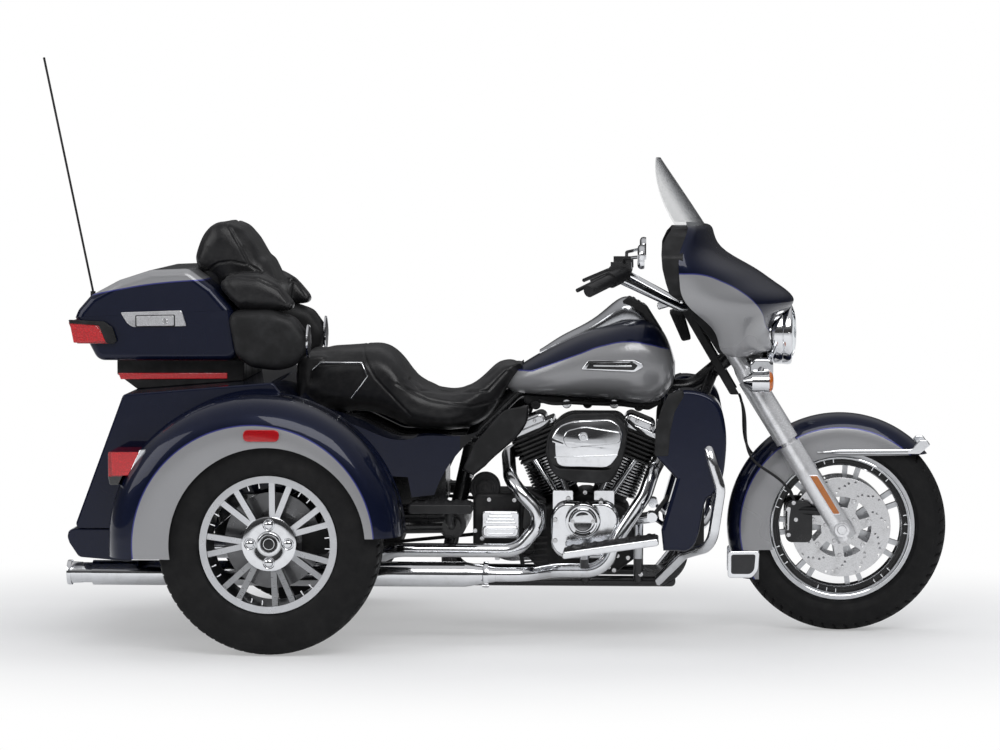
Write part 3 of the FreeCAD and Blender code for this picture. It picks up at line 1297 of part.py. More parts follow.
def wing_plan(wall):
    """Plan outline between the wing's curve and the seat, seen from above."""
    curve = [Vec(WING_BACK_X, BODY_HALF_W - wall, 0)]
    for along, out in WING_PLAN_SHARES:
        curve.append(Vec(span(WING_BACK_X, WING_FRONT_X, along),
                         span(WING_FRONT_Y, BODY_HALF_W, out) - wall, 0))
    curve.append(Vec(WING_FRONT_X, WING_FRONT_Y - wall, 0))
    inner_y = WING_SEAT_Y - wall * 2
    inner = [Vec(WING_FRONT_X, inner_y, 0), Vec(WING_BACK_X, inner_y, 0)]
    wire = Part.Wire([run_edge(curve), run_edge([curve[-1], inner[0]]), run_edge(inner),
                      run_edge([inner[1], curve[0]])])
    return Part.Face(wire).extrude(Vec(0, 0, WING_HIGH + OVERRUN))


def make_wing():
    """Left wing: a curved side wall with a flange towards the seat."""
    outline = slab(chain(WING_RUNS, WING_BACK_X, WING_LOW, WING_FRONT_X, WING_HIGH),
                   0, BODY_HALF_W)
    full = wing_plan(0).common(outline)
    lowered = outline.copy()
    lowered.translate(Vec(0, 0, -WING_WALL))
    deeper = outline.copy()
    deeper.translate(Vec(0, 0, -WING_WALL - OVERRUN))
    inner = wing_plan(WING_WALL).common(lowered.fuse(deeper))
    wing = without(full, inner, frame, seat)
    return max(wing.Solids, key=lambda solid: solid.Volume)


body_wing = make_wing()

# Lower bumper under the trunk
BUMPER_BACK = -618.0
BUMPER_FRONT = -420.0
BUMPER_LOW = 246.0
BUMPER_HIGH = 344.7
BUMPER_SIDE = 6.0
BUMPER_HALF_W = BODY_HALF_W - BUMPER_SIDE
BUMPER_WALL = 6.0
BUMPER_EDGE = 5.0
BUMPER_CORNER = 20.0
PLATE_Y_SPACING = 146.0
PLATE_Z_SPACING = 26.0
PLATE_Z_SHARE = 0.66
PLATE_HOLE_R = 3.3
PLATE_HOLE_L = 60.0
PLATE_PAD_MARGIN = 14.0
PLATE_PAD_OUT = 2.0
PLATE_PAD_T = 18.0
BUMPER_SHARES = [(0.06, 0.0), (1.0, 0.0), (1.0, 1.0), (0.11, 1.0), (0.02, 0.94), (0.0, 0.74),
                 (0.03, 0.56), (0.17, 0.14)]


def make_bumper():
    """Shell with a rounded step, open in front, with a flat pad and four holes for the plate."""
    points = spots(BUMPER_SHARES, BUMPER_BACK, BUMPER_LOW, BUMPER_FRONT, BUMPER_HIGH)
    solid = soft_slab(rounded(points[1:], BUMPER_CORNER), -BUMPER_HALF_W, BUMPER_HALF_W,
                      BUMPER_EDGE)
    inner = spots(BUMPER_SHARES, BUMPER_BACK + BUMPER_WALL, BUMPER_LOW + BUMPER_WALL,
                  BUMPER_FRONT + OVERRUN, BUMPER_HIGH - BUMPER_WALL)
    room = slab(rounded(inner[1:], BUMPER_CORNER), BUMPER_WALL - BUMPER_HALF_W,
                BUMPER_HALF_W - BUMPER_WALL)
    holes = []
    z = span(BUMPER_LOW, BUMPER_HIGH, PLATE_Z_SHARE)
    pad_y = PLATE_Y_SPACING / 2 + PLATE_PAD_MARGIN
    pad_z = PLATE_Z_SPACING / 2 + PLATE_PAD_MARGIN
    pad_x = BUMPER_BACK - PLATE_PAD_OUT
    pad = box_slab(pad_x, pad_x + PLATE_PAD_T, z - pad_z, z + pad_z, -pad_y, pad_y,
                   PLATE_PAD_MARGIN / 2)
    for y in (-PLATE_Y_SPACING / 2, PLATE_Y_SPACING / 2):
        for rise in (-PLATE_Z_SPACING / 2, PLATE_Z_SPACING / 2):
            holes.append(rod(Vec(BUMPER_BACK - OVERRUN, y, z + rise),
                             Vec(BUMPER_BACK + PLATE_HOLE_L, y, z + rise), PLATE_HOLE_R))
    return without(solid.cut(room).fuse(pad), *holes)


bumper = make_bumper()
ship("rear_bumper", bumper)

# Tail lamps: one pair on the fenders, one pair on the box corners
LAMP_INSET = 9.0
LAMP_L = 134.0
LAMP_UP = 169.0
LAMP_H = 96.0
LAMP_IN = 20.0
LAMP_OUT = 55.0
LAMP_BACK = FENDER_CENTRE_X - FENDER_R + LAMP_INSET
LAMP_FRONT = LAMP_BACK + LAMP_L
LAMP_LOW = REAR_TYRE_R + LAMP_UP
LAMP_HIGH = LAMP_LOW + LAMP_H
LAMP_IN_Y = BODY_HALF_W + LAMP_IN
LAMP_OUT_Y = FENDER_OUTER_Y - LAMP_OUT
LAMP_EDGE = 6.0
LAMP_SHARES = [(0.0, 0.25), (0.04, 0.0), (0.45, 0.0), (1.0, 0.95), (0.95, 1.0), (0.0, 1.0)]
BOX_LAMP_BACK = -634.0
BOX_LAMP_FRONT = -488.0
BOX_LAMP_LOW = 882.0
BOX_LAMP_HIGH = 950.0
BOX_LAMP_IN_Y = 200.0
BOX_LAMP_PROUD = 14.0
BOX_LAMP_SHARES = [(0.0, 1.0), (0.18, 0.0), (0.90, 0.0), (1.0, 0.12), (0.86, 0.52), (0.72, 0.94)]

# Luggage box: hollow base, lid with hinge on the left, rack below
BOX_BACK_TOP = -616.0
BOX_BACK_LOW = -548.0
BOX_FRONT_LOW = -124.0
BOX_FRONT_TOP = -144.0
BOX_LOW = 831.0
BOX_SEAM_BACK_Z = 960.0
BOX_SEAM_FRONT_Z = 982.0
BOX_HALF_W = 300.0
BOX_WALL = 5.0
BOX_CORNER = 34.0
BOX_EDGE = 18.0
LID_TOP_FRONT_Z = 1110.0
LID_HIGH = LID_TOP_FRONT_Z - BOX_SEAM_BACK_Z
LID_SHARES = [(0.0, 0.0), (1.0, 0.0), (0.87, 0.56), (0.72, 0.96), (0.48, 0.93), (0.28, 0.72),
              (0.10, 0.42), (0.02, 0.14)]
LID_CORNER = 40.0
LID_EDGE = 24.0
RACK_BACK = -500.0
RACK_FRONT = -118.0
RACK_HALF_W = 232.0
RACK_FOOT_BACK = -440.0
RACK_CORNER = 3.0


def seam_z(x):
    """Height of the seam between box and lid."""
    return span(BOX_SEAM_BACK_Z, BOX_SEAM_FRONT_Z,
                (x - BOX_BACK_TOP) / (BOX_FRONT_TOP - BOX_BACK_TOP))


def box_outline(wall):
    return [
        Vec(BOX_BACK_LOW + wall, 0, BOX_LOW + wall), Vec(BOX_FRONT_LOW - wall, 0, BOX_LOW + wall),
        Vec(BOX_FRONT_TOP - wall, 0, seam_z(BOX_FRONT_TOP)),
        Vec(BOX_BACK_TOP + wall, 0, seam_z(BOX_BACK_TOP)),
    ]


def tub(points, corner):
    """Side outline with round lower corners and sharp upper ones."""
    low_a, low_b, top_b, top_a = points
    full = rounded([low_a, low_b, top_b + (top_b - low_b), top_a + (top_a - low_a)], corner)
    cap = Part.makePolygon([top_a + (top_a - top_b), top_b + (top_b - top_a),
                            top_b + (top_b - top_a) + Vec(0, 0, BOX_HALF_W),
                            top_a + (top_a - top_b) + Vec(0, 0, BOX_HALF_W),
                            top_a + (top_a - top_b)])
    return full, cap


def box_core(wall):
    """The box up to its seam, shrunk inwards by a wall."""
    full, cap = tub(box_outline(wall), BOX_CORNER - wall)
    solid = soft_slab(full, wall - BOX_HALF_W, BOX_HALF_W - wall, BOX_EDGE - wall)
    return solid.cut(slab(cap, -BOX_HALF_W - OVERRUN, BOX_HALF_W + OVERRUN))


def make_box_base():
    return box_core(0).cut(box_core(BOX_WALL))


def make_lid():
    seam_back = Vec(BOX_BACK_TOP, 0, seam_z(BOX_BACK_TOP) + SEAT_GAP)
    seam_front = Vec(BOX_FRONT_TOP, 0, seam_z(BOX_FRONT_TOP) + SEAT_GAP)

    def outline(wall):
        points = []
        for along, up in LID_SHARES:
            x = span(BOX_BACK_TOP + wall, BOX_FRONT_TOP - wall, along)
            base = span(seam_back.z, seam_front.z, along)
            points.append(Vec(x, 0, span(base, LID_TOP_FRONT_Z - wall, up)))
        return points
    skirt = Vec(0, 0, -OVERRUN)

    def dome(wall):
        shape = outline(wall)
        wire = rounded([shape[0] + skirt, shape[1] + skirt] + shape[1:] + shape[:1], LID_CORNER)
        return soft_slab(wire, wall - BOX_HALF_W, BOX_HALF_W - wall, LID_EDGE - wall)
    solid = dome(0)
    room = dome(BOX_WALL)
    run = seam_front - seam_back
    below = Vec(0, 0, -LID_HIGH)
    low = Part.makePolygon([seam_back - run, seam_front + run, seam_front + run + below,
                            seam_back - run + below, seam_back - run])
    return without(solid, slab(low, -BOX_HALF_W - OVERRUN, BOX_HALF_W + OVERRUN), room)


def make_rack():
    """Plinth between the trunk's deck and the box."""
    low_back = Vec(RACK_FOOT_BACK, 0, deck_z(RACK_FOOT_BACK) + SEAT_GAP)
    low_front = Vec(RACK_FRONT, 0, deck_z(RACK_FRONT) + SEAT_GAP)
    top = BOX_LOW - SEAT_GAP
    wire = rounded([low_back, low_front, Vec(RACK_FRONT, 0, top), Vec(RACK_BACK, 0, top),
                    Vec(RACK_BACK, 0, middle(low_back.z, top))], RACK_CORNER)
    return soft_slab(wire, -RACK_HALF_W, RACK_HALF_W, RACK_CORNER)


# Hinge on the left wall of the box
LID_HINGE_Y = 314.0
LID_HINGE_R = 7.0
LID_HINGE_HALF_L = 23.0
LID_PIN_R = 3.0
LID_HINGE_SHARES = (0.22, 0.72)


def lid_hinge(base_wall, lid_wall):
    """Knuckles of both halves on one line along the seam; the pin belongs to the base."""
    back = Vec(BOX_BACK_TOP, LID_HINGE_Y, seam_z(BOX_BACK_TOP))
    front = Vec(BOX_FRONT_TOP, LID_HINGE_Y, seam_z(BOX_FRONT_TOP))
    along = front - back
    up = Vec(-along.z, 0, along.x)
    along.normalize()
    up.normalize()

    def leaf(start, drop):
        corner = start + up * drop
        reach = along * LID_HINGE_HALF_L
        wire = Part.makePolygon([corner, corner + reach, corner + reach + up * LID_HINGE_R,
                                 corner + up * LID_HINGE_R, corner])
        return Part.Face(wire).extrude(Vec(0, BOX_HALF_W - BOX_WALL - LID_HINGE_Y, 0))
    for share in LID_HINGE_SHARES:
        first = span_point(back, front, share)
        second = first + along * (LID_HINGE_HALF_L + SEAT_GAP)
        lower = rod(first, first + along * LID_HINGE_HALF_L, LID_HINGE_R)
        lower = lower.fuse(leaf(first, -LID_HINGE_R))
        upper = rod(second, second + along * LID_HINGE_HALF_L, LID_HINGE_R).fuse(leaf(second, 0))
        upper = upper.cut(rod(first, second + along * OVERRUN, LID_PIN_R + SEAT_GAP))
        pin = rod(first, second + along * LID_HINGE_HALF_L, LID_PIN_R)
        base_wall = fused(base_wall, lower, pin)
        lid_wall = fused(lid_wall, upper)
    return base_wall, lid_wall


box_base, box_lid = lid_hinge(make_box_base(), make_lid())
rack = make_rack()
ship("luggage_box", box_base)
ship("box_lid", box_lid)
ship("box_rack", rack)

# Backrest on the lid, with arms that reach round the passenger
BACKREST_BACK = -281.0
BACKREST_FRONT = -28.0
BACKREST_LOW = 990.0
BACKREST_HIGH = 1250.0
BACKREST_HALF_W = 168.0
BACKREST_EDGE = 22.0
BACKREST_SHARES = [(0.0, 0.44), (0.10, 0.75), (0.21, 0.94), (0.33, 1.0), (0.49, 0.95),
                   (0.66, 0.76), (0.82, 0.50), (0.98, 0.16), (1.0, 0.0), (0.50, 0.0),
                   (0.24, 0.45)]
BACKREST_CORNER = 22.0
ARM_BACK = -192.0
ARM_FRONT = 36.0
ARM_LOW = 988.0
ARM_HIGH = 1086.0
ARM_IN_Y = 150.0
ARM_OUT_Y = 296.0
ARM_SHARES = [(0.0, 0.80), (0.17, 1.0), (0.57, 0.93), (0.82, 0.60), (0.98, 0.20), (1.0, 0.0),
              (0.34, 0.0)]


def make_backrest():
    points = spots(BACKREST_SHARES, BACKREST_BACK, BACKREST_LOW, BACKREST_FRONT, BACKREST_HIGH)
    pad = soft_slab(rounded(points, BACKREST_CORNER), -BACKREST_HALF_W, BACKREST_HALF_W,
                    BACKREST_EDGE)
    points = spots(ARM_SHARES, ARM_BACK, ARM_LOW, ARM_FRONT, ARM_HIGH)
    arm = soft_slab(rounded(points, BACKREST_CORNER), ARM_IN_Y, ARM_OUT_Y, BACKREST_EDGE)
    room = Part.makeBox(ARM_FRONT - BACKREST_FRONT + OVERRUN, ARM_OUT_Y, BACKREST_HIGH,
                        Vec(BACKREST_FRONT, 0, ARM_LOW - OVERRUN))
    inner_y = middle(ARM_IN_Y, ARM_OUT_Y)
    arm = arm.cut(Part.makeBox(ARM_FRONT - BACKREST_FRONT + OVERRUN, inner_y, BACKREST_HIGH,
                               Vec(BACKREST_FRONT, 0, 0)))
    whole = without(fused(pad, *pair(arm)), box_lid, box_base)
    return max(whole.Solids, key=lambda solid: solid.Volume)


ship("backrest", make_backrest())

# Speaker pods on the front corners of the box
POD_BACK = -158.0
POD_FRONT = 80.0
POD_LOW = 807.0
POD_HIGH = 978.0
POD_IN_Y = 208.0
POD_OUT_Y = 322.0
POD_CORNER = 26.0
POD_EDGE = 20.0
POD_SHARES = [(0.0, 1.0), (0.55, 1.0), (0.82, 0.87), (1.0, 0.52), (0.96, 0.26), (0.80, 0.06),
              (0.62, 0.0), (0.30, 0.05), (0.11, 0.24)]


def make_pod():
    points = spots(POD_SHARES, POD_BACK, POD_LOW, POD_FRONT, POD_HIGH)
    pod = soft_slab(rounded(points, POD_CORNER), POD_IN_Y, POD_OUT_Y, POD_EDGE)
    return without(pod, box_core(0), rack)


ship("speaker_pods", *pair(make_pod()))


def make_fender_lamp():
    wire = rounded(spots(LAMP_SHARES, LAMP_BACK, LAMP_LOW, LAMP_FRONT, LAMP_HIGH), LAMP_EDGE)
    lamp = soft_slab(wire, LAMP_IN_Y, LAMP_OUT_Y, LAMP_EDGE / 2)
    core = across(FENDER_CENTRE_X, REAR_TYRE_R, BODY_HALF_W, FENDER_OUTER_Y,
                  FENDER_R - FENDER_WALL / 2)
    lamp = without(lamp, core, rear_fender)
    return max(lamp.Solids, key=lambda solid: solid.Volume)


def make_box_lamp():
    wire = rounded(spots(BOX_LAMP_SHARES, BOX_LAMP_BACK, BOX_LAMP_LOW, BOX_LAMP_FRONT,
                         BOX_LAMP_HIGH), LAMP_EDGE)
    lamp = soft_slab(wire, BOX_LAMP_IN_Y, BOX_HALF_W + BOX_LAMP_PROUD, LAMP_EDGE / 2)
    lamp = lamp.cut(box_core(0))
    return max(lamp.Solids, key=lambda solid: solid.Volume)


ship("tail_lamps", *pair(make_fender_lamp()), *pair(make_box_lamp()))

# Antenna behind the left corner of the box
ANTENNA_Y = 250.0
ANTENNA_BASE_BACK = 651.0
ANTENNA_BASE_Z = 1015.0
ANTENNA_FOOT_Z = 866.0
ANTENNA_BASE_R = 8.0
ANTENNA_ROD_R = 3.5
ANTENNA_BEND = 14.0


def make_antenna():
    foot = Vec(BOX_BACK_LOW, ANTENNA_Y, ANTENNA_FOOT_Z)
    knee = Vec(-ANTENNA_BASE_BACK, ANTENNA_Y, ANTENNA_FOOT_Z)
    base = Vec(-ANTENNA_BASE_BACK, ANTENNA_Y, ANTENNA_BASE_Z)
    tip = Vec(ANTENNA_TIP_R - ANTENNA_TIP_BACK, ANTENNA_Y, ANTENNA_TIP_Z - ANTENNA_TIP_R)
    arm = tube([foot, knee, base], ANTENNA_BASE_R, ANTENNA_BEND)
    whole = fused(arm, rod(base, tip, ANTENNA_ROD_R), Part.makeSphere(ANTENNA_TIP_R, tip))
    whole = without(whole, box_core(0), make_box_lamp())
    return max(whole.Solids, key=lambda solid: solid.Volume)


ship("antenna", make_antenna())

# Boards for the feet, pedals
BOARD_BACK = 838.0
BOARD_FRONT = 1122.0
BOARD_BACK_Z = 254.0
BOARD_FRONT_Z = 296.0
BOARD_T = 22.0
BOARD_IN_Y = 268.0
BOARD_OUT_Y = 392.0
BOARD_CORNER = 9.0
BRACKET_SHARES = (0.22, 0.78)
BRACKET_R = 13.0
BRACKET_SINK = 5.5
P_BOARD_BACK = 382.0
P_BOARD_FRONT = 572.0
P_BOARD_Z = 384.0
P_BOARD_T = 28.0
P_BOARD_IN_Y = 262.0
P_BOARD_OUT_Y = 366.0
PEDAL_X = 1102.0
PEDAL_Z = 376.0
PEDAL_R = 15.0
PEDAL_HALF_L = 34.0
PEDAL_Y = 330.0
LEVER_Z = 352.0


def make_rider_board():
    """Left board, leaning back, with its bracket to the cradle."""
    lean = Vec(BOARD_FRONT - BOARD_BACK, 0, BOARD_FRONT_Z - BOARD_BACK_Z)
    back = Vec(BOARD_BACK, 0, BOARD_BACK_Z)
    up = Vec(0, 0, BOARD_T)
    wire = rounded([back, back + lean, back + lean + up, back + up], BOARD_CORNER)
    board = soft_slab(wire, BOARD_IN_Y, BOARD_OUT_Y, BOARD_CORNER / 2)
    pieces = [board]
    for share in BRACKET_SHARES:
        at = back + lean * share
        pieces.append(rod(Vec(at.x, CRADLE_Y, CRADLE_LOW_Z), Vec(at.x, middle(BOARD_IN_Y, BOARD_OUT_Y),
                                                                 at.z + BRACKET_SINK), BRACKET_R))
    return fused(*pieces)


def make_passenger_board():
    board = soft_box(P_BOARD_BACK, P_BOARD_FRONT, P_BOARD_Z, P_BOARD_Z + P_BOARD_T,
                     P_BOARD_IN_Y, P_BOARD_OUT_Y, BOARD_CORNER, BOARD_CORNER / 2)
    arm = tube([Vec(PIVOT_X, PIVOT_HALF_W - BRACKET_R, PIVOT_Z),
                Vec(PIVOT_X, middle(P_BOARD_IN_Y, P_BOARD_OUT_Y), PIVOT_Z + PIVOT_R),
                Vec(PIVOT_X, middle(P_BOARD_IN_Y, P_BOARD_OUT_Y), P_BOARD_Z + P_BOARD_T / 2)],
               BRACKET_R, BOARD_T)
    return fused(board, arm)


def make_pedal(z):
    """Left foot lever: a padded end on an arm from the front of the cradle."""
    pad = across(PEDAL_X, z, PEDAL_Y - PEDAL_HALF_L, PEDAL_Y + PEDAL_HALF_L, PEDAL_R)
    arm = tube([Vec(CRADLE_FRONT_X, CRADLE_Y, middle(BOARD_FRONT_Z, z)),
                Vec(middle(PEDAL_X, CRADLE_FRONT_X), middle(CRADLE_Y, PEDAL_Y), middle(BOARD_FRONT_Z, z)),
                Vec(PEDAL_X, PEDAL_Y, z)], BRACKET_R / 2, BOARD_T)
    return fused(pad, arm)


# Engine guard and lower leg fairings
GUARD_R = 15.9
GUARD_BEND = 75.0
GUARD_Y = 372.0
GUARD_TOP_Z = 640.0
GUARD_TOP_X = 1256.0
GUARD_FRONT_X = 1302.0
GUARD_LOW_X = 1276.0
GUARD_LOW_Z = 292.0
GUARD_FOOT_X = 1118.0
GUARD_FOOT_Z = 214.0


def make_guard():
    """One tube each side, from the top of the cradle round to its lower end."""
    halves = []
    for side in (-1, 1):
        halves.append(tube([
            Vec(CRADLE_TOP_X + CRADLE_R, side * CRADLE_Y, CRADLE_TOP_Z),
            Vec(GUARD_TOP_X, side * (GUARD_Y - GUARD_BEND), GUARD_TOP_Z),
            Vec(GUARD_TOP_X + GUARD_R, side * GUARD_Y, GUARD_TOP_Z - GUARD_BEND),
            Vec(GUARD_FRONT_X, side * GUARD_Y, middle(GUARD_TOP_Z, GUARD_LOW_Z)),
            Vec(GUARD_LOW_X, side * (GUARD_Y - GUARD_R), GUARD_LOW_Z),
            Vec(middle(GUARD_LOW_X, GUARD_FOOT_X), side * (CRADLE_Y + GUARD_BEND),
                middle(GUARD_LOW_Z, GUARD_FOOT_Z)),
            Vec(GUARD_FOOT_X, side * CRADLE_Y, CRADLE_LOW_Z),
        ], GUARD_R, GUARD_BEND))
    return [without(half, frame) for half in halves]


guard = make_guard()
boards = [make_rider_board(), mirrored(make_rider_board())]
boards = [without(board, frame, primary, *exhaust, *guard) for board in boards]
small_boards = [without(board, swingarm, frame) for board in pair(make_passenger_board())]
pedals = [without(make_pedal(LEVER_Z), frame, *guard),
          without(mirrored(make_pedal(PEDAL_Z)), frame, *guard)]
ship("engine_guard", *guard)
ship("foot_controls", *boards, *small_boards, *pedals)

LOWER_BACK = 1108.0
LOWER_FRONT = 1319.0
LOWER_LOW = 282.0
LOWER_HIGH = 754.0
LOWER_IN_Y = 262.0
LOWER_OUT_Y = 400.0
LOWER_EDGE = 12.0
LOWER_RUNS = [
    [(0.12, 0.80), (0.21, 0.945), (0.38, 1.0)],
    [(0.70, 0.98), (0.88, 0.925), (0.965, 0.83), (1.0, 0.70), (0.985, 0.565), (0.91, 0.41),
     (0.79, 0.34)],
    [(0.60, 0.08), (0.50, 0.01), (0.33, 0.0)],
    [(0.13, 0.0)],
    [(0.10, 0.13)],
    [(0.31, 0.45)],
    [(0.0, 0.60)],
    [(0.03, 0.70)],
]


def make_lower():
    """Left leg fairing with its closed glove box."""
    wire = chain(LOWER_RUNS, LOWER_BACK, LOWER_LOW, LOWER_FRONT, LOWER_HIGH)
    return soft_slab(wire, LOWER_IN_Y, LOWER_OUT_Y, LOWER_EDGE)


def make_lowers():
    solid = make_lower()
    halves = []
    for shape in (without(mirrored(solid), guard[0], pedals[1], frame),
                  without(solid, guard[1], pedals[0], frame)):
        halves.append(max(shape.Solids, key=lambda piece: piece.Volume))
    return halves


ship("lower_fairings", *make_lowers())

# Black air deflectors in the middle of the frame
DEFLECTOR_BACK = 534.0
DEFLECTOR_FRONT = 732.0
DEFLECTOR_LOW = 486.0
DEFLECTOR_HIGH = 698.0
DEFLECTOR_IN_Y = 206.0
DEFLECTOR_OUT_Y = 240.0
DEFLECTOR_EDGE = 8.0
DEFLECTOR_STAY_X = 618.0
DEFLECTOR_STAY_R = 7.0
DEFLECTOR_RUNS = [
    [(0.22, 0.46), (0.42, 0.72), (0.66, 0.93)],
    [(1.0, 1.0)],
    [(0.97, 0.74), (0.66, 0.40), (0.36, 0.14)],
    [(0.17, 0.0)],
    [(0.0, 0.08)],
]


def make_deflector():
    wire = chain(DEFLECTOR_RUNS, DEFLECTOR_BACK, DEFLECTOR_LOW, DEFLECTOR_FRONT, DEFLECTOR_HIGH)
    plate = soft_slab(wire, DEFLECTOR_IN_Y, DEFLECTOR_OUT_Y, DEFLECTOR_EDGE)
    stay = rod(Vec(SEAT_POST_X, CRADLE_Y, RAIL_DIP_Z),
               Vec(DEFLECTOR_STAY_X, middle(DEFLECTOR_IN_Y, DEFLECTOR_OUT_Y), RAIL_DIP_Z),
               DEFLECTOR_STAY_R)
    return without(fused(plate, stay), body_wing, tank, seat, frame)


ship("side_panels", *pair(body_wing), *pair(make_deflector()))

# Fork with its clamps, steering stem and front axle
SLIDER_R = 32.0
SLIDER_TOP_UP = 300.0
SLIDER_FOOT_UP = -34.0
COVER_R = 35.0
COVER_LOW_UP = 312.0
FORK_TUBE_R = 24.5
FORK_TOP_UP = 760.0
CLAMP_T = 32.0
CLAMP_HALF_Y = 150.0
CLAMP_BACK = 34.0
CLAMP_FRONT = 40.0
CLAMP_CORNER = 28.0
CLAMP_GAP = 2.0
FENDER_BOSS_R = 11.0
FENDER_BOSS_UPS = (236.0, 282.0)
AXLE_END_L = 7.0
AXLE_COLLAR_R = 20.0
CALIPER_BOSS_UP = 62.0
FRONT_FENDER_HALF_W = 82.0


def clamp_plate(z_low, t, front):
    """Plate square to the steering axis that holds both fork tubes."""
    centre = on_head(z_low)
    corners = [(-CLAMP_BACK, -CLAMP_HALF_Y), (front, -CLAMP_HALF_Y), (front, CLAMP_HALF_Y),
               (-CLAMP_BACK, CLAMP_HALF_Y)]
    points = [centre + HEAD_AHEAD * ahead + Vec(0, y, 0) for ahead, y in corners]
    return Part.Face(rounded(points, CLAMP_CORNER)).extrude(HEAD_UP * t)


def make_fork():
    lower_z = NECK_LOW_Z - (CLAMP_GAP + CLAMP_T) * math.cos(RAKE)
    upper_z = NECK_HIGH_Z + CLAMP_GAP * math.cos(RAKE)
    pieces = [clamp_plate(lower_z, CLAMP_T, CLAMP_FRONT), clamp_plate(upper_z, CLAMP_T, CLAMP_FRONT)]
    pieces.append(rod(on_head(lower_z), on_head(upper_z + CLAMP_T), STEM_R))
    disc_out = FRONT_HUB_HALF_W + SEAT_GAP + DISC_T
    for side in (-1, 1):
        y = side * FORK_HALF_GAP
        pieces.append(rod(on_fork(SLIDER_FOOT_UP, y), on_fork(SLIDER_TOP_UP, y), SLIDER_R))
        pieces.append(rod(on_fork(SLIDER_TOP_UP, y), on_fork(FORK_TOP_UP, y), FORK_TUBE_R))
        cover_top = (lower_z - FRONT_AXLE.z) / math.cos(FORK_TILT)
        pieces.append(rod(on_fork(COVER_LOW_UP, y), on_fork(cover_top, y), COVER_R))
        for up in FENDER_BOSS_UPS:
            at = on_fork(up)
            start = Vec(at.x, side * (FRONT_FENDER_HALF_W + SEAT_GAP), at.z)
            pieces.append(rod(start, Vec(at.x, y, at.z), FENDER_BOSS_R))
        collar = Vec(FRONT_AXLE.x, side * (disc_out + SHAFT_GAP), FRONT_AXLE.z)
        pieces.append(rod(collar, Vec(FRONT_AXLE.x, y, FRONT_AXLE.z), AXLE_COLLAR_R))
    half = FORK_HALF_GAP + SLIDER_R + AXLE_END_L
    pieces.append(across(FRONT_AXLE.x, FRONT_AXLE.z, -half, half, FRONT_AXLE_R))
    return fused(*pieces)


fork = make_fork()

# Brake calipers behind the fork legs
CALIPER_AT_DEG = 172.0
CALIPER_R = 128.0
CALIPER_LONG = 62.0
CALIPER_HIGH = 40.0
CALIPER_LINK_R = 14.0


def make_caliper():
    """Left caliper: a block slotted for the disc, with an arm to the fork leg."""
    disc_in = FRONT_HUB_HALF_W + SEAT_GAP - BRAKE_GAP
    disc_out = FRONT_HUB_HALF_W + SEAT_GAP + DISC_T + BRAKE_GAP
    y_low = disc_in - DISC_T
    y_high = disc_out + CALIPER_WALL
    angle = math.radians(CALIPER_AT_DEG)
    centre = FRONT_AXLE + Vec(math.cos(angle), 0, math.sin(angle)) * CALIPER_R
    corners = [Vec(-CALIPER_HIGH, 0, -CALIPER_LONG), Vec(CALIPER_HIGH, 0, -CALIPER_LONG),
               Vec(CALIPER_HIGH, 0, CALIPER_LONG), Vec(-CALIPER_HIGH, 0, CALIPER_LONG)]
    wire = rounded([centre + corner for corner in corners], CALIPER_HIGH / 2)
    block = soft_slab(wire, y_low, y_high, DISC_T / 2)
    slot = across(FRONT_AXLE.x, FRONT_AXLE.z, disc_in, disc_out, DISC_R + BRAKE_GAP)
    leg = on_fork(CALIPER_BOSS_UP, FORK_HALF_GAP)
    arm = rod(Vec(centre.x, y_high - CALIPER_LINK_R, leg.z), leg, CALIPER_LINK_R)
    inside = Part.makeBox(WHEELBASE + DISC_R, disc_out, FRONT_TYRE_R * 2, Vec(0, 0, 0))
    inside.translate(Vec(FRONT_AXLE.x - DISC_R * 2, 0, 0))
    arm = arm.cut(inside)
    whole = without(fused(block.cut(slot), arm), fork)
    return max(whole.Solids, key=lambda solid: solid.Volume)


ship("front_calipers", *pair(make_caliper()))

# Front fender: a deep shell round the tyre, trimmed in the side view
FRONT_FENDER_GAP = 22.0
FRONT_FENDER_R = FRONT_TYRE_R + FRONT_FENDER_GAP
FRONT_FENDER_LIP_R = FRONT_BEAD_R
FRONT_FENDER_WALL = 3.0
FENDER_SWEEP_SHARE = 0.72
FRONT_FENDER_SHARES = [(0.0, 1.0), (0.45, 0.988), (0.78, 0.945), (0.96, 0.86), (1.0, 0.76),
                       (1.0, 0.60)]
FENDER_NOSE_AHEAD = 256.0
FENDER_NOSE_X = WHEELBASE + FENDER_NOSE_AHEAD
FENDER_FLAT_UP = 220.0
FENDER_FLAT_Z = FRONT_TYRE_R + FENDER_FLAT_UP
FENDER_TAIL_UP = -160.0
FENDER_TAIL_LOW = FRONT_TYRE_R + FENDER_TAIL_UP
FENDER_TAIL_IN_AHEAD = -246.0
FENDER_TAIL_IN_X = WHEELBASE + FENDER_TAIL_IN_AHEAD
FENDER_TAIL_IN_UP = -70.0
FENDER_TAIL_IN_Z = FRONT_TYRE_R + FENDER_TAIL_IN_UP


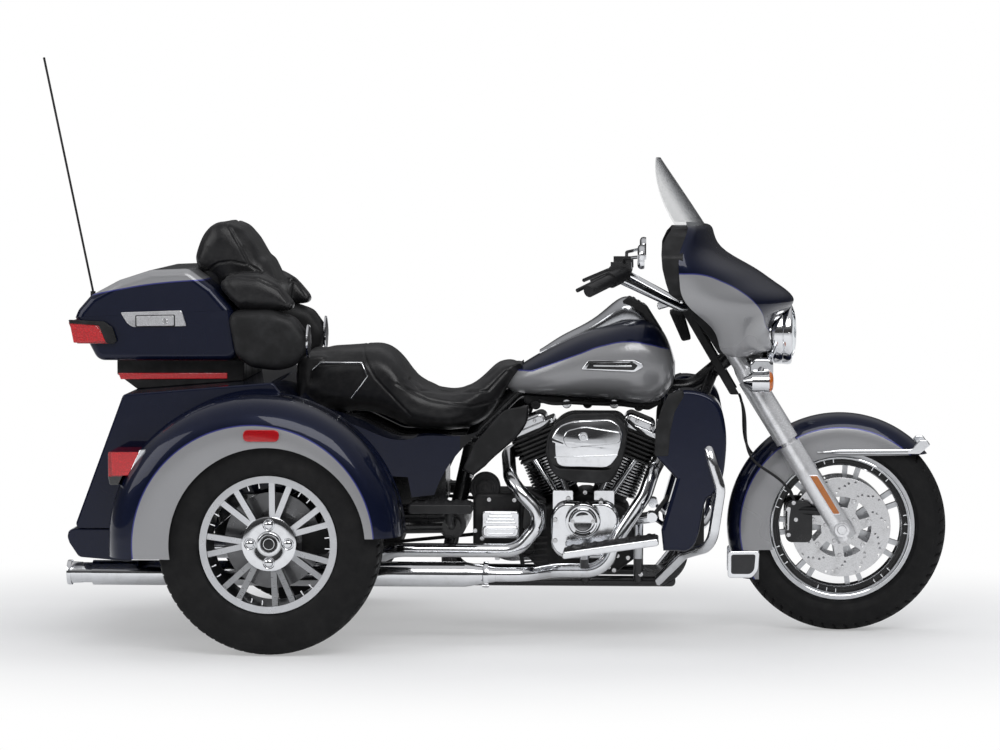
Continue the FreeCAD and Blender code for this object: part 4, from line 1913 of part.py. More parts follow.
def make_front_fender():
    def section(wall):
        half = [((FRONT_FENDER_HALF_W - wall) * out, (FRONT_FENDER_R - wall) * up)
                for out, up in FRONT_FENDER_SHARES]
        return [(-y, r) for y, r in reversed(half[1:])] + half
    outer = section(0)
    inner = section(FRONT_FENDER_WALL)
    runs = [outer, [outer[-1], inner[-1]], inner[::-1], [inner[0], outer[0]]]
    shell = turned_curve(runs, FRONT_AXLE.x, FRONT_AXLE.z)
    reach = FRONT_FENDER_R + OVERRUN
    lip_angle = math.pi * FENDER_SWEEP_SHARE
    mid = FRONT_AXLE + Vec(math.cos(lip_angle), 0, math.sin(lip_angle)) * FRONT_FENDER_LIP_R
    top = FRONT_AXLE + Vec(0, 0, FRONT_FENDER_LIP_R)
    tail_drop = FENDER_TAIL_IN_Z - FRONT_AXLE.z
    lip_back = FRONT_AXLE - Vec(math.sqrt(FRONT_FENDER_LIP_R ** 2 - tail_drop ** 2), 0, -tail_drop)
    edges = [
        Part.Arc(top, mid, lip_back).toShape(),
        run_edge([lip_back, Vec(FENDER_TAIL_IN_X, 0, FENDER_TAIL_IN_Z)]),
        run_edge([Vec(FENDER_TAIL_IN_X, 0, FENDER_TAIL_IN_Z),
                  Vec(FENDER_TAIL_IN_X, 0, FENDER_TAIL_LOW)]),
        run_edge([Vec(FENDER_TAIL_IN_X, 0, FENDER_TAIL_LOW),
                  Vec(FRONT_AXLE.x - reach, 0, FENDER_TAIL_LOW)]),
        run_edge([Vec(FRONT_AXLE.x - reach, 0, FENDER_TAIL_LOW),
                  Vec(FRONT_AXLE.x - reach, 0, FRONT_AXLE.z + reach)]),
        run_edge([Vec(FRONT_AXLE.x - reach, 0, FRONT_AXLE.z + reach),
                  Vec(FENDER_NOSE_X + OVERRUN, 0, FRONT_AXLE.z + reach)]),
        run_edge([Vec(FENDER_NOSE_X + OVERRUN, 0, FRONT_AXLE.z + reach),
                  Vec(FENDER_NOSE_X + OVERRUN, 0, FENDER_FLAT_Z)]),
        run_edge([Vec(FENDER_NOSE_X + OVERRUN, 0, FENDER_FLAT_Z), top]),
    ]
    keep = slab(Part.Wire(edges), -FRONT_FENDER_HALF_W - OVERRUN, FRONT_FENDER_HALF_W + OVERRUN)
    return shell.common(keep)


front_fender = make_front_fender()
ship("front_fender", max(front_fender.Solids, key=lambda solid: solid.Volume))

# Fork-mounted fairing, open at its lower back
FAIRING_WALL = 4.0
FAIRING_BACK_AHEAD = -492.0
FAIRING_BACK = WHEELBASE + FAIRING_BACK_AHEAD
FAIRING_NOSE_AHEAD = -144.0
FAIRING_NOSE = WHEELBASE + FAIRING_NOSE_AHEAD
FAIRING_LOW = 843.0
FAIRING_HIGH = 1232.0
FAIRING_HALF_W = 418.0
STAY_R = 9.0
STAY_Y = 150.0
FAIRING_PLAN_SHARES = [(0.16, 0.985), (0.42, 0.88), (0.68, 0.66), (0.88, 0.36)]
# Rows: height, back edge, nose, half width, all as shares of the fairing's size
FAIRING_SHARES = [
    (0.0, 0.45, 0.73, 0.56), (0.15, 0.33, 0.84, 0.72), (0.29, 0.22, 0.92, 0.86),
    (0.43, 0.06, 1.0, 0.97), (0.56, 0.01, 0.83, 1.0), (0.69, 0.0, 0.61, 1.0),
    (0.79, 0.005, 0.42, 0.97), (0.89, 0.04, 0.325, 0.91), (1.0, 0.07, 0.26, 0.78),
]
HEADLAMP_R = 98.0
HEADLAMP_Z = 905.0
HEADLAMP_BACK_AHEAD = -246.0
HEADLAMP_BACK = WHEELBASE + HEADLAMP_BACK_AHEAD
HEADLAMP_FRONT_AHEAD = -154.0
HEADLAMP_FRONT = WHEELBASE + HEADLAMP_FRONT_AHEAD
HEADLAMP_DOME = 22.0
HEADLAMP_GAP = 4.0
BOWL_SHARE = 0.45
RIM_SHARE = 0.93
DOME_SHARE = 0.6


def fairing_ring(row, wall, drop=0.0):
    height, back, nose, wide = row
    z = span(FAIRING_LOW, FAIRING_HIGH, height) - drop
    back_x = span(FAIRING_BACK, FAIRING_NOSE, back)
    nose_x = span(FAIRING_BACK, FAIRING_NOSE, nose) - wall
    half = FAIRING_HALF_W * wide - wall
    if wall:
        back_x -= OVERRUN
    side = [Vec(span(back_x, nose_x, along), half * out, z) for along, out in FAIRING_PLAN_SHARES]
    curve = [Vec(back_x, half, z)] + side + [Vec(nose_x, 0, z)]
    curve += [Vec(p.x, -p.y, z) for p in reversed(curve[:-1])]
    return Part.Wire([run_edge(curve), run_edge([curve[-1], curve[0]])])


def fairing_body(wall):
    rings = [fairing_ring(row, wall) for row in FAIRING_SHARES[:-1]]
    rings.append(fairing_ring(FAIRING_SHARES[-1], wall, wall))
    return Part.makeLoft(rings, True, False)


def make_fairing():
    outer = fairing_body(0)
    inner = fairing_body(FAIRING_WALL)
    lamp_hole = rod(Vec(HEADLAMP_BACK - OVERRUN, 0, HEADLAMP_Z),
                    Vec(FAIRING_NOSE + OVERRUN, 0, HEADLAMP_Z), HEADLAMP_R + HEADLAMP_GAP)
    notch = Part.makeBox(FAIRING_NOSE, 2 * (HEADLAMP_R - OVERRUN), HEADLAMP_Z - FAIRING_LOW + OVERRUN,
                         Vec(FAIRING_BACK, OVERRUN - HEADLAMP_R, FAIRING_LOW - OVERRUN))
    floor = fairing_body(FAIRING_WALL)
    floor.translate(Vec(0, 0, -FAIRING_WALL))
    shell = without(outer, inner, floor, lamp_hole, notch)
    return max(shell.Solids, key=lambda solid: solid.Volume)


def fairing_stay(side):
    """Rod from the upper clamp to the inner face of the fairing."""
    start = on_head(NECK_HIGH_Z + CLAMP_T / 2, side * FORK_HALF_GAP)
    stay = rod(start, Vec(FAIRING_NOSE, side * STAY_Y, start.z), STAY_R)
    outer = fairing_body(0)
    stay = stay.common(outer).cut(fairing)
    return max(stay.Solids, key=lambda solid: solid.Volume)


fairing = make_fairing()
fork = fused(fork, fairing_stay(-1), fairing_stay(1))
ship("fairing", fairing)
ship("fork", fork)

# Inner fairing: a tray that faces the rider, with round gauges
TRAY_BACK_AHEAD = -540.0
TRAY_BACK = WHEELBASE + TRAY_BACK_AHEAD
TRAY_FRONT_AHEAD = -493.0
TRAY_FRONT = WHEELBASE + TRAY_FRONT_AHEAD
TRAY_WALL = 4.0
TRAY_LOW = 1012.0
TRAY_HIGH = 1226.0
TRAY_SHARES = [(0.0, 1.0), (0.62, 0.99), (0.86, 0.90), (0.985, 0.62), (0.985, 0.30),
               (0.90, 0.06), (0.72, 0.0), (0.50, 0.10), (0.30, 0.24), (0.0, 0.26)]
GAUGE_R = 50.0
SMALL_GAUGE_R = 28.0
GAUGE_T = 14.0
GAUGE_Z_SHARE = 0.62
GAUGE_Y = 72.0
SMALL_GAUGE_Y = 172.0
SPEAKER_R = 56.0
SPEAKER_Y = 300.0
SPEAKER_Z_SHARE = 0.42


def tray_face(wall, x):
    half = []
    for out, up in TRAY_SHARES:
        y = (FAIRING_HALF_W - wall) * out
        half.append(Vec(x, y, span(TRAY_LOW + wall, TRAY_HIGH - wall, up)))
    points = half[1:-1] + [half[-1]] + [Vec(p.x, -p.y, p.z) for p in reversed(half[1:-1])]
    points = [p for p in points if p.y or p is half[-1]]
    return rounded(points, GAUGE_T * 2)


def disc_ahead(x, y, z, radius, length):
    return Part.makeCylinder(radius, length, Vec(x, y, z), Vec(1, 0, 0))


def make_inner_fairing():
    depth = TRAY_FRONT - TRAY_BACK
    solid = Part.Face(tray_face(0, TRAY_BACK)).extrude(Vec(depth, 0, 0))
    room = Part.Face(tray_face(TRAY_WALL, TRAY_BACK - OVERRUN)).extrude(
        Vec(depth + OVERRUN - TRAY_WALL, 0, 0))
    tray = solid.cut(room)
    gauges = []
    floor_x = TRAY_FRONT - TRAY_WALL - GAUGE_T
    z = span(TRAY_LOW, TRAY_HIGH, GAUGE_Z_SHARE)
    for y, radius in ((GAUGE_Y, GAUGE_R), (SMALL_GAUGE_Y, SMALL_GAUGE_R)):
        gauges += pair(disc_ahead(floor_x, y, z, radius, GAUGE_T + TRAY_WALL))
    speaker_z = span(TRAY_LOW, TRAY_HIGH, SPEAKER_Z_SHARE)
    gauges += pair(disc_ahead(floor_x, SPEAKER_Y, speaker_z, SPEAKER_R, GAUGE_T + TRAY_WALL))
    return without(fused(tray, *gauges), fairing)


inner_fairing = make_inner_fairing()
ship("inner_fairing", max(inner_fairing.Solids, key=lambda solid: solid.Volume))

# Windshield
SHIELD_LOW = 1232.3
SHIELD_HIGH = 1434.0
SHIELD_T = 3.0
SHIELD_HALF_W = 318.0
SHIELD_BACK_AHEAD = -562.0
SHIELD_BACK = WHEELBASE + SHIELD_BACK_AHEAD
SHIELD_FRONT_AHEAD = -412.0
SHIELD_FRONT = WHEELBASE + SHIELD_FRONT_AHEAD
# Rows: height, middle, side edge, half width
SHIELD_SHARES = [(0.0, 1.0, 0.42, 1.0), (0.45, 0.60, 0.12, 0.90), (0.80, 0.28, 0.02, 0.62),
                 (1.0, 0.10, 0.03, 0.34)]
SHIELD_PLAN_SHARES = [(0.0, 1.0), (0.50, 0.76), (0.86, 0.40)]


def shield_ring(row):
    height, mid, edge, wide = row
    z = span(SHIELD_LOW, SHIELD_HIGH, height)
    mid_x = span(SHIELD_BACK, SHIELD_FRONT, mid)
    edge_x = span(SHIELD_BACK, SHIELD_FRONT, edge)
    half = SHIELD_HALF_W * wide

    def curve(back):
        side = [Vec(span(edge_x, mid_x, along) - back, half * out, z)
                for along, out in SHIELD_PLAN_SHARES]
        whole = side + [Vec(mid_x - back, 0, z)]
        return whole + [Vec(p.x, -p.y, z) for p in reversed(side)]
    outer = curve(0)
    inner = curve(SHIELD_T)
    return Part.Wire([run_edge(outer), run_edge([outer[-1], inner[-1]]), run_edge(inner[::-1]),
                      run_edge([inner[0], outer[0]])])


ship("windshield", Part.makeLoft([shield_ring(row) for row in SHIELD_SHARES], True, False))

# Headlamp, light bar and turn signals
LIGHT_BAR_BACK_AHEAD = -278.0
LIGHT_BAR_BACK = WHEELBASE + LIGHT_BAR_BACK_AHEAD
LIGHT_BAR_FRONT_AHEAD = -208.0
LIGHT_BAR_FRONT = WHEELBASE + LIGHT_BAR_FRONT_AHEAD
LIGHT_BAR_LOW = 772.0
LIGHT_BAR_HIGH = 836.0
LIGHT_BAR_HALF_W = 168.0
LIGHT_BAR_CORNER = 20.0
SIGNAL_R = 31.0
SIGNAL_BACK_AHEAD = -298.0
SIGNAL_BACK = WHEELBASE + SIGNAL_BACK_AHEAD
SIGNAL_FRONT_AHEAD = -224.0
SIGNAL_FRONT = WHEELBASE + SIGNAL_FRONT_AHEAD
SIGNAL_LENS = 14.0
SIGNAL_LENS_SHARE = 0.8
SIGNAL_Y = 205.0
SIGNAL_Z = 768.0
SIGNAL_ARM_R = 9.0
SIGNAL_TAIL_SHARE = 0.35
BRACKET_HALF_W = 48.0


def make_headlamp():
    """Chromed bowl with a trim ring and a domed lens."""
    ring_x = span(HEADLAMP_BACK, HEADLAMP_FRONT, BOWL_SHARE)
    bowl = turned_ahead([
        (HEADLAMP_BACK + SEAT_GAP, 0), (HEADLAMP_BACK + SEAT_GAP, BRACKET_HALF_W),
        (ring_x, HEADLAMP_R * RIM_SHARE), (HEADLAMP_FRONT - HEADLAMP_DOME, HEADLAMP_R),
        (HEADLAMP_FRONT, HEADLAMP_R * RIM_SHARE),
        (HEADLAMP_FRONT + HEADLAMP_DOME * DOME_SHARE, HEADLAMP_R * DOME_SHARE),
        (HEADLAMP_FRONT + HEADLAMP_DOME, 0)], 0, HEADLAMP_Z)
    return bowl


def make_light_bar():
    """Chromed bar between the fork legs with a bracket up to the headlamp."""
    bar = soft_box(LIGHT_BAR_BACK, LIGHT_BAR_FRONT, LIGHT_BAR_LOW, LIGHT_BAR_HIGH,
                   -LIGHT_BAR_HALF_W, LIGHT_BAR_HALF_W, LIGHT_BAR_CORNER, LIGHT_BAR_CORNER / 2)
    bracket = Part.makeBox(HEADLAMP_BACK - LIGHT_BAR_BACK, 2 * BRACKET_HALF_W,
                           HEADLAMP_Z + BRACKET_HALF_W - LIGHT_BAR_LOW - LIGHT_BAR_CORNER,
                           Vec(LIGHT_BAR_BACK, -BRACKET_HALF_W, LIGHT_BAR_LOW + LIGHT_BAR_CORNER))
    neck_room = rod(on_head(NECK_LOW_Z - OVERRUN), on_head(NECK_HIGH_Z + OVERRUN),
                    NECK_R + DOOR_GAP)
    whole = without(fused(bar, bracket), fork, neck_room, make_headlamp())
    return max(whole.Solids, key=lambda solid: solid.Volume)


def make_signal():
    """Left turn signal: a bullet with a short arm to the light bar."""
    tail = SIGNAL_R * SIGNAL_TAIL_SHARE
    shoulder = span(SIGNAL_BACK, SIGNAL_FRONT, SIGNAL_TAIL_SHARE)
    bullet = turned_ahead([(SIGNAL_BACK, 0), (SIGNAL_BACK, tail), (shoulder, SIGNAL_R),
                           (SIGNAL_FRONT, SIGNAL_R),
                           (SIGNAL_FRONT + SIGNAL_LENS * DOME_SHARE, SIGNAL_R * SIGNAL_LENS_SHARE),
                           (SIGNAL_FRONT + SIGNAL_LENS, 0)], SIGNAL_Y, SIGNAL_Z)
    arm = rod(Vec(middle(SIGNAL_BACK, SIGNAL_FRONT), SIGNAL_Y, SIGNAL_Z),
              Vec(middle(LIGHT_BAR_BACK, LIGHT_BAR_FRONT), LIGHT_BAR_HALF_W,
                  middle(LIGHT_BAR_LOW, LIGHT_BAR_HIGH)), SIGNAL_ARM_R)
    whole = without(fused(bullet, arm), light_bar, fork)
    return max(whole.Solids, key=lambda solid: solid.Volume)


light_bar = make_light_bar()
ship("headlamp", make_headlamp())
ship("light_bar", light_bar, *pair(make_signal()))

# Handlebar, grips with their controls, mirrors
BAR_R = 12.7
BAR_BEND = 60.0
RISER_R = 15.0
RISER_Y = 52.0
BAR_Z = 992.0
BAR_FRONT_AHEAD = -404.0
BAR_AHEAD_X = WHEELBASE + BAR_FRONT_AHEAD
BAR_KNEE_Y = 92.0
BAR_DIP_AHEAD = -482.0
BAR_DIP_X = WHEELBASE + BAR_DIP_AHEAD
BAR_DIP_Y = 152.0
BAR_DIP_Z = 984.0
GRIP_IN_AHEAD = -675.0
GRIP_IN_X = WHEELBASE + GRIP_IN_AHEAD
GRIP_IN_Y = 318.0
GRIP_IN_Z = 1081.0
GRIP_END_AHEAD = -751.0
GRIP_END_X = WHEELBASE + GRIP_END_AHEAD
GRIP_END_Y = 422.0
GRIP_END_Z = 1046.0
GRIP_R = 17.5
GRIP_SHARE = 0.78
SWITCH_R = 23.0
SWITCH_SHARE = 0.30
MASTER_L = 62.0
MASTER_W = 36.0
MASTER_H = 34.0
LEVER_R = 6.0
LEVER_REACH = 46.0
MIRROR_Y = 430.0
MIRROR_Z = 1146.0
MIRROR_AHEAD = -612.0
MIRROR_X = WHEELBASE + MIRROR_AHEAD
MIRROR_T = 20.0
MIRROR_HALF_Y = 66.0
MIRROR_HALF_Z = 36.0
MIRROR_STEM_R = 5.0
MIRROR_SHARES = [(0.0, 0.72), (0.5, 1.0), (1.0, 0.96)]


def grip_point(share, side):
    """Point along the grip, from its inner end to its outer end."""
    return Vec(span(GRIP_IN_X, GRIP_END_X, share), side * span(GRIP_IN_Y, GRIP_END_Y, share),
               span(GRIP_IN_Z, GRIP_END_Z, share))


def make_handlebar():
    def side_points(side):
        return [grip_point(1 - GRIP_SHARE, side), Vec(GRIP_IN_X, side * GRIP_IN_Y, GRIP_IN_Z),
                Vec(BAR_DIP_X, side * BAR_DIP_Y, BAR_DIP_Z),
                Vec(BAR_AHEAD_X, side * BAR_KNEE_Y, BAR_Z)]
    left = side_points(1)
    right = side_points(-1)
    end_left = grip_point(1, 1)
    end_right = grip_point(1, -1)
    path = [end_left] + left[1:] + list(reversed(right[1:])) + [end_right]
    bar = tube(path, BAR_R, BAR_BEND)
    risers = []
    for side in (-1, 1):
        top = Vec(BAR_AHEAD_X, side * RISER_Y, BAR_Z)
        foot = on_head(NECK_HIGH_Z + CLAMP_T, side * RISER_Y)
        risers.append(rod(top, foot, RISER_R))
    return without(fused(bar, *risers), fork)


def make_controls():
    """Left hand: rubber grip, switch housing, fluid box and lever in one piece."""
    start = grip_point(1 - GRIP_SHARE, 1)
    end = grip_point(1, 1)
    run = end - grip_point(0, 1)
    run.normalize()
    grip = rod(start, end + run * BAR_R / 2, GRIP_R)
    housing_in = grip_point(-SWITCH_SHARE, 1)
    housing = rod(housing_in, start, SWITCH_R)
    ahead = run.cross(Vec(0, 0, 1)) * -1
    ahead.normalize()
    box = Part.makeBox(MASTER_L, MASTER_W, MASTER_H,
                       housing_in + ahead * (SWITCH_R / 2) - Vec(MASTER_L / 2, MASTER_W / 2, 0))
    pivot = grip_point(-SWITCH_SHARE / 2, 1) + ahead * LEVER_REACH
    lever = tube([grip_point(-SWITCH_SHARE / 2, 1), pivot, end + ahead * LEVER_REACH], LEVER_R,
                 LEVER_REACH / 2)
    whole = fused(grip, housing, box, lever)
    return whole


def make_mirror():
    """Left mirror head on a bent stem from the fluid box."""
    rings = []
    for x, share in MIRROR_SHARES:
        rings.append(mirror_ring(MIRROR_X + MIRROR_T * x, share))
    head = Part.makeLoft(rings, True, False)
    foot = grip_point(-SWITCH_SHARE, 1) + Vec(0, 0, MASTER_H - MIRROR_STEM_R)
    stem = tube([foot, foot + Vec(0, MASTER_W, MASTER_H / 2),
                 Vec(MIRROR_X + MIRROR_T / 2, MIRROR_Y, MIRROR_Z)], MIRROR_STEM_R, MASTER_W / 2)
    return fused(head, stem)


def mirror_ring(x, share):
    ring = ring_across(x, MIRROR_HALF_Y * share, MIRROR_Z - MIRROR_HALF_Z * share,
                       MIRROR_Z + MIRROR_HALF_Z * share, SQUARE_SECTION_SHARE)
    ring.translate(Vec(0, MIRROR_Y, 0))
    return ring


handlebar = without(make_handlebar(), inner_fairing, fairing)
controls = [without(piece, handlebar, inner_fairing) for piece in pair(make_controls())]
mirrors = [without(piece, *controls, handlebar) for piece in pair(make_mirror())]
ship("handlebar", max(handlebar.Solids, key=lambda solid: solid.Volume))
ship("hand_controls", *[max(piece.Solids, key=lambda solid: solid.Volume)
                        for piece in controls + mirrors])
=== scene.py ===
import json
import math

import bmesh
import bpy
from mathutils import Matrix, Vector
from mathutils.bvhtree import BVHTree

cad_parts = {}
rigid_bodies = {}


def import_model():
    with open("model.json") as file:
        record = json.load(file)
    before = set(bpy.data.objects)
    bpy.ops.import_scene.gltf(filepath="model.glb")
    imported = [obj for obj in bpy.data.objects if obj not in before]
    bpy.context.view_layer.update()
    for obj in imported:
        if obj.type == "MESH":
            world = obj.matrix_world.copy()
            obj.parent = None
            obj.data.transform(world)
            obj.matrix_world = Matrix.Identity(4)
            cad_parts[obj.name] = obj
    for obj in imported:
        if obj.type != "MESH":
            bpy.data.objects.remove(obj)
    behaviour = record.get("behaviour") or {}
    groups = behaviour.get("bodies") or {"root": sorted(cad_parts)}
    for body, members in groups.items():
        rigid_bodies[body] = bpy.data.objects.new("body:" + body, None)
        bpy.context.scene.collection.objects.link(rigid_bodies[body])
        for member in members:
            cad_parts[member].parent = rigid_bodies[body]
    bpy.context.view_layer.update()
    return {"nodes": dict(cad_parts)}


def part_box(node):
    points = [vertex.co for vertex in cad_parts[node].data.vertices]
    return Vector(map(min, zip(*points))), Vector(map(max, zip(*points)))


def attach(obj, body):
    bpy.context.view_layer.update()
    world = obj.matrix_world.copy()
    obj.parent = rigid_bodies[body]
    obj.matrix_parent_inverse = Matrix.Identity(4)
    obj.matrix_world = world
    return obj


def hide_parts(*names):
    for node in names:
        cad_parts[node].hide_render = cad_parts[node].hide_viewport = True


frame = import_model()

# Places in the frame, in metres. Side views were read with x counted from the rear axle.
REAR_AXLE_X = (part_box("rear_tyre_left")[0].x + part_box("rear_tyre_left")[1].x) / 2
FRONT_AXLE_X = (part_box("front_tyre")[0].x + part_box("front_tyre")[1].x) / 2
REAR_TYRE_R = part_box("rear_tyre_left")[1].z / 2
FRONT_TYRE_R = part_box("front_tyre")[1].z / 2


def at(x, y, z):
    """Point from millimetres that count x from the rear axle."""
    return Vector((REAR_AXLE_X + x / 1000, y / 1000, z / 1000))


SIDES = ((-1, "right"), (1, "left"))

# Linear colours
BLUE = (0.0035, 0.0055, 0.018)
SILVER = (0.285, 0.285, 0.292)
STRIPE = (0.05, 0.055, 0.22)
BLACK = (0.008, 0.008, 0.009)
CHROME = (0.82, 0.83, 0.85)
ALLOY = (0.55, 0.56, 0.58)
RUBBER = (0.006, 0.006, 0.0065)
LEATHER = (0.006, 0.006, 0.007)
RED = (0.62, 0.006, 0.012)
AMBER = (0.85, 0.20, 0.01)


class Graph:
    """Helpers that add nodes to a node tree."""

    def __init__(self, tree):
        self.tree = tree

    def add(self, kind, **settings):
        made = self.tree.nodes.new(kind)
        for key, value in settings.items():
            setattr(made, key, value)
        return made

    def feed(self, socket, value):
        if isinstance(value, bpy.types.NodeSocket):
            self.tree.links.new(value, socket)
        elif isinstance(value, tuple) and len(value) == 3 and socket.type == "RGBA":
            socket.default_value = (*value, 1)
        else:
            socket.default_value = value

    def math(self, operation, *values):
        made = self.add("ShaderNodeMath", operation=operation)
        for socket, value in zip(made.inputs, values):
            self.feed(socket, value)
        return made.outputs[0]

    def length(self, first, second):
        squares = [self.math("MULTIPLY", value, value) for value in (first, second)]
        return self.math("SQRT", self.math("ADD", *squares))

    def mix(self, share, first, second):
        """Mix of two shaders."""
        made = self.add("ShaderNodeMixShader")
        for socket, value in zip(made.inputs, (share, first, second)):
            self.feed(socket, value)
        return made.outputs[0]


class Look(Graph):
    """A node material with a Principled shader."""

    def __init__(self, name, color, metallic, rough):
        self.mat = bpy.data.materials.new(name)
        self.mat.use_nodes = True
        super().__init__(self.mat.node_tree)
        self.shader = self.tree.nodes["Principled BSDF"]
        self.put("Base Color", (*color, 1))
        self.put("Metallic", metallic)
        self.put("Roughness", rough)
        self.place = self.add("ShaderNodeTexCoord").outputs["Object"]

    def put(self, socket, value):
        self.shader.inputs[socket].default_value = value

    def share_of(self, value, scale):
        return self.math("MULTIPLY", value, scale)

    def blend(self, share, first, second):
        made = self.add("ShaderNodeMix", data_type="RGBA")
        self.feed(made.inputs["Factor"], share)
        self.feed(made.inputs[6], first)
        self.feed(made.inputs[7], second)
        return made.outputs[2]

    def rise(self, value, low, high, out_low=0.0, out_high=1.0):
        """Smooth step from one value to another."""
        made = self.add("ShaderNodeMapRange", interpolation_type="SMOOTHSTEP")
        for socket, number in zip(made.inputs, (value, low, high, out_low, out_high)):
            self.feed(socket, number)
        return made.outputs[0]

    def noise(self, scale, detail=4.0, rough=0.5, stretch=None):
        made = self.add("ShaderNodeTexNoise")
        made.inputs["Scale"].default_value = scale
        made.inputs["Detail"].default_value = detail
        made.inputs["Roughness"].default_value = rough
        source = self.place
        if stretch:
            mapping = self.add("ShaderNodeMapping")
            mapping.inputs["Scale"].default_value = stretch
            self.feed(mapping.inputs["Vector"], self.place)
            source = mapping.outputs[0]
        self.feed(made.inputs["Vector"], source)
        return made.outputs["Fac"]

    def grime(self, scale, low, high, share=1.0, rough=0.6):
        """Patches of dust, as strong as the share says."""
        patches = self.rise(self.noise(scale, 6.0, rough), low, high)
        return self.math("MULTIPLY", patches, share)

    def cells(self, scale):
        made = self.add("ShaderNodeTexVoronoi")
        made.inputs["Scale"].default_value = scale
        self.feed(made.inputs["Vector"], self.place)
        return made.outputs["Distance"]

    def axes(self):
        parts = self.add("ShaderNodeSeparateXYZ")
        self.feed(parts.inputs[0], self.place)
        return parts.outputs

    def line_height(self, points):
        """Height above a curve through (x, z) points given in millimetres from the rear axle."""
        low_x, high_x = points[0][0], points[-1][0]
        low_z = min(z for _, z in points)
        high_z = max(z for _, z in points)
        axes = self.axes()
        share = self.add("ShaderNodeMapRange")
        ends = [REAR_AXLE_X + x / 1000 for x in (low_x, high_x)]
        for socket, value in zip(share.inputs, (axes[0], *ends)):
            self.feed(socket, value)
        curve = self.add("ShaderNodeFloatCurve")
        line = curve.mapping.curves[0]
        shares = [((x - low_x) / (high_x - low_x), (z - low_z) / (high_z - low_z))
                  for x, z in points]
        while len(line.points) < len(shares):
            line.points.new(0.5, 0.5)
        for point, (x, z) in zip(line.points, shares):
            point.location = (x, z)
        curve.mapping.update()
        self.feed(curve.inputs["Value"], share.outputs[0])
        size = (high_z - low_z) / 1000
        level = self.math("MULTIPLY_ADD", curve.outputs[0], size, low_z / 1000)
        return self.math("SUBTRACT", axes[2], level)

    def offset(self, x, z):
        """Side-view offsets from a point in millimetres from the rear axle."""
        axes = self.axes()
        return (self.math("SUBTRACT", axes[0], REAR_AXLE_X + x / 1000),
                self.math("SUBTRACT", axes[2], z / 1000))

    def distance(self, x, z):
        return self.length(*self.offset(x, z))

    def bump(self, height, strength, reach=0.001):
        made = self.add("ShaderNodeBump")
        made.inputs["Strength"].default_value = strength
        made.inputs["Distance"].default_value = reach
        self.feed(made.inputs["Height"], height)
        self.feed(self.shader.inputs["Normal"], made.outputs[0])

    def color(self, value):
        self.feed(self.shader.inputs["Base Color"], value)

    def rough(self, value):
        self.feed(self.shader.inputs["Roughness"], value)

    def metallic(self, value):
        self.feed(self.shader.inputs["Metallic"], value)

    def coat(self, weight=1.0, rough=0.03):
        self.put("Coat Weight", weight)
        self.put("Coat Roughness", rough)


def gloss_paint(name, tone=None, second=None):
    """Metallic two-tone paint under clear coat. tone makes the (second share, stripe share)."""
    look = Look(name, BLUE, 0.35, 0.3)
    flake = look.rise(look.noise(2600, 1.0), 0.35, 0.7)
    cloud = look.noise(3.0, 2.0)
    blue = look.blend(flake, BLUE, tuple(c * 1.7 for c in BLUE))
    second = second or SILVER
    other = look.blend(flake, second, tuple(min(1, c * 1.2) for c in second))
    color = blue
    if tone:
        share, stripe_share = tone(look)
        color = look.blend(share, blue, other)
        color = look.blend(stripe_share, color, STRIPE)
    look.color(look.blend(look.grime(17.0, 0.45, 0.9, 0.012), color, (0.30, 0.29, 0.28)))
    look.rough(look.rise(cloud, 0.2, 0.8, 0.24, 0.36))
    look.coat(1.0, 0.03)
    look.put("Coat IOR", 1.33)
    look.put("Specular IOR Level", 0.08)
    look.bump(look.noise(420, 2.0), 0.03, 0.0005)
    return look.mat


def chrome(name, tint=CHROME, rough=0.05):
    look = Look(name, tint, 1.0, rough)
    smear = look.noise(9.0, 4.0)
    dirt = look.rise(look.noise(38.0, 6.0, 0.6), 0.45, 0.85)
    look.color(look.blend(look.share_of(dirt, 0.28), tint, (0.42, 0.41, 0.40)))
    look.rough(look.math("ADD", look.rise(smear, 0.3, 0.8, rough, rough + 0.10),
                         look.share_of(dirt, 0.05)))
    look.bump(look.noise(60, 2.0), 0.02, 0.001)
    return look.mat


def coated(name, color, metallic, dust, dirt, rough, level, bump):
    """Plain black goods: colour under dust, uneven gloss and a fine grain."""
    scale, detail, low, high = rough
    look = Look(name, color, metallic, high)
    look.color(look.blend(look.grime(*dust), color, dirt))
    look.rough(look.rise(look.noise(scale, detail), 0.3, 0.8, low, high))
    look.put("Specular IOR Level", level)
    pattern, grain, strength, reach = bump
    height = look.cells(grain) if pattern == "cells" else look.noise(grain, pattern)
    look.bump(height, strength, reach)
    return look.mat


def alloy(name, color=ALLOY, rough=0.24, brush=(1, 1, 40), metal=1.0):
    look = Look(name, color, metal, rough)
    grain = look.noise(120.0, 3.0, 0.6, brush)
    look.color(look.blend(look.grime(24.0, 0.5, 0.85, 0.45, 0.62), color, (0.12, 0.115, 0.11)))
    look.rough(look.rise(grain, 0.3, 0.8, rough - 0.06, rough + 0.12))
    look.bump(grain, 0.06, 0.0005)
    return look.mat


def rubber(name, color=RUBBER):
    return coated(name, color, 0.0, (17.0, 0.35, 0.85, 0.3, 0.62), (0.026, 0.025, 0.024),
                  (40.0, 3.0, 0.54, 0.74), 0.2, (3.0, 700, 0.16, 0.0006))


def leather(name):
    look = Look(name, LEATHER, 0.0, 0.42)
    pores = look.cells(520)
    folds = look.noise(55, 5.0, 0.6)
    look.color(look.blend(look.rise(folds, 0.3, 0.8), LEATHER, (0.016, 0.0155, 0.016)))
    look.rough(look.rise(look.noise(11.0, 4.0), 0.3, 0.8, 0.28, 0.44))
    look.put("Specular IOR Level", 0.35)
    look.put("Sheen Weight", 0.03)
    look.bump(look.math("ADD", look.share_of(pores, 0.6),
                        look.share_of(folds, 0.6)), 0.30, 0.0008)
    return look.mat


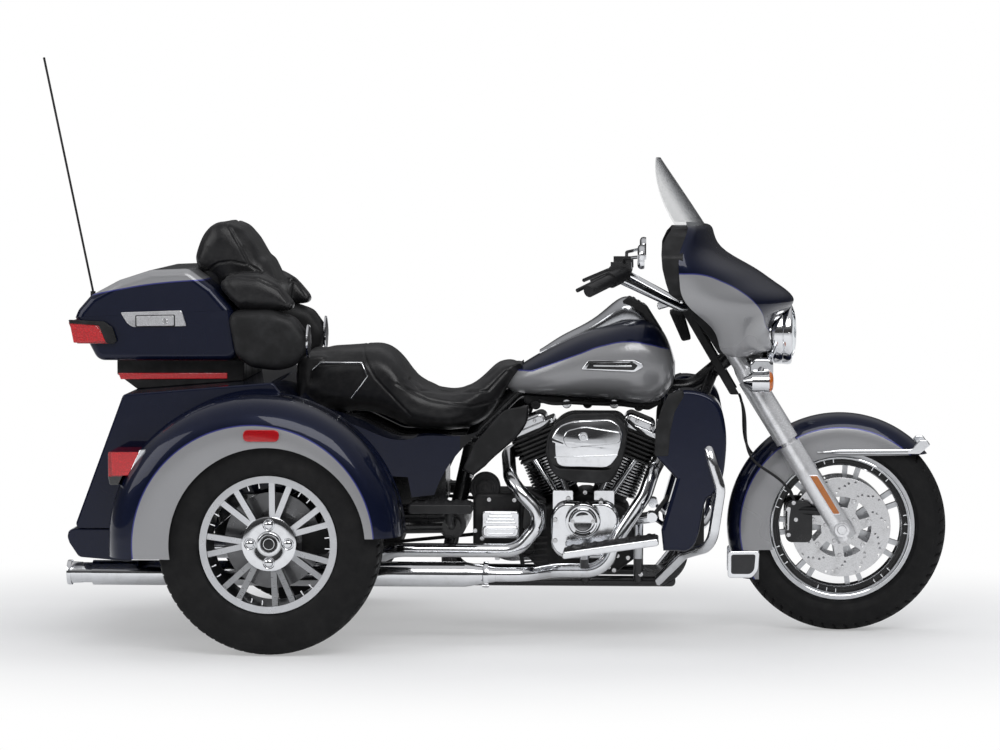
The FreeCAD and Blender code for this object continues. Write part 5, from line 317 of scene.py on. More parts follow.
def lens(name, color, glow=0.0, dark_below=None):
    """Coloured lamp lens with small prisms."""
    look = Look(name, color, 0.0, 0.08)
    prism = look.cells(260)
    tone = look.blend(look.rise(prism, 0.1, 0.6), color, tuple(c * 0.45 for c in color))
    if dark_below:
        tone = look.blend(look.rise(look.axes()[2], dark_below + 0.001, dark_below), tone, BLACK)
    look.color(tone)
    look.coat(1.0, 0.02)
    look.put("Transmission Weight", 0.25)
    if glow and not dark_below:
        look.put("Emission Color", (*color, 1))
        look.put("Emission Strength", glow)
    look.bump(prism, 0.25, 0.0008)
    return look.mat


def clear(name, tint=(0.9, 0.93, 0.94), rough=0.01):
    """Thin clear sheet that lets the background through."""
    look = Look(name, tint, 0.0, rough)
    look.put("IOR", 1.25)
    look.put("Transmission Weight", 1.0)
    dust = look.grime(30.0, 0.4, 0.9)
    look.rough(look.rise(dust, 0.0, 1.0, rough, rough + 0.05))
    look.color(look.blend(look.share_of(dust, 0.2), tint, tuple(c * 0.85 for c in tint)))
    return look.mat


def rim_finish(name, centre, lip, deep=-1.0):
    """Machined faces and lip over gloss black; painted shade darkens the metal where |y| is under
    deep (metres).
    """
    look = Look(name, ALLOY, 1.0, 0.2)
    coords = look.add("ShaderNodeTexCoord").outputs["Normal"]
    parts = look.add("ShaderNodeSeparateXYZ")
    look.feed(parts.inputs[0], coords)
    facing = look.rise(look.math("ABSOLUTE", parts.outputs[1]), 0.70, 0.90)
    edge = look.rise(look.distance(*centre), lip, lip + 0.002)
    bright = look.math("MAXIMUM", facing, edge)
    grain = look.noise(90.0, 3.0, 0.6, (1, 30, 1))
    dirt = look.rise(look.noise(30.0, 6.0, 0.62), 0.5, 0.85)
    metal = look.blend(look.share_of(dirt, 0.12), (0.66, 0.67, 0.69), (0.2, 0.19, 0.18))
    # Painted shade: inside the barrel, where |y| is under deep, the metal is darkened towards near
    # black, standing in for the shade behind the spokes.
    inside = look.rise(look.math("ABSOLUTE", look.axes()[1]), deep + 0.001, deep)
    metal = look.blend(look.share_of(inside, 0.8), metal, (0.05, 0.05, 0.052))
    look.color(look.blend(bright, (0.010, 0.010, 0.011), metal))
    look.metallic(look.rise(bright, 0.2, 0.8, 0.0, 0.9))
    look.rough(look.math("ADD", look.rise(grain, 0.3, 0.8, 0.27, 0.38),
                         look.share_of(dirt, 0.08)))
    look.coat(0.6, 0.05)
    look.bump(grain, 0.04, 0.0004)
    return look.mat


def finned(name, centre, lean, radius, low, high):
    """Black cylinders whose fin edges are cut bright."""
    look = Look(name, (0.012, 0.012, 0.013), 0.2, 0.45)
    across, up = look.offset(*centre)
    side = look.math("ABSOLUTE", across)
    cos, sin = math.cos(lean), math.sin(lean)
    along = look.math("ADD", look.math("MULTIPLY", side, sin), look.math("MULTIPLY", up, cos))
    off = look.math("SUBTRACT", look.math("MULTIPLY", side, cos), look.math("MULTIPLY", up, sin))
    radial = look.length(off, look.axes()[1])
    edge = look.rise(radial, radius - 0.0022, radius - 0.0012)
    inside = look.math("MULTIPLY", look.rise(along, low, low + 0.002),
                       look.rise(along, high + 0.002, high))
    bright = look.math("MULTIPLY", edge, inside)
    black = look.blend(look.grime(30.0, 0.4, 0.8, 0.5), (0.012, 0.012, 0.013),
                       (0.05, 0.048, 0.045))
    look.color(look.blend(bright, black, (0.72, 0.72, 0.73)))
    look.metallic(look.rise(bright, 0.0, 1.0, 0.1, 1.0))
    look.rough(look.rise(bright, 0.0, 1.0, 0.48, 0.22))
    look.bump(look.cells(900), 0.3, 0.0006)
    return look.mat


def by_region(name, test, first, second):
    """Two finishes on one node: (colour, metallic, roughness) each, chosen by a mask."""
    look = Look(name, first[0], 0.5, 0.3)
    share = test(look)
    dust = look.grime(28.0, 0.45, 0.85, 0.2)
    look.color(look.blend(dust, look.blend(share, first[0], second[0]), (0.09, 0.088, 0.085)))
    look.metallic(look.rise(share, 0.0, 1.0, first[1], second[1]))
    worn = look.rise(look.noise(12.0, 4.0), 0.3, 0.8, 0.0, 0.08)
    look.rough(look.math("ADD", look.rise(share, 0.0, 1.0, first[2], second[2]), worn))
    look.bump(look.noise(500, 2.0), 0.05, 0.0005)
    return look.mat


SHINY = (CHROME, 1.0, 0.05)
MATT_BLACK = ((0.008, 0.008, 0.009), 0.0, 0.42)


def bright_ahead(x, near, low, high):
    """Bright ahead of x and above a height, black elsewhere (metres)."""
    return lambda look: look.math("MULTIPLY", ahead_of(look, x, near),
                                  look.rise(look.axes()[2], low, high))


def screen(name):
    """Clear sheet: pale grey face on, dark at its cut edges."""
    look = Look(name, (0.36, 0.37, 0.38), 0.0, 0.08)
    facing = look.add("ShaderNodeLayerWeight")
    facing.inputs["Blend"].default_value = 0.5
    dust = look.grime(30.0, 0.4, 0.9, 0.02)
    look.feed(look.shader.inputs["Alpha"],
              look.math("ADD", look.rise(facing.outputs["Facing"], 0.60, 0.97, 0.17, 0.80), dust))
    look.color(look.blend(look.rise(facing.outputs["Facing"], 0.6, 0.98), (0.40, 0.41, 0.42),
                          (0.08, 0.08, 0.085)))
    look.bump(look.noise(5.0, 1.0), 0.02, 0.001)
    return look.mat


def reflector(name, color):
    """Prism reflector."""
    look = Look(name, color, 0.2, 0.12)
    prism = look.cells(520)
    look.color(look.blend(look.rise(prism, 0.1, 0.7), color, tuple(c * 0.5 for c in color)))
    look.coat(1.0, 0.02)
    look.bump(prism, 0.3, 0.0006)
    return look.mat


def mesh_grille(name):
    """Dark perforated sheet; its holes are painted near black as the shade behind them."""
    look = Look(name, (0.02, 0.02, 0.021), 0.3, 0.45)
    holes = look.rise(look.cells(330), 0.18, 0.30)
    # Painted shade: the holes are near black, the sheet between them dark grey.
    look.color(look.blend(holes, (0.003, 0.003, 0.003), (0.045, 0.045, 0.047)))
    look.rough(look.rise(look.noise(40.0, 3.0), 0.3, 0.8, 0.35, 0.55))
    look.bump(holes, 0.5, 0.0009)
    return look.mat


def wear(node, mat):
    """Gives one CAD node its finish."""
    found = frame["nodes"][node].data
    for index in range(len(found.materials)):
        found.materials[index] = mat
    if not found.materials:
        found.materials.append(mat)


# Two-tone masks
SHARP, STRIPE_HALF = 0.0008, 0.0022  # edge of a colour and half width of the stripe, metres
TANK_LINE = [(740, 792), (800, 815), (880, 845), (956, 872), (1032, 884), (1089, 876), (1131, 865),
             (1175, 852)]
LID_LINE = [(-640, 1006), (-596, 1018), (-482, 1043), (-340, 1064), (-204, 1072), (-120, 1073)]
FAIRING_LINE = [(1140, 1097), (1180, 1096), (1248, 1092), (1306, 1071), (1364, 1039), (1406, 1003),
                (1427, 971), (1440, 930), (1530, 840)]


def below(look, off, way=1):
    """Shares of the second colour (off under 0, or over 0 where way is -1) and of the stripe."""
    stripe = look.rise(look.math("ABSOLUTE", off), STRIPE_HALF, STRIPE_HALF - SHARP)
    return look.rise(off, way * SHARP, -way * SHARP), stripe


def line_tone(points, way=1):
    return lambda look: below(look, look.line_height(points), way)


def arch_tone(x, z, radius):
    """Second colour inside a circle."""
    return lambda look: below(look, look.math("SUBTRACT", look.distance(x, z), radius))


def ahead_of(look, x, near=0.002):
    return look.rise(look.axes()[0], REAR_AXLE_X + x, REAR_AXLE_X + x + near)


def panel_tone(look):
    """The deflectors ahead of the body panels are black."""
    wide = look.math("ABSOLUTE", look.axes()[1])
    return look.math("MULTIPLY", ahead_of(look, 0.528), look.rise(wide, 0.246, 0.244)), 0.0


PAINT = gloss_paint("deep_blue_paint")
CHROMED = chrome("polished_chrome")
GLOSS_BLACK = coated("gloss_black", BLACK, 0.0, (22.0, 0.45, 0.8, 0.35), (0.045, 0.044, 0.043),
                     (14.0, 4.0, 0.18, 0.34), 0.5, (2.0, 500, 0.03, 0.0005))
WRINKLE = coated("wrinkle_black", (0.014, 0.014, 0.015), 0.1, (30.0, 0.4, 0.8, 0.5),
                 (0.055, 0.053, 0.05), (60.0, 3.0, 0.38, 0.6), 0.3, ("cells", 900, 0.35, 0.0008))
PLASTIC = coated("grained_plastic", (0.010, 0.010, 0.0105), 0.0, (26.0, 0.35, 0.85, 1.0, 0.5),
                 (0.024, 0.024, 0.0252), (18.0, 3.0, 0.42, 0.6), 0.25,
                 ("cells", 1400, 0.12, 0.0003))
TYRE = rubber("tyre_rubber")
FORK_ALLOY = alloy("fork_alloy", (0.86, 0.86, 0.875), 0.22, metal=0.55)
SATIN = alloy("satin_trim", (0.80, 0.80, 0.82), 0.30)
DISC_STEEL = alloy("disc_steel", (0.74, 0.74, 0.75), 0.24)
SCREWS = alloy("zinc_screws", (0.7, 0.7, 0.71), 0.2)
RED_LENS = lens("red_lens", RED, 0.25)
AMBER_LENS = lens("amber_lens", AMBER, 0.1)
AMBER_PRISM = reflector("amber_prism", (0.70, 0.20, 0.01))
RED_PRISM = reflector("red_prism", RED)
GRILLE = mesh_grille("speaker_mesh")
GRIP_RUBBER = rubber("grip_rubber", (0.02, 0.02, 0.021))
GLASS = clear("lamp_glass")
FRONT_CENTRE = ((FRONT_AXLE_X - REAR_AXLE_X) * 1000, FRONT_TYRE_R * 1000)
REAR_CENTRE = (0.0, REAR_TYRE_R * 1000)
RIM_SHADED_BARREL_Y = 0.575  # the barrel of the rear rims lies nearer the middle than this, metres; there the rear rim finish paints shade
REAR_RIM_LOOK = rim_finish("rear_rim_finish", REAR_CENTRE, 0.1805, RIM_SHADED_BARREL_Y)
HIDE = leather("black_leather")

BOARD_LOOK = by_region("board_finish", bright_ahead(0.600, 0.005, 0.243, 0.246), MATT_BLACK,
                       SHINY)
CONTROL_LOOK = by_region("control_finish", bright_ahead(1.038, 0.002, 1.104, 1.107), MATT_BLACK,
                         SHINY)

for mat, nodes in (
        (CHROMED, "rocker_covers engine_covers primary_cover horn mufflers engine_guard light_bar"
                  " headlamp handlebar"),
        (GLOSS_BLACK, "frame battery_box swingarm shocks front_calipers"),
        (WRINKLE, "crankcase air_cleaner oil_cooler rear_axle"),
        (PAINT, "trunk_body rear_bumper luggage_box lower_fairings trunk_door"),
        (PLASTIC, "box_rack speaker_pods antenna inner_fairing"),
        (HIDE, "seat backrest"),
        (TYRE, "front_tyre rear_tyre_left rear_tyre_right"),
        (REAR_RIM_LOOK, "rear_rim_left rear_rim_right"),
        (rim_finish("front_rim_finish", FRONT_CENTRE, 0.2055), "front_rim"),
        (DISC_STEEL, "front_discs"), (FORK_ALLOY, "fork"), (BOARD_LOOK, "foot_controls"),
        (CONTROL_LOOK, "hand_controls"), (screen("clear_screen"), "windshield"),
        (rubber("belt_rubber"), "drive_belt"), (lens("tail_lens", RED, 0.0, 0.517), "tail_lamps"),
        (chrome("header_chrome", rough=0.1), "exhaust_pipes"),
        (chrome("console_silver", (0.5, 0.51, 0.53), 0.12), "tank_console"),
        (finned("finned_black", (898, 235), math.radians(22.5), 0.076, 0.204, 0.324), "cylinders"),
        (gloss_paint("tank_two_tone", line_tone(TANK_LINE)), "fuel_tank"),
        (gloss_paint("rear_fender_two_tone", arch_tone(-41, 322, 0.348)), "rear_fenders"),
        (gloss_paint("front_fender_two_tone", arch_tone(1670, 318, 0.303)), "front_fender"),
        (gloss_paint("panel_two_tone", panel_tone, (0.008, 0.008, 0.009)), "side_panels"),
        (gloss_paint("fairing_two_tone", line_tone(FAIRING_LINE)), "fairing"),
        (gloss_paint("lid_two_tone", line_tone(LID_LINE, -1)), "box_lid")):
    for node in nodes.split():
        wear(node, mat)


def link(name, data):
    """Object for a mesh, curve, lamp or camera in the scene."""
    made = bpy.data.objects.new(name, data)
    bpy.context.scene.collection.objects.link(made)
    return made


# Mesh makers. Each rides one body.
def show(name, mesh, mat, body, angle=35):
    """Turns a mesh into a piece with one finish."""
    mesh.materials.clear()
    mesh.materials.append(mat)
    mesh.shade_smooth()
    mesh.set_sharp_from_angle(angle=math.radians(angle))
    made = link(name, mesh)
    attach(made, body)
    return made


def from_bmesh(name, bm):
    """Mesh of a bmesh, which is then freed."""
    bmesh.ops.recalc_face_normals(bm, faces=bm.faces)
    mesh = bpy.data.meshes.new(name)
    bm.to_mesh(mesh)
    bm.free()
    return mesh


def frame_of(axis):
    """Two directions square to an axis."""
    axis = Vector(axis).normalized()
    first = axis.cross(Vector((0, 0, 1)))
    if first.length < 0.1:
        first = axis.cross(Vector((1, 0, 0)))
    first.normalize()
    return axis, first, axis.cross(first)


def turn(bm, place, axis, profile, steps=48, closed=False):
    """Adds a turned form. The profile holds (along the axis, radius) in millimetres."""
    axis, first, second = frame_of(axis)
    rings = []
    for along, radius in profile:
        centre = place + axis * along / 1000
        if radius == 0:
            rings.append([bm.verts.new(centre)])
            continue
        angles = [2 * math.pi * step / steps for step in range(steps)]
        rings.append([bm.verts.new(centre + (first * math.cos(angle) + second * math.sin(angle))
                                   * radius / 1000) for angle in angles])
    pairs = list(zip(rings, rings[1:]))
    if closed:
        pairs.append((rings[-1], rings[0]))
    for low, high in pairs:
        for step in range(steps):
            after = (step + 1) % steps
            if len(low) == 1 and len(high) == 1:
                continue
            if len(low) == 1:
                bm.faces.new((low[0], high[step], high[after]))
            elif len(high) == 1:
                bm.faces.new((low[step], low[after], high[0]))
            else:
                bm.faces.new((low[step], low[after], high[after], high[step]))


def turned(name, place, axis, profile, mat, body, steps=48, closed=False):
    bm = bmesh.new()
    turn(bm, place, axis, profile, steps, closed)
    return show(name, from_bmesh(name, bm), mat, body)


def bolts(name, spots, axis, radius, mat, body, height=None):
    """Socket-head screws with a chamfered rim, as one piece."""
    tall = height or radius * 0.8
    bm = bmesh.new()
    for spot in spots:
        turn(bm, spot, axis, [(tall * 0.35, 0), (tall * 0.35, radius * 0.45), (tall, radius * 0.55),
                              (tall, radius * 0.86), (tall * 0.8, radius), (-1.0, radius),
                              (-1.0, 0)], 20)
    return show(name, from_bmesh(name, bm), mat, body)


def soften(points, radius, steps=5):
    """Rounds the corners of a closed outline."""
    out = []
    count = len(points)
    for index in range(count):
        corner = Vector(points[index])
        before = Vector(points[index - 1]) - corner
        after = Vector(points[(index + 1) % count]) - corner
        reach = min(radius, before.length * 0.48, after.length * 0.48)
        start = corner + before.normalized() * reach
        end = corner + after.normalized() * reach
        for step in range(steps + 1):
            share = step / steps
            out.append(tuple((1 - share) ** 2 * start + 2 * share * (1 - share) * corner
                             + share ** 2 * end))
    return out


def arc(centre, radius, first, last, steps=8):
    """Points of an arc in the side view, both ends included."""
    angles = [first + (last - first) * step / steps for step in range(steps + 1)]
    return [(centre[0] + radius * math.cos(angle), centre[1] + radius * math.sin(angle))
            for angle in angles]


def around(centre, count, reach, start=0.0):
    """Points around the middle of a wheel."""
    angles = [start + 2 * math.pi * k / count for k in range(count)]
    return [centre + Vector((math.cos(angle), 0, math.sin(angle))) * reach / 1000
            for angle in angles]


def circle(x, z, radius, steps=24):
    return [(x + radius * math.cos(2 * math.pi * step / steps),
             z + radius * math.sin(2 * math.pi * step / steps)) for step in range(steps)]


def curve_mesh(curve):
    """Mesh of a curve, which is then taken away."""
    holder = link(curve.name, curve)
    mesh = bpy.data.meshes.new_from_object(holder)
    bpy.data.objects.remove(holder)
    bpy.data.curves.remove(curve)
    return mesh


def plate_mesh(name, outlines, thick, edge):
    """Flat plate with holes, its middle at y = 0. Outlines hold (x, z) in millimetres."""
    curve = bpy.data.curves.new(name, "CURVE")
    curve.dimensions = "2D"
    curve.fill_mode = "BOTH"
    curve.extrude = max(thick / 2 - edge, 0.01) / 1000
    curve.bevel_depth = edge / 1000
    curve.bevel_resolution = 2
    curve.offset = -edge / 1000
    for outline in outlines:
        line = curve.splines.new("POLY")
        line.points.add(len(outline) - 1)
        for point, (x, z) in zip(line.points, outline):
            point.co = (REAR_AXLE_X + x / 1000, z / 1000, 0, 1)
        line.use_cyclic_u = True
    mesh = curve_mesh(curve)
    mesh.transform(Matrix.Rotation(math.pi / 2, 4, "X"))
    return mesh


def plate(name, outlines, y, thick, mat, body, edge=0.6, reshape=None):
    """Plate of the right side whose outer face lies at y; reshape moves each vertex (metres)."""
    mesh = plate_mesh(name, outlines, thick, edge)
    mesh.transform(Matrix.Translation((0, (y + thick / 2) / 1000, 0)))
    if reshape:
        cut_up(mesh, 7)
        for vertex in mesh.vertices:
            vertex.co = reshape(vertex.co)
    return show(name, mesh, mat, body)


def hose(name, points, radius, mat, body, steps=8, tight=False):
    """Round bar or hose through points in millimetres from the rear axle."""
    curve = bpy.data.curves.new(name, "CURVE")
    curve.dimensions = "3D"
    curve.bevel_depth = radius / 1000
    curve.bevel_resolution = 4
    curve.resolution_u = steps
    curve.use_fill_caps = True
    line = curve.splines.new("POLY" if tight else "NURBS")
    line.points.add(len(points) - 1)
    for point, spot in zip(line.points, points):
        point.co = (*at(*spot), 1)
    if not tight:
        line.order_u = min(4, len(points))
        line.use_endpoint_u = True
    mesh = curve_mesh(curve)
    return show(name, mesh, mat, body, 60)


# Tyres
def smooth_line(points, count):
    """Even points along a smooth curve through the given ones."""
    path = [Vector(p) for p in points]
    fine = []
    for index in range(len(path) - 1):
        before = path[max(index - 1, 0)]
        start, end = path[index], path[index + 1]
        after = path[min(index + 2, len(path) - 1)]
        for step in range(16):
            t = step / 16
            fine.append(0.5 * (2 * start + (end - before) * t
                               + (2 * before - 5 * start + 4 * end - after) * t * t
                               + (3 * start - before - 3 * end + after) * t ** 3))
    fine.append(path[-1])
    lengths = [0.0]
    for first, second in zip(fine, fine[1:]):
        lengths.append(lengths[-1] + (second - first).length)
    out = []
    index = 0
    for step in range(count + 1):
        want = lengths[-1] * step / count
        while index < len(fine) - 2 and lengths[index + 1] < want:
            index += 1
        share = (want - lengths[index]) / max(lengths[index + 1] - lengths[index], 1e-9)
        out.append(fine[index].lerp(fine[index + 1], share))
    return out


def groove(offset, half, slope):
    """Depth share of a groove whose middle lies offset away."""
    return min(1.0, max(0.0, (half + slope - abs(offset)) / slope))


REAR_BLOCKS, FRONT_HOOKS = 66, 56  # around each tyre


def car_tread(angle, y):
    """Depth in millimetres of the rear tread at an angle and a place across it."""
    deep = 0.0
    for middle in (-0.56, -0.19, 0.19, 0.56):
        deep = max(deep, 7.0 * groove((y - middle) * 100, 3.2, 1.2))
    across = abs(y)
    turns = angle * REAR_BLOCKS / (2 * math.pi)
    block = (turns + 0.55 * across + (0.5 if y > 0 else 0.0)) % 1.0 - 0.5
    if 0.62 < across < 1.02:
        deep = max(deep, 6.0 * groove(block * 30, 2.2, 1.1))
    if across < 0.5:
        sipe = (turns - 0.9 * y) % 1.0 - 0.5
        deep = max(deep, 2.5 * groove(sipe * 30, 1.0, 0.9))
    return deep


def road_tread(angle, y):
    """Slanted hooks of the front tyre."""
    across = abs(y)
    turns = angle * FRONT_HOOKS / (2 * math.pi) + (0.0 if y < 0 else 0.5)
    hook = (turns + 1.15 * across) % 1.0 - 0.5
    deep = 0.0
    if 0.16 < across < 0.97:
        deep = 5.5 * groove(hook * 35, 2.6, 1.3)
    corner = (turns + 1.15 * 0.56) % 1.0
    if 0.50 < across < 0.62 and corner < 0.55:
        deep = max(deep, 5.0)
    deep = max(deep, 4.0 * groove((y - 0.05 * math.sin(angle * 28)) * 60, 1.8, 1.0))
    return deep


# Moulded rings of a tyre wall: share of its height, and millimetres raised
WALL_RINGS = ((0.20, 0.9), (0.26, 0.5), (0.66, 0.7), (0.80, 0.8))
TREAD_FROM = 0.80


def make_tyre(name, body, bead_r, bead_y, shares, tread, tread_share, steps):
    """Tyre with tread, shoulder cuts and moulded rings on its walls."""
    low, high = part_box(name)
    centre = (low + high) / 2
    half = (high.y - low.y) * 500
    radius = (high.z - low.z) * 500
    wall = [(-half * wide, bead_r + (radius - bead_r) * up) for wide, up in shares]
    points = [(-bead_y, bead_r + 8.0)] + wall + [(0, radius)]
    points += [(-y, r) for y, r in reversed(points[:-1])]
    line = smooth_line(points, 108)
    line = [Vector((-bead_y, bead_r + 0.8))] + line + [Vector((bead_y, bead_r + 0.8))]
    bm = bmesh.new()
    rings = []
    for index, (y, r) in enumerate(line):
        before = line[max(index - 1, 0)]
        after = line[min(index + 1, len(line) - 1)]
        along = (after - before).normalized()
        inward = Vector((along.y, -along.x))
        up = (r - bead_r) / (radius - bead_r)
        ridge = 0.0
        for level, tall in WALL_RINGS:
            ridge = max(ridge, tall * groove((up - level) * 100, 0.6, 0.9))
        ring = []
        for step in range(steps):
            angle = 2 * math.pi * step / steps
            deep = tread(angle, y / half / tread_share) if up > TREAD_FROM else -ridge
            spot = Vector((y, r)) + inward * deep
            ring.append(bm.verts.new(centre + Vector((math.cos(angle) * spot.y, spot.x,
                                                      math.sin(angle) * spot.y)) / 1000))
        rings.append(ring)
    for first, second in zip(rings, rings[1:] + rings[:1]):
        for step in range(steps):
            after = (step + 1) % steps
            bm.faces.new((first[step], first[after], second[after], second[step]))
    made = show(name + "_tread", from_bmesh(name, bm), TYRE, body, 28)
    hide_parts(name)


def dress_wheels():
    front = [(0.86, 0.16), (0.98, 0.34), (1.0, 0.48), (0.93, 0.73), (0.64, 0.93)]
    rear = [(0.93, 0.13), (0.99, 0.30), (1.0, 0.48), (0.97, 0.76), (0.89, 0.93), (0.62, 0.985)]
    make_tyre("front_tyre", "front_wheel", 216.0, 38.0, front, road_tread, 0.9, 448)
    for side in ("left", "right"):
        make_tyre("rear_tyre_" + side, "rear_wheel_" + side, 191.0, 82.0, rear, car_tread, 0.86,
                  528)


dress_wheels()


TREES = {}


def keep_tree(node, mesh):
    """Keeps a mesh for the rays that look for the surface of a node."""
    TREES[node] = BVHTree.FromPolygons([v.co for v in mesh.vertices],
                                       [f.vertices for f in mesh.polygons])


def mm(spot):
    """Millimetres, with x counted from the rear axle."""
    return (spot.x - REAR_AXLE_X) * 1000, spot.y * 1000, spot.z * 1000


# Cushions
def apply(made, kind, **settings):
    """Adds a modifier to a piece and applies it."""
    bpy.context.view_layer.objects.active = made
    added = made.modifiers.new(kind.lower(), kind)
    for key, value in settings.items():
        setattr(added, key, value)
    bpy.ops.object.modifier_apply(modifier=added.name)


CLOTH_FRAMES = 20


def swell(name, node, voxel, cap, pressure=4.0, cores=()):
    """Blows a CAD cushion up like padded leather and returns its mesh as a new object.

    cores are (outline, half width) foam blocks that the cover is pulled over as well.
    """
    bm = bmesh.new()
    bm.from_mesh(frame["nodes"][node].data)
    for outline, half in cores:
        core = plate_mesh(name + "_core", [soften(outline, 12)], 2 * half, 10)
        bm.from_mesh(core)
        bpy.data.meshes.remove(core)
    made = link(name, from_bmesh(name, bm))
    for other in bpy.context.view_layer.objects:
        other.select_set(other == made)
    apply(made, "DISPLACE", strength=-cap * 0.55 / 1000, mid_level=0)
    apply(made, "REMESH", mode="VOXEL", voxel_size=voxel / 1000)
    if not pressure:
        return made
    before = [vertex.co.copy() for vertex in made.data.vertices]
    cloth = made.modifiers.new("cloth", "CLOTH")
    cloth.settings.use_pressure = True
    cloth.settings.uniform_pressure_force = pressure
    cloth.settings.effector_weights.gravity = 0
    cloth.settings.quality = 4
    scene = bpy.context.scene
    for number in range(1, CLOTH_FRAMES + 1):
        scene.frame_set(number)
    held = made.evaluated_get(bpy.context.evaluated_depsgraph_get())
    after = [vertex.co.copy() for vertex in held.data.vertices]
    made.modifiers.remove(cloth)
    scene.frame_set(1)
    for vertex, start, end in zip(made.data.vertices, before, after):
        move = end - start
        if move.length > cap / 1000:
            move = move.normalized() * cap / 1000
        vertex.co = start + move
    return made


def relax(made, rounds, grow):
    """Rounds a mesh and gives back what the rounding took."""
    apply(made, "SMOOTH", factor=0.5, iterations=rounds)
    apply(made, "DISPLACE", strength=grow / 1000, mid_level=0)


def near_line(x, z, line):
    """Distance in millimetres from a broken line in the side view."""
    best = 1e9
    spot = Vector((x, z))
    for first, second in zip(line, line[1:]):
        first, second = Vector(first), Vector(second)
        run = second - first
        share = min(1.0, max(0.0, (spot - first).dot(run) / run.length_squared))
        best = min(best, (spot - first - run * share).length)
    return best


SEAM_HALF, SEAM_DEEP = 2.8, 3.2  # millimetres


def sew(made, seams):
    """Presses seams into a cushion and swells the leather beside them."""
    mesh = made.data
    normals = [vertex.normal.copy() for vertex in mesh.vertices]
    for vertex, normal in zip(mesh.vertices, normals):
        x, y, z = mm(vertex.co)
        for line, low_y, high_y in seams:
            if not low_y <= abs(y) <= high_y:
                continue
            off = near_line(x, z, line)
            if off < SEAM_HALF * 5:
                press = SEAM_DEEP * math.exp(-(off / SEAM_HALF) ** 2) - 0.5 * math.exp(
                    -((off - SEAM_HALF * 2.6) / SEAM_HALF) ** 2)
                vertex.co -= normal * press / 1000


def cover(made, mat):
    """Gives a simulated or smoothed mesh its finish."""
    made.data.materials.clear()
    made.data.materials.append(mat)
    made.data.shade_smooth()


def finish_cushion(made, node, body, seams, even=6):
    apply(made, "SMOOTH", factor=0.5, iterations=even)
    levels = 1
    apply(made, "SUBSURF", levels=levels, render_levels=levels)
    sew(made, seams)
    cover(made, HIDE)
    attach(made, body)
    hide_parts(node)


SEAT_CORE = [(24, 838), (40, 846), (120, 848), (120, 660), (60, 680), (30, 720)]
BACK_CORE = [(-272, 1096), (-272, 1127), (-252, 1180), (-226, 1226), (-200, 1241), (-166, 1232),
             (-128, 1189), (-96, 1132), (-66, 1092), (-84, 1040), (-170, 1024), (-232, 1050)]
SEAT_SEAMS = [
    ([(229, 864), (244, 822), (271, 774), (322, 720), (380, 660)], 0, 400),
    ([(334, 757), (382, 733), (436, 709), (556, 686), (646, 704), (700, 760)], 0, 400),
    ([(373, 769), (406, 736), (505, 727), (607, 732), (660, 790)], 60, 400),
    ([(100, 812), (232, 818)], 120, 400),
]
BACK_SEAMS = [
    ([(-181, 1245), (-157, 1203), (-127, 1149), (-109, 1112), (-69, 1088)], 60, 400),
    ([(-244, 1090), (-204, 1117), (-162, 1123), (-120, 1114)], 60, 400),
    ([(-202, 1058), (-172, 1075), (-127, 1082), (-67, 1073), (-7, 1046), (22, 1004)], 150, 400),
]


def dress_cushions():
    seat = swell("seat_cushion", "seat", 6.6, 7, 4.0, [(SEAT_CORE, 165)])
    finish_cushion(seat, "seat", "chassis", SEAT_SEAMS)
    back = swell("backrest_cushion", "backrest", 5.9, 7, 4.0, [(BACK_CORE, 128)])
    relax(back, 24, 5.0)
    finish_cushion(back, "backrest", "luggage_lid", BACK_SEAMS, 3)
    pods = swell("pod_skin", "speaker_pods", 6.0, 1, 0.0)
    relax(pods, 24, 5.0)
    cover(pods, PLASTIC)
    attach(pods, "chassis")
    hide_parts("speaker_pods")
    keep_tree("speaker_pods", pods.data)


dress_cushions()

# Places on the CAD surfaces. Rays start well outside the object, in metres.
CAST_FROM = 2.0
CAST_ABOVE = 3.0
DRAPE_STEP, DRAPE_SINK = 10, 0.6


def cast(start, way, nodes):
    """First point that a ray meets on the named CAD nodes."""
    best, nearest = None, 1e9
    for node in nodes:
        if node not in TREES:
            keep_tree(node, frame["nodes"][node].data)
        spot, _, _, gap = TREES[node].ray_cast(start, way)
        if spot is not None and gap < nearest:
            best, nearest = spot, gap
    return best


def side_spot(x, z, side, *nodes):
    """Outermost surface point at a place of the side view (millimetres)."""
    start = at(x, 0, z)
    start.y = side * CAST_FROM
    return cast(start, Vector((0, -side, 0)), nodes)


def top_spot(x, y, *nodes):
    start = at(x, y, 0)
    start.z = CAST_ABOVE
    return cast(start, Vector((0, 0, -1)), nodes)


def bolt_row(name, side, nodes, radius, places, body="chassis"):
    """Screws on the side of the CAD nodes."""
    spots = [side_spot(x, z, side, *nodes) for x, z in places]
    spots = [spot for spot in spots if spot is not None]
    if spots:
        bolts(name, spots, (0, side, 0), radius, SCREWS, body)


def cut_up(mesh, step):
    """Cuts a mesh along x and z into strips of about step millimetres, so that it can bend."""
    bm = bmesh.new()
    bm.from_mesh(mesh)
    for axis in (0, 2):
        low = min(v.co[axis] for v in bm.verts)
        high = max(v.co[axis] for v in bm.verts)
        normal = Vector((0, 0, 0))
        normal[axis] = 1
        count = int((high - low) * 1000 / step)
        for index in range(1, count + 1):
            spot = Vector((0, 0, 0))
            spot[axis] = low + (high - low) * index / (count + 1)
            bmesh.ops.bisect_plane(bm, geom=bm.verts[:] + bm.edges[:] + bm.faces[:],
                                   plane_co=spot, plane_no=normal)
    bm.to_mesh(mesh)
    bm.free()


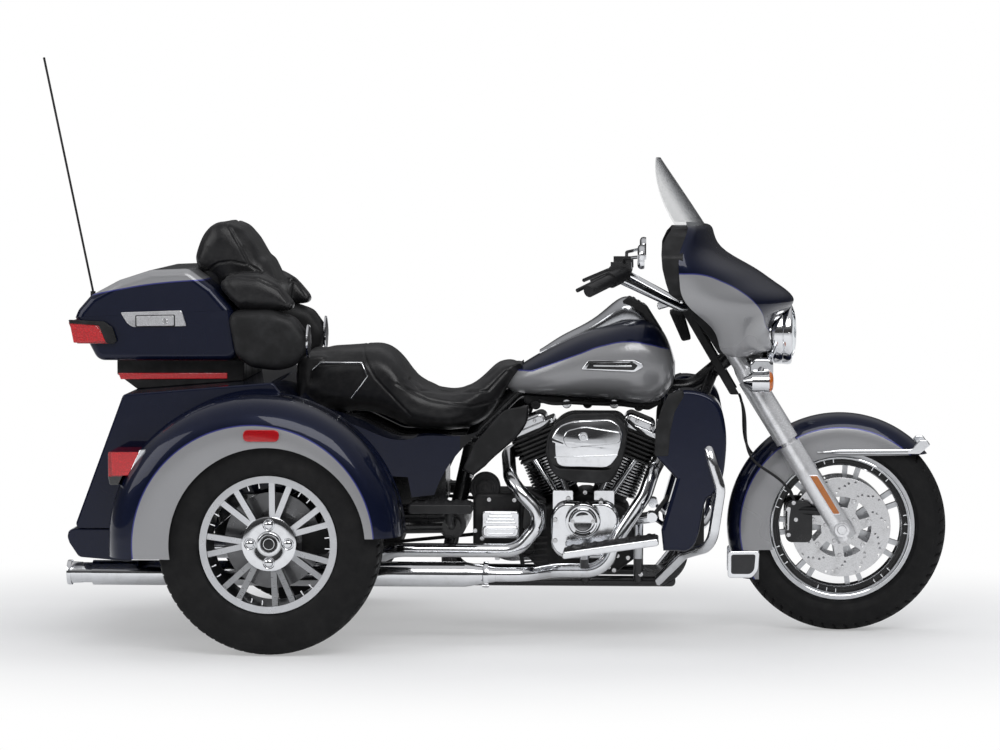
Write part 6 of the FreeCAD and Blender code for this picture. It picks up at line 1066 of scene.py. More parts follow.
def draped(side, node, body, rows):
    """Plates that follow a side of a CAD node: name, finish, thickness, edge, radius, points."""
    for name, mat, thick, edge, radius, points in rows:
        mesh = plate_mesh(name, [soften(points, radius)], thick, edge)
        cut_up(mesh, DRAPE_STEP)
        for vertex in mesh.vertices:
            lift = vertex.co.y * side + (thick / 2 - DRAPE_SINK) / 1000
            start = Vector((vertex.co.x, side * CAST_FROM, vertex.co.z))
            spot = cast(start, Vector((0, -side, 0)), [node])
            if spot is not None:
                vertex.co.y = spot.y + side * lift
        show(name, mesh, mat, body)


def side_plates(name, outlines, y, thick, mat, body, edge=0.6, sides=(-1, 1)):
    """Flat plates whose outer faces lie at y on each side."""
    for side in sides:
        mesh = plate_mesh(name, outlines, thick, edge)
        mesh.transform(Matrix.Translation((0, side * (y - thick / 2) / 1000, 0)))
        show(name + ("_right" if side < 0 else "_left"), mesh, mat, body)


def flats(body, rows, side=0, reshape=None):
    """Plates from rows: name, finish, outer face, thickness, edge, corner radius, points."""
    for name, mat, y, thick, edge, radius, points in rows:
        outline = soften(points, radius) if radius else points
        if side:
            side_plates(name, [outline], y, thick, mat, body, edge, (side,))
        else:
            plate(name, [outline], y, thick, mat, body, edge, reshape)


def rings(body, place, axis, rows, tag=""):
    """Turned forms from rows: name, finish, steps, closed, profile."""
    for name, mat, steps, closed, profile in rows:
        turned(name + tag, place, axis, profile, mat, body, steps, closed)


def notch_lines(centre, offsets, low, high, half):
    """Short radial bars between two radii, in each gap between the spokes."""
    lines = []
    for gap in range(SPOKES):
        for offset in offsets:
            angle = SPOKE_TURN + (gap + 0.5) * 2 * math.pi / SPOKES + offset
            radial = Vector((math.cos(angle), math.sin(angle)))
            across = Vector((-radial.y, radial.x)) * half
            inner, outer = (radial * reach + Vector(centre) for reach in (low, high))
            lines.append([tuple(corner) for corner in (inner - across, outer - across,
                                                       outer + across, inner + across)])
    return lines


def relief(name, origin, along, across, size, thick, height, mat, body, cells):
    """Slab with a height field on top; height(u, v) gives millimetres over the base."""
    along, across = Vector(along).normalized(), Vector(across).normalized()
    up = along.cross(across)
    bm = bmesh.new()
    top = []
    for i in range(cells[0] + 1):
        row = []
        for j in range(cells[1] + 1):
            u, v = i / cells[0], j / cells[1]
            spot = origin + along * u * size[0] / 1000 + across * (v - 0.5) * size[1] / 1000
            row.append(bm.verts.new(spot + up * (thick + height(u, v)) / 1000))
        top.append(row)
    for i in range(cells[0]):
        for j in range(cells[1]):
            bm.faces.new((top[i][j], top[i + 1][j], top[i + 1][j + 1], top[i][j + 1]))
    ring = [row[0] for row in top[:-1]] + top[-1][:-1]
    ring += [row[-1] for row in top[:0:-1]] + top[0][:0:-1]
    low = [bm.verts.new(vert.co - up * (vert.co - origin).dot(up)) for vert in ring]
    for k in range(len(ring)):
        after = (k + 1) % len(ring)
        bm.faces.new((ring[k], ring[after], low[after], low[k]))
    bm.faces.new(low)
    return show(name, from_bmesh(name, bm), mat, body)


def ribs(count, tall, edge=0.04):
    """Height of rounded ribs with a flat border."""
    def height(u, v):
        if u < edge or u > 1 - edge or v < 0.05 or v > 0.95:
            return 0.0
        return tall * max(0.0, math.sin(math.pi * count * (u - edge) / (1 - 2 * edge))) ** 0.6
    return height


# Wheels: hub caps, rim notches, brake discs
def front_hub(y):
    """Point on the line through the front axle."""
    return at(FRONT_CENTRE[0], y, FRONT_CENTRE[1])


def rim_bead(name, place, side, radius, body):
    """Thin bright ring on the side of a rim."""
    turned(name, place, (0, side, 0), [(-1, radius - 2.5), (1.2, radius - 2), (2.0, radius),
                                       (1.2, radius + 2), (-1, radius + 2.5)], CHROMED, body, 128,
           True)


SPOKES = 7
SPOKE_TURN = math.radians(78.5)


def dress_hubs():
    for side, word in SIDES:
        body = "rear_wheel_" + word
        axis = (0, side, 0)
        centre = at(0, side * 628, REAR_CENTRE[1])
        rings(body, centre, axis, [("hub_plate_", CHROMED, 72, True,
                                    [(-3, 60), (-3, 78), (2, 79.5), (5, 78.5), (6, 76), (6, 40),
                                     (5.2, 38), (5.2, 24), (-1, 24), (-1, 60)])], word)
        bm = bmesh.new()
        for spot in around(centre, 4, 55):
            turn(bm, spot, axis, [(5, 13.5), (9, 13.2), (12, 12.0), (14.5, 9.6), (16, 5.5),
                                  (16.4, 0)], 32)
            turn(bm, spot, axis, [(5, 15), (5, 17.5), (6.6, 17.8), (7.6, 16.6), (7.0, 15.0)], 32,
                 True)
        show("hub_nuts_" + word, from_bmesh("hub_nuts_" + word, bm), CHROMED, body)
        rings(body, centre, axis, [
            ("hub_ring_", CHROMED, 64, True,
             [(4, 33), (9, 33), (10, 31), (10, 26), (8.5, 24.5), (4, 24)]),
            ("hub_centre_", GLOSS_BLACK, 48, False,
             [(4, 24.5), (8.0, 24.2), (9.4, 22), (10, 14), (10.2, 0)]),
            ("hub_inner_ring_", CHROMED, 48, True,
             [(9.2, 17), (10.6, 16.5), (10.6, 15), (9.2, 14.5)])], word)
        side_plates("rim_notches", notch_lines(REAR_CENTRE, (-0.093, 0.093), 163, 181, 2.0), 644, 5,
                    CHROMED, body, 0.8, (side,))
        rim_bead("rim_line_" + word, at(0, side * 652, REAR_CENTRE[1]), side, 186, body)


def disc_outlines(centre, outer, inner):
    """Round brake disc: drilled ring on a spider with open windows."""
    lines = [circle(*centre, outer, 128)]
    for k in range(10):
        base = 2 * math.pi * k / 10
        for turn_by, radius in ((0.00, 142), (0.14, 134), (0.22, 125), (0.36, 116), (0.44, 106)):
            lines.append(circle(*arc(centre, radius, base + turn_by, 0, 1)[0], 3.4, 14))
    for k in range(7):
        middle = 2 * math.pi * (k + 0.5) / 7 + 0.2
        window = arc(centre, 92, middle - 0.3, middle + 0.3)
        window += arc(centre, 60, middle + 0.1, middle - 0.3)
        lines.append(soften(window, 5, 3))
    lines.append(circle(*centre, inner, 64))
    return lines


def dress_discs():
    for side, word in SIDES:
        mesh = plate_mesh("front_disc_" + word, disc_outlines(FRONT_CENTRE, 150, 34), 5, 0.6)
        mesh.transform(Matrix.Translation((0, side * 0.0708, 0)))
        piece = show("front_disc_" + word, mesh, DISC_STEEL, "front_wheel")
        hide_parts("front_discs")
        centre = front_hub(side * 73)
        for name, count, reach, start, radius, tall in (("disc_buttons_", 7, 87, 0.2, 7.5, 4),
                                                        ("disc_screws_", 5, 46, 0.5, 6.0, 5)):
            bolts(name + word, around(centre, count, reach, start), (0, side, 0), radius, SCREWS,
                  "front_wheel", tall)
        rim_bead("rim_lip_line_" + word, front_hub(side * 62), side, 210, "front_wheel")


dress_hubs()
dress_discs()


# Lamps
def dress_headlamp():
    low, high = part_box("headlamp")
    centre = (low + high) / 2
    back = Vector((low.x, centre.y, centre.z))
    axis = (1, 0, 0)
    bowl = turned("headlamp_bowl", back, axis,
                  [(0, 0), (0, 52), (3, 60), (14, 78), (30, 90), (48, 95), (66, 96.5), (68, 95.5),
                   (70, 96.5), (84, 97.5), (90, 97.5), (95, 95), (97, 90), (96, 86), (80, 84),
                   (58, 70), (44, 48), (38, 24), (36, 0)], CHROMED, "steering", 96)
    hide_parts("headlamp")
    rings("steering", back, axis, [
        ("headlamp_glass", GLASS, 96, False,
         [(88, 86.5), (92, 86), (99, 80), (106, 62), (110, 38), (112, 0)]),
        ("headlamp_cup", CHROMED, 48, False,
         [(60, 0), (60, 19), (63, 21), (74, 21), (76, 18), (76, 0)])])
    for side, word in SIDES:
        turned("lamp_screw_" + word, back + Vector((0.086, side * 0.0955, 0.0)), (0, side, 0),
               [(0, 4), (2.4, 4), (3, 3), (3, 0)], SCREWS, "steering", 16)
        rings("steering", at(1444, side * 205, 768), axis, [
            ("signal_rim_", CHROMED, 48, True,
             [(-10, 31.5), (0, 33), (3, 33), (5, 31.5), (5, 29), (0, 29)]),
            ("signal_lens_", AMBER_LENS, 48, False,
             [(0, 30), (6, 30.5), (11, 29), (15, 24), (17.4, 13), (18, 0)])], word)


def dress_tail():
    for side, word in SIDES:
        flats("chassis", [
            ("lamp_bezel", CHROMED, 643, 12, 2.0, 0,
             [(-372, 594), (-346, 597), (-394, 520), (-407, 514), (-404, 524)]),
            ("lamp_lens", RED_LENS, 643, 8, 2.0, 4,
             [(-455, 586), (-372, 587), (-405, 520), (-452, 520)]),
            ("box_lamp_bezel", PLASTIC, 318, 14, 2.0, 4,
             [(-632, 953), (-526, 948), (-500, 930), (-487, 890), (-498, 881), (-519, 884),
              (-527, 902), (-540, 936), (-628, 943)]),
            ("box_lamp_lens", RED_LENS, 315, 10, 2.5, 4,
             [(-628, 941), (-548, 937), (-530, 912), (-520, 889), (-617, 884)]),
            ("led_strip", RED_LENS, 236, 8, 2.0, 0,
             [(-497, 790), (-169, 791), (-169, 774), (-489, 771)])], side)
        draped(side, "rear_fenders", "chassis", [
            ("side_reflector_" + word, RED_PRISM, 6, 2.0, 17,
             [(-66, 658), (-66, 624), (38, 624), (38, 658)])])
        turned("body_reflector_" + word, at(-462, side * 447, 399), (0, side, 0),
               [(-8, 15), (2, 15), (4, 13), (5, 0)], RED_PRISM, "chassis", 32)


dress_headlamp()
dress_tail()


# Engine and exhaust
def cleaner_swell(spot):
    """Bulge of the air-cleaner cover, with a crease along its middle."""
    x, _, z = mm(spot)
    across, up = (x - 908) / 132, (z - 588) / 92
    lift = 16 * max(0.0, 1 - across ** 2) * max(0.0, 1 - up ** 2) ** 0.7
    crease = 597 - (x - 800) * 0.12
    lift -= 4 * min(1.0, max(0.0, (crease - z) / 6)) * max(0.0, 1 - up ** 2)
    return Vector((spot.x, spot.y - (lift - 8) / 1000, spot.z))


ENGINE_NODES = ["crankcase", "cylinders", "engine_covers", "air_cleaner", "rocker_covers"]


RIGHT = (0, -1, 0)
ROCKER_SCREWS = [(700, 618), (745, 640), (768, 652), (1030, 650), (1055, 640), (1098, 618)]


def box_line(left, right, low, high, rise=0):
    """Four corners of a bar, its right end higher by rise."""
    return [(left, low), (right, low + rise), (right, high + rise), (left, high)]


def dress_engine():
    flats("chassis", [
        ("cleaner_cover", CHROMED, -292, 14, 5, 22,
         [(795, 561), (803, 609), (824, 641), (866, 657), (983, 663), (1020, 626), (1004, 552),
          (972, 514), (819, 519)]),
        ("cleaner_swage", CHROMED, -294.5, 6, 2.5, 14,
         [(836, 600), (850, 574), (1008, 590), (1012, 622), (900, 640), (846, 626)]),
        # Painted shade: the slot in the cover is a thin gloss black plate standing in for the shade
        # inside it.
        ("cleaner_slot_shade", GLOSS_BLACK, -293.0, 4, 0.5, 2,
         [(800, 606), (838, 590), (838, 586), (800, 598)]),
        ("cleaner_lower_line", CHROMED, -293.2, 4, 0.8, 2, box_line(812, 1000, 545, 549, 7))],
          reshape=cleaner_swell)
    turned("cleaner_boss", at(898, -303, 608), RIGHT,
           [(-1, 15), (1.5, 15), (2.5, 13.5), (1.2, 12), (1.2, 7), (2.4, 6), (2.4, 0)], CHROMED,
           "chassis", 40)
    band = [(785, 552), (791, 611), (817, 649), (865, 675), (987, 679), (1030, 623), (1014, 537),
            (982, 484), (961, 468), (865, 473), (812, 494)]
    inner = [(792, 554), (798, 609), (821, 645), (866, 663), (986, 669), (1023, 625), (1006, 548),
             (975, 508), (817, 513)]
    plate("cleaner_band", [soften(band, 16), soften(inner, 20)], -289, 18, PLASTIC, "chassis", 3)
    centre = (895, 350)
    rings("chassis", at(centre[0], -226, centre[1]), RIGHT, [
        ("cam_ring", CHROMED, 72, True, [(-1, 52), (2.5, 51), (4, 47), (3, 43), (-1, 42)]),
        ("cam_dish", CHROMED, 64, False,
         [(-1, 37), (3.5, 36), (4.5, 33), (4.5, 27), (3.4, 25), (3.4, 0)])])
    # Painted shade: three arc slots in the cam cover are thin gloss black plates standing in for
    # the shade in them.
    arcs = []
    for k in range(3):
        first, last = 2 * math.pi * k / 3 - 0.12, 2 * math.pi * k / 3 + 1.12
        arcs.append(arc(centre, 42, first, last) + arc(centre, 37.5, last, first))
    plate("cam_slot_shades", arcs, -227.5, 3, GLOSS_BLACK, "chassis", 0.4)
    bolts("cam_screws", [at(centre[0] + dx, -230, centre[1]) for dx in (-30, 30)], RIGHT, 5,
          SCREWS, "chassis")
    flats("chassis", [("side_cover_cap", CHROMED, -219, 10, 3, 12, box_line(595, 701, 301, 333))])
    plate("side_cover_line", [soften([(603, 309), (693, 309), (693, 325), (603, 325)], 7),
                              soften([(606, 312), (690, 312), (690, 322), (606, 322)], 5)], -220, 3,
          CHROMED, "chassis", 0.6)
    flats("chassis", [("side_cover_rib_%d" % k, CHROMED, -216 + k, 8, 1.5, 2,
                       box_line(601 + 5 * k, 695 - 5 * k, 341 + 9 * k, 346 + 9 * k))
                      for k in range(4)])
    for name, side, nodes, radius, places in (
            ("case_bolts", -1, ENGINE_NODES + ["frame", "battery_box"], 7.0,
             [(551, 465), (646, 479), (611, 406), (687, 405), (569, 312), (722, 310), (811, 349),
              (811, 286), (849, 410), (899, 425), (948, 401), (518, 177), (733, 350), (700, 288),
              (590, 288), (760, 330)]),
            ("case_bolts_left", 1, ["primary_cover"], 6.5,
             [(600, 200), (700, 190), (850, 190), (960, 215), (985, 300), (940, 380), (800, 385),
              (680, 390), (590, 350), (575, 260)]),
            ("rocker_bolts", -1, ["rocker_covers"], 5.5, ROCKER_SCREWS),
            ("rocker_bolts_left", 1, ["rocker_covers"], 5.5, ROCKER_SCREWS),
            ("board_bolts", -1, ["foot_controls", "frame", "crankcase"], 7.0,
             [(997, 234), (1029, 228), (971, 200), (987, 190), (1073, 235), (1094, 209),
              (1068, 189)])):
        bolt_row(name, side, nodes, radius, places)


def dress_case():
    turned("starter_drum", at(598, -96, 441), RIGHT,
           [(0, 45), (44, 45), (47, 43), (47, 36), (45, 34.5), (45, 27), (47.5, 25.5), (48, 22),
            (46, 20), (46, 9), (49, 8), (49.5, 0)], WRINKLE, "chassis", 64)
    flats("chassis", [("case_rib_%d" % k, WRINKLE, -156, 9, 2, 2,
                       box_line(712, 786, 214 + 18 * k, 219 + 18 * k, 5)) for k in range(5)])
    flats("chassis", [("case_pad", GLOSS_BLACK, -157, 12, 3, 12,
                       [(708, 318), (784, 312), (786, 392), (742, 408), (706, 372)])])
    for name, radius, points in (
            ("oil_line_1", 6.5, [(716, -150, 420), (706, -166, 360), (702, -168, 280),
                                 (712, -150, 210)]),
            ("oil_line_2", 6.0, [(660, -140, 470), (700, -158, 452), (742, -160, 430),
                                 (780, -150, 404)]),
            ("spark_lead_1", 4.0, [(792, -96, 640), (778, -120, 618), (740, -124, 604),
                                   (724, -106, 590)]),
            ("spark_lead_2", 4.0, [(1030, -96, 640), (1048, -120, 620), (1076, -120, 604),
                                   (1084, -106, 590)])):
        hose(name, points, radius, GRIP_RUBBER, "chassis")


def dress_exhaust():
    for side, word in SIDES:
        clamp, tip = (at(x, side * 345, 203) for x in (612, -628))
        turned("muffler_clamp_" + word, clamp, (1, 0, 0),
               [(-7, 36), (-7, 38.2), (-5, 38.8), (5, 38.8), (7, 38.2), (7, 36)], CHROMED,
               "chassis", 64, True)
        turned("clamp_bolt_" + word, clamp + Vector((0, side * 0.030, -0.030)), (1, 0, 0),
               [(-10, 0), (-10, 4.5), (-6, 4.5), (-6, 3), (6, 3), (6, 4.5), (10, 4.5), (10, 0)],
               SCREWS, "chassis", 12)
        turned("muffler_tip_" + word, tip, (-1, 0, 0),
               [(-8, 36.9), (2, 37.2), (4.6, 36), (4.4, 33.5), (0, 32.5), (-40, 31), (-42, 0)],
               CHROMED, "chassis", 64)


dress_engine()
dress_case()
dress_exhaust()


# Trim on the body, tank, box and seat
def dress_trim():
    for side, word in SIDES:
        draped(side, "fuel_tank", "chassis", [
            ("tank_badge_" + word, CHROMED, 5, 1.5, 5,
             [(888, 800), (909, 828), (960, 829), (1046, 831), (1073, 819), (1073, 807),
              (1049, 794)]),
            ("tank_badge_face_" + word, GLOSS_BLACK, 6.2, 0.6, 4,
             [(902, 803), (914, 820), (1044, 823), (1058, 814), (1046, 800)]),
            ("tank_badge_bar_" + word, CHROMED, 7.2, 0.6, 2, box_line(925, 1040, 810, 815))])
        flats("steering", [
            ("fender_rail", CHROMED, 87, 8, 2.5, 5,
             [(1594, 547), (1666, 556), (1881, 558), (1905, 586), (1926, 586), (1937, 571),
              (1905, 543), (1666, 542)]),
            ("fender_rail_line", GLOSS_BLACK, 88, 4, 0.4, 0,
             [(1640, 548), (1870, 551), (1870, 548.5), (1640, 546)]),
            ("fender_skirt", CHROMED, 85.5, 6, 2.0, 10,
             [(1330, 246), (1426, 247), (1421, 187), (1403, 165), (1330, 165)]),
            ("skirt_mesh", GRILLE, 86.6, 4, 0.8, 8,
             [(1340, 236), (1414, 237), (1410, 190), (1398, 177), (1340, 177)]),
            ("fork_reflector", AMBER_PRISM, 156, 8, 1.2, 4,
             [(1573, 482), (1595, 482), (1663, 369), (1644, 368)]),
            ("fork_reflector_rim", FORK_ALLOY, 154.5, 6, 1.5, 4,
             [(1569, 485), (1597, 485), (1667, 366), (1642, 365)])], side)
        turned("axle_boss_" + word, front_hub(side * 140), (0, side, 0),
               [(-6, 24), (11, 24), (13.5, 22), (14, 19), (14, 14), (12, 13), (6, 12.6), (6, 0)],
               FORK_ALLOY, "steering", 48)
        # Painted shade: the axle bore is a shallow gloss black cap standing in for the shade inside
        # the hole.
        turned("axle_bore_shade_" + word, front_hub(side * 146.5), (0, side, 0),
               [(0, 12), (1.5, 11.6), (0.8, 8), (0.8, 0)], GLOSS_BLACK, "steering", 6)
        flats("steering", [("fork_cover_strip", PLASTIC, 150, 10, 3.0, 6,
                            [(1177, 993), (1206, 993), (1362, 725), (1334, 725)])], side)
        bolt_row("caliper_bolts_" + word, side, ["front_calipers"], 7,
                 [(1527, 396), (1534, 345), (1512, 299)], "steering")
        draped(side, "front_calipers", "steering", [
            ("caliper_slot_" + word, DISC_STEEL, 3, 0.8, 5,
             [(1505, 382), (1519, 382), (1514, 350), (1513, 312), (1499, 314), (1500, 350)])])
    handle = soften([(-430, 964), (-318, 966), (-318, 935), (-430, 934)], 5)
    middle = Vector((sum(x for x, z in handle), sum(z for x, z in handle))) / len(handle)
    # Painted shade: the gap around the handle is a gloss black plate standing in for the shade in
    # the gap.
    gap = [(x + math.copysign(3.5, x - middle.x), z + math.copysign(2.5, z - middle.y))
           for x, z in handle]
    flats("chassis", [
        ("latch_plate", SATIN, -304.5, 6, 1.6, 6,
         [(-478, 975), (-295, 981), (-281, 934), (-441, 931), (-458, 942)]),
        ("latch_gap_shade", GLOSS_BLACK, -305.3, 4, 0.4, 0, gap),
        ("latch_handle", SATIN, -307, 5, 1.6, 0, handle)])
    turned("latch_lock", at(-344, -306, 949), RIGHT,
           [(0, 9), (3, 9), (3.6, 8), (2.6, 6.6), (2.6, 0)], SCREWS, "chassis", 32)
    # Painted shade: the key slot is a thin gloss black plate standing in for the shade inside it.
    plate("latch_key_slot_shade", [[(-345, 954), (-343, 954), (-343, 944), (-345, 944)]], -309, 1.4,
          GLOSS_BLACK, "chassis", 0.2)
    side_plates("mid_deflector_skin", [soften([(732, 697), (664, 684), (575, 588), (536, 506),
                                               (566, 490), (664, 575), (726, 643)], 10)], 246, 12,
                PLASTIC, "chassis", 4)
    side_plates("leg_deflector", [soften([(1150, 742), (1190, 757), (1197, 740), (1168, 690),
                                          (1156, 630), (1150, 560), (1108, 560), (1112, 640),
                                          (1128, 700)], 8)], 402, 34, PLASTIC, "chassis", 5)


def dress_feet():
    for side, word in SIDES:
        for name, first, last, y, wide, count, longer in (
                ("rider_rubber_", 850, 1040, 330, 112, 15, 1.38),
                ("passenger_rubber_", 390, 564, 314, 92, 11, 1.0)):
            low, high = (top_spot(x, side * y, "foot_controls") for x in (first, last))
            if low is None or high is None:
                continue
            run = (high - low) * longer
            relief(name + word, low - Vector((0, 0, 0.002)), run, (0, 1, 0),
                   (run.length * 1000, wide), 5, ribs(count, 4.0), GRIP_RUBBER, "chassis",
                   (count * 10, 16))
    flats("chassis", [("pedal_rubber", GRIP_RUBBER, -352, 44, 3, 3,
                       [(1104, 385), (1146, 441), (1154, 434), (1112, 379)])])


dress_trim()
dress_feet()


def along_line(value, line):
    """Value of a broken line of (place, value) pairs."""
    if value <= line[0][0]:
        return line[0][1]
    for (low, first), (high, second) in zip(line, line[1:]):
        if value <= high:
            return first + (second - first) * (value - low) / (high - low)
    return line[-1][1]


def reshaped(name, node, mat, body, move, step, angle=35):
    """Copy of a CAD node, cut fine and moved point by point; it replaces the node."""
    mesh = frame["nodes"][node].data.copy()
    cut_up(mesh, step)
    for vertex in mesh.vertices:
        vertex.co = at(*move(Vector(mm(vertex.co))))
    made = show(name, mesh, mat, body, angle)
    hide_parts(node)
    keep_tree(node, mesh)


def dress_shell():
    rear = [(1010, 1176), (1022, 1172), (1038, 1150), (1070, 1140), (1111, 1130), (1150, 1127),
            (1173, 1128), (1205, 1143), (1226, 1160)]
    front = [(1010, 1206), (1050, 1194), (1100, 1190), (1165, 1190), (1200, 1206), (1226, 1212)]

    def bend(spot):
        share = (spot.x - 1130) / 47
        low, high = along_line(spot.z, rear), along_line(spot.z, front)
        return low + share * (high - low), spot.y, spot.z

    reshaped("inner_fairing_shell", "inner_fairing", PLASTIC, "steering", bend, 9)

    def spread(spot):
        share = min(1.0, max(0.0, (spot.z - 250) / 90))
        share = share * share * (3 - 2 * share)
        side = 1 if spot.y > 0 else -1
        outer = 1.0 if abs(spot.y) > 300 else 0.0
        return spot.x, spot.y + side * outer * 33 * share, spot.z

    reshaped("guard_tube", "engine_guard", CHROMED, "chassis", spread, 12, 60)
    for side, _ in SIDES:
        flats("steering", [("lower_shell", PLASTIC, 152, 10, 3, 8,
                            [(1186, 1005), (1203, 1012), (1245, 980), (1290, 938), (1322, 885),
                             (1345, 846), (1300, 846), (1262, 905), (1236, 938)])], side)
    flats("steering", [("steering_box", PLASTIC, -62, 124, 6, 8,
                        [(1150, 969), (1190, 981), (1218, 885), (1190, 879)])])
    flats("steering", [("steering_box_rib_%d" % k, PLASTIC, -68 if k % 2 else -66, 6, 1.5, 1.5,
                        [(1156 + 7 * k, 964 - 2 * k), (1160 + 7 * k, 965 - 2 * k),
                         (1197 + 4 * k, 889), (1193 + 4 * k, 889)]) for k in range(5)])
    flats("steering", [("key_switch", CHROMED, -40, 80, 4, 5,
                        [(1113, 990), (1145, 1008), (1158, 985), (1118, 973)])])
    flats("chassis", [("tank_bracket", PLASTIC, -58, 116, 6, 8,
                       [(712, 716), (1122, 704), (1128, 690), (1090, 670), (1010, 681), (900, 684),
                        (800, 690), (712, 690)])])
    for k, (x, z) in enumerate(((748, 686), (842, 690), (905, 690), (985, 690), (1060, 682))):
        turned("bracket_boss_%d" % k, at(x, -60, z), RIGHT,
               [(-4, 15), (8, 14), (10, 12), (10, 5), (7, 4.5), (7, 0)],
               CHROMED if k % 2 else PLASTIC, "chassis", 32)
    hose("fuel_line", [(760, -60, 700), (800, -78, 684), (860, -74, 700), (930, -80, 686),
                       (1000, -72, 700), (1070, -76, 682), (1110, -60, 700)], 5.0, GRIP_RUBBER,
         "chassis")
    for side, word in SIDES:
        spot = side_spot(*arc(FRONT_CENTRE, 196, SPOKE_TURN, 0, 1)[0], side, "front_rim")
        level = abs(spot.y) * 1000 - 3 if spot is not None else 30
        rings("front_wheel", front_hub(side * level), (0, side, 0), [
            ("rim_step_", GLOSS_BLACK, 128, True,
             [(0, 186), (1.5, 187.5), (1.5, 191), (0.4, 191.6), (0.4, 193), (1.5, 193.6),
              (1.5, 198), (0.4, 198.6), (0.4, 200), (1.5, 200.6), (1.5, 204.5), (-9, 204.5),
              (-12, 188)]),
            ("rim_step_line_", CHROMED, 128, True,
             [(-3, 183.5), (0.5, 184), (1.2, 185.5), (0.5, 187), (-3, 187.5)])], word)
        side_plates("front_notches", notch_lines(FRONT_CENTRE, (-0.14, 0.0, 0.14), 192, 205, 1.6),
                    level + 4, 4, CHROMED, "front_wheel", 0.7, (side,))


dress_shell()


def dress_dial(tag, spot, radius):
    """Clock with a ring, a face, marks and a needle."""
    rings("steering", spot, (-1, 0, 0), [
        ("dial_ring_", CHROMED, 64, True,
         [(-2, radius), (3, radius), (5, radius - 2), (3, radius - 5), (-2, radius - 5)]),
        ("dial_face_", GLOSS_BLACK, 48, False,
         [(-1, radius - 4), (1.2, radius - 5), (1.2, 4), (3, 4), (3.4, 0)])], tag)
    bm = bmesh.new()
    for k in range(11):
        angle = math.radians(-130 + 26 * k)
        out = Vector((0, math.sin(angle), math.cos(angle)))
        across = Vector((0, out.z, -out.y)) * 0.0007
        inner, outer = (spot + out * (radius - back) / 1000 - Vector((0.0016, 0, 0))
                        for back in (12, 7))
        bm.faces.new([bm.verts.new(p) for p in (inner - across, outer - across, outer + across,
                                                inner + across)])
    tip = (radius - 14) * 0.0007
    bm.faces.new([bm.verts.new(spot + Vector((-0.003, y, z)))
                  for y, z in ((0.0012, -0.006), (-0.0012, -0.006), (-tip, tip))])
    show("dial_marks_" + tag, from_bmesh("dial_marks_" + tag, bm), SCREWS, "steering")


def dress_cockpit():
    flats("chassis", [("console_panel", PLASTIC, -60, 120, 4, 6,
                       [(1008, 1000), (1029, 1014), (1083, 984), (1132, 906), (1116, 902),
                        (1070, 962), (1026, 986)])])
    flats("chassis", [("console_switch_%d" % k, GLOSS_BLACK, -50, 100, 1.2, 2,
                       [(1040 + 15 * k + dx, z - 9 * k)
                        for dx, z in ((0, 1011), (9, 1006), (6, 998), (-3, 1003))])
                      for k in range(3)])
    for side, word in SIDES:
        for y, z, radius in ((72, 1145, 47), (172, 1150, 25)):
            spot = cast(at(600, side * y, z), Vector((1, 0, 0)), ["inner_fairing"])
            if spot is not None:
                dress_dial("%s_%d" % (word, y), spot, radius)
        spot = cast(at(600, side * 300, 1102), Vector((1, 0, 0)), ["inner_fairing"])
        if spot is not None:
            turned("speaker_" + word, spot, (-1, 0, 0),
                   [(-2, 56), (4, 56), (5, 53), (3, 50), (5, 30), (6, 0)], GRILLE, "steering", 64)
        pod = cast(at(500, side * 265, 888), Vector((-1, 0, 0)), ["speaker_pods"])
        if pod is not None:
            rings("chassis", pod - Vector((0.006, 0, 0)), (1, 0, 0), [
                ("pod_grille_", GRILLE, 64, False,
                 [(0, 47), (3, 46), (7, 34), (9.5, 18), (10, 0)]),
                ("pod_ring_", CHROMED, 64, True,
                 [(0, 51), (4, 51), (6, 49), (5, 46), (0, 46)])], word)


def dress_lines():
    for side, word in SIDES:
        hose("brake_line_" + word, [(x, side * y, z) for x, y, z in (
            (1366, 140, 708), (1382, 140, 672), (1376, 140, 600), (1394, 140, 528),
            (1442, 138, 498), (1496, 130, 462), (1516, 112, 430), (1530, 100, 400))], 4.0,
             GRIP_RUBBER, "steering")
    for side, word in SIDES:
        spots = []
        for x, z in ((80, 798), (105, 819), (230, 820), (248, 780), (198, 712)):
            spot = side_spot(x, z, side, "seat")
            spots.append((x, (spot.y * 1000 if spot is not None else side * 200) + side * 1.5, z))
        hose("seat_strip_" + word, spots, 2.6, CHROMED, "chassis", 4, True)
        hose("fairing_seal_" + word, [(x, side * y, z) for x, y, z in (
            (1200, 330, 1013), (1241, 300, 983), (1294, 262, 932), (1318, 230, 880),
            (1342, 205, 845), (1418, 150, 838))], 6.0, PLASTIC, "steering")


dress_cockpit()
dress_lines()

# Camera: fitted to wheel centres, tyre radii and known heights in the photograph
CAMERA_PLACE = Vector((1.1421, -10.5606, 1.4599))
CAMERA_PITCH, CAMERA_TURN = 0.06497, 0.04783
camera_data = bpy.data.cameras.new("photo_camera")
camera_data.sensor_width = 36.0
camera_data.lens = 125.21
camera_data.clip_end = 200.0
camera = link("photo_camera", camera_data)
camera.location = CAMERA_PLACE + Vector((REAR_AXLE_X, 0, 0))
camera.rotation_euler = (math.pi / 2 - CAMERA_PITCH, 0, CAMERA_TURN)
bpy.context.scene.camera = camera

# Floor and soft studio light
FLOOR_SIZE = 60.0
FLOOR_STRETCH = 1.7
FLOOR_FADE = (0.75, 1.9, 0.35, 1.0)  # metres from the middle, and white shares there
FLOOR_MIRRORED = 0.3  # share of its white in reflections


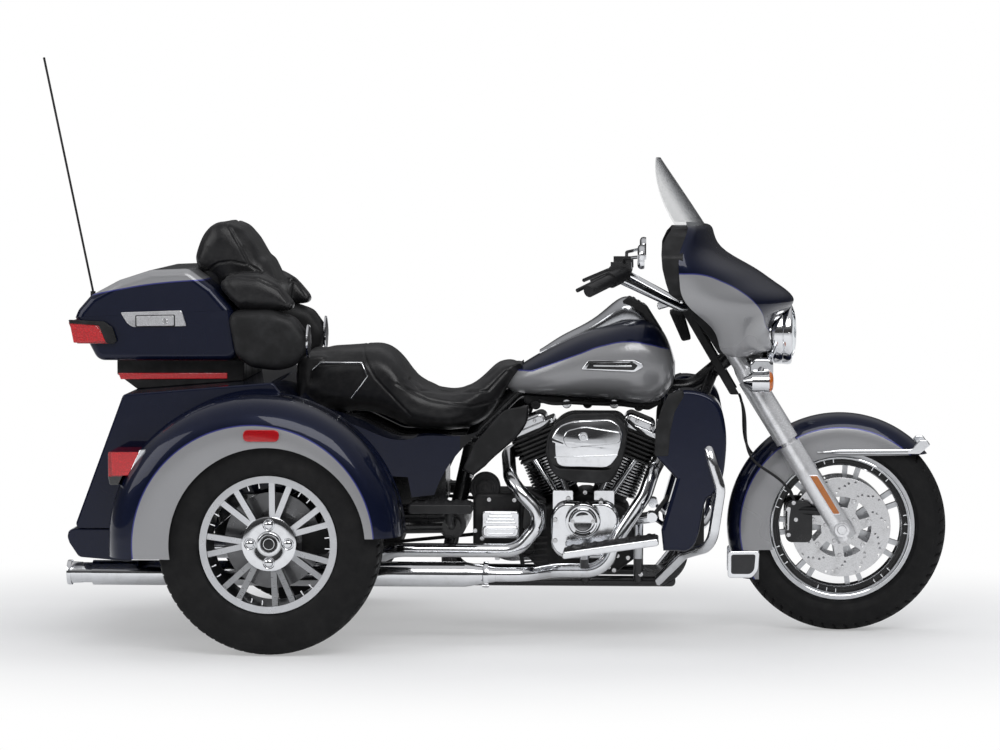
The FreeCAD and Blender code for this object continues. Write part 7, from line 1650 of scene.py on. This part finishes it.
def make_floor():
    """Pale floor that keeps the shadow and fades into the white backdrop far away."""
    mesh = bpy.data.meshes.new("studio_floor")
    half = FLOOR_SIZE / 2
    mesh.from_pydata([(x * half, y * half, 0) for x, y in ((-1, -1), (1, -1), (1, 1), (-1, 1))], [],
                     [(0, 1, 2, 3)])
    look = Look("studio_floor", (0.62, 0.62, 0.62), 0.0, 0.7)
    look.color(look.blend(look.rise(look.noise(0.9, 5.0), 0.3, 0.8), (0.78, 0.78, 0.785),
                          (0.84, 0.84, 0.845)))
    look.bump(look.noise(160, 3.0), 0.05, 0.001)
    axes = look.axes()
    reach = look.length(look.math("DIVIDE", axes[0], FLOOR_STRETCH), axes[1])
    path = look.add("ShaderNodeLightPath").outputs
    seen = look.math("MAXIMUM", path["Is Camera Ray"], path["Is Transmission Ray"])
    seen = look.math("MAXIMUM", seen, look.math("MULTIPLY", path["Is Glossy Ray"], FLOOR_MIRRORED))
    glow = look.add("ShaderNodeEmission")
    look.feed(glow.inputs["Color"], (1, 1, 1))
    share = look.math("MULTIPLY", seen, look.rise(reach, *FLOOR_FADE))
    look.feed(look.tree.nodes["Material Output"].inputs["Surface"],
              look.mix(share, look.shader.outputs[0], glow.outputs[0]))
    mesh.materials.append(look.mat)
    floor = link("studio_floor", mesh)


# Levels of the room in reflections, from straight below (0) to straight above (1)
ROOM_LEVELS = ((0.0, 0.55), (0.49, 0.60), (0.50, 0.03), (0.60, 0.05), (0.70, 0.20), (0.84, 0.48),
               (1.0, 0.58))


def make_world():
    """White to the camera and through glass; a studio with dark walls low down in reflections."""
    world = bpy.data.worlds.new("studio")
    bpy.context.scene.world = world
    world.use_nodes = True
    graph = Graph(world.node_tree)
    graph.tree.nodes.clear()
    parts = graph.add("ShaderNodeSeparateXYZ")
    graph.feed(parts.inputs[0], graph.add("ShaderNodeTexCoord").outputs["Generated"])
    made = graph.add("ShaderNodeValToRGB")
    levels = made.color_ramp.elements
    while len(levels) < len(ROOM_LEVELS):
        levels.new(0.5)
    for element, (place, level) in zip(levels, ROOM_LEVELS):
        element.position = place
        element.color = (level, level, level * 1.02, 1)
    graph.feed(made.inputs[0], graph.math("MULTIPLY_ADD", parts.outputs[2], 0.5, 0.5))
    backs = []
    for color, strength in ((made.outputs[0], 1.0), ((0.92, 0.95, 1.0), 0.45), ((1, 1, 1), 1.0)):
        back = graph.add("ShaderNodeBackground")
        graph.feed(back.inputs["Color"], color)
        graph.feed(back.inputs["Strength"], strength)
        backs.append(back.outputs[0])
    room, soft, white = backs
    path = graph.add("ShaderNodeLightPath").outputs
    seen = graph.math("MAXIMUM", path["Is Camera Ray"], path["Is Transmission Ray"])
    graph.feed(graph.add("ShaderNodeOutputWorld").inputs["Surface"],
               graph.mix(seen, graph.mix(path["Is Glossy Ray"], soft, room), white))


def make_lamp(name, size, power, place, target, mirrored=True):
    data = bpy.data.lights.new(name, "AREA")
    data.shape = "RECTANGLE"
    data.size, data.size_y = size
    data.energy = power
    lamp = link(name, data)
    lamp.location = place
    lamp.visible_glossy = mirrored
    lamp.rotation_euler = (Vector(target) - Vector(place)).to_track_quat("-Z", "Y").to_euler()


make_floor()
make_world()
make_lamp("key", (5.0, 3.0), 215, (1.5, -5.5, 5.0), (0, 0, 0.5))
make_lamp("fill", (4.0, 2.5), 80, (-5.0, -3.0, 3.0), (0, 0, 0.6))
make_lamp("top", (6.0, 3.0), 95, (0, 1.0, 6.0), (0, 0, 0.5), False)
make_lamp("back", (5.0, 2.0), 70, (3.0, 5.0, 3.0), (0, 0, 0.7), False)

bpy.context.scene.view_settings.view_transform = "Standard"
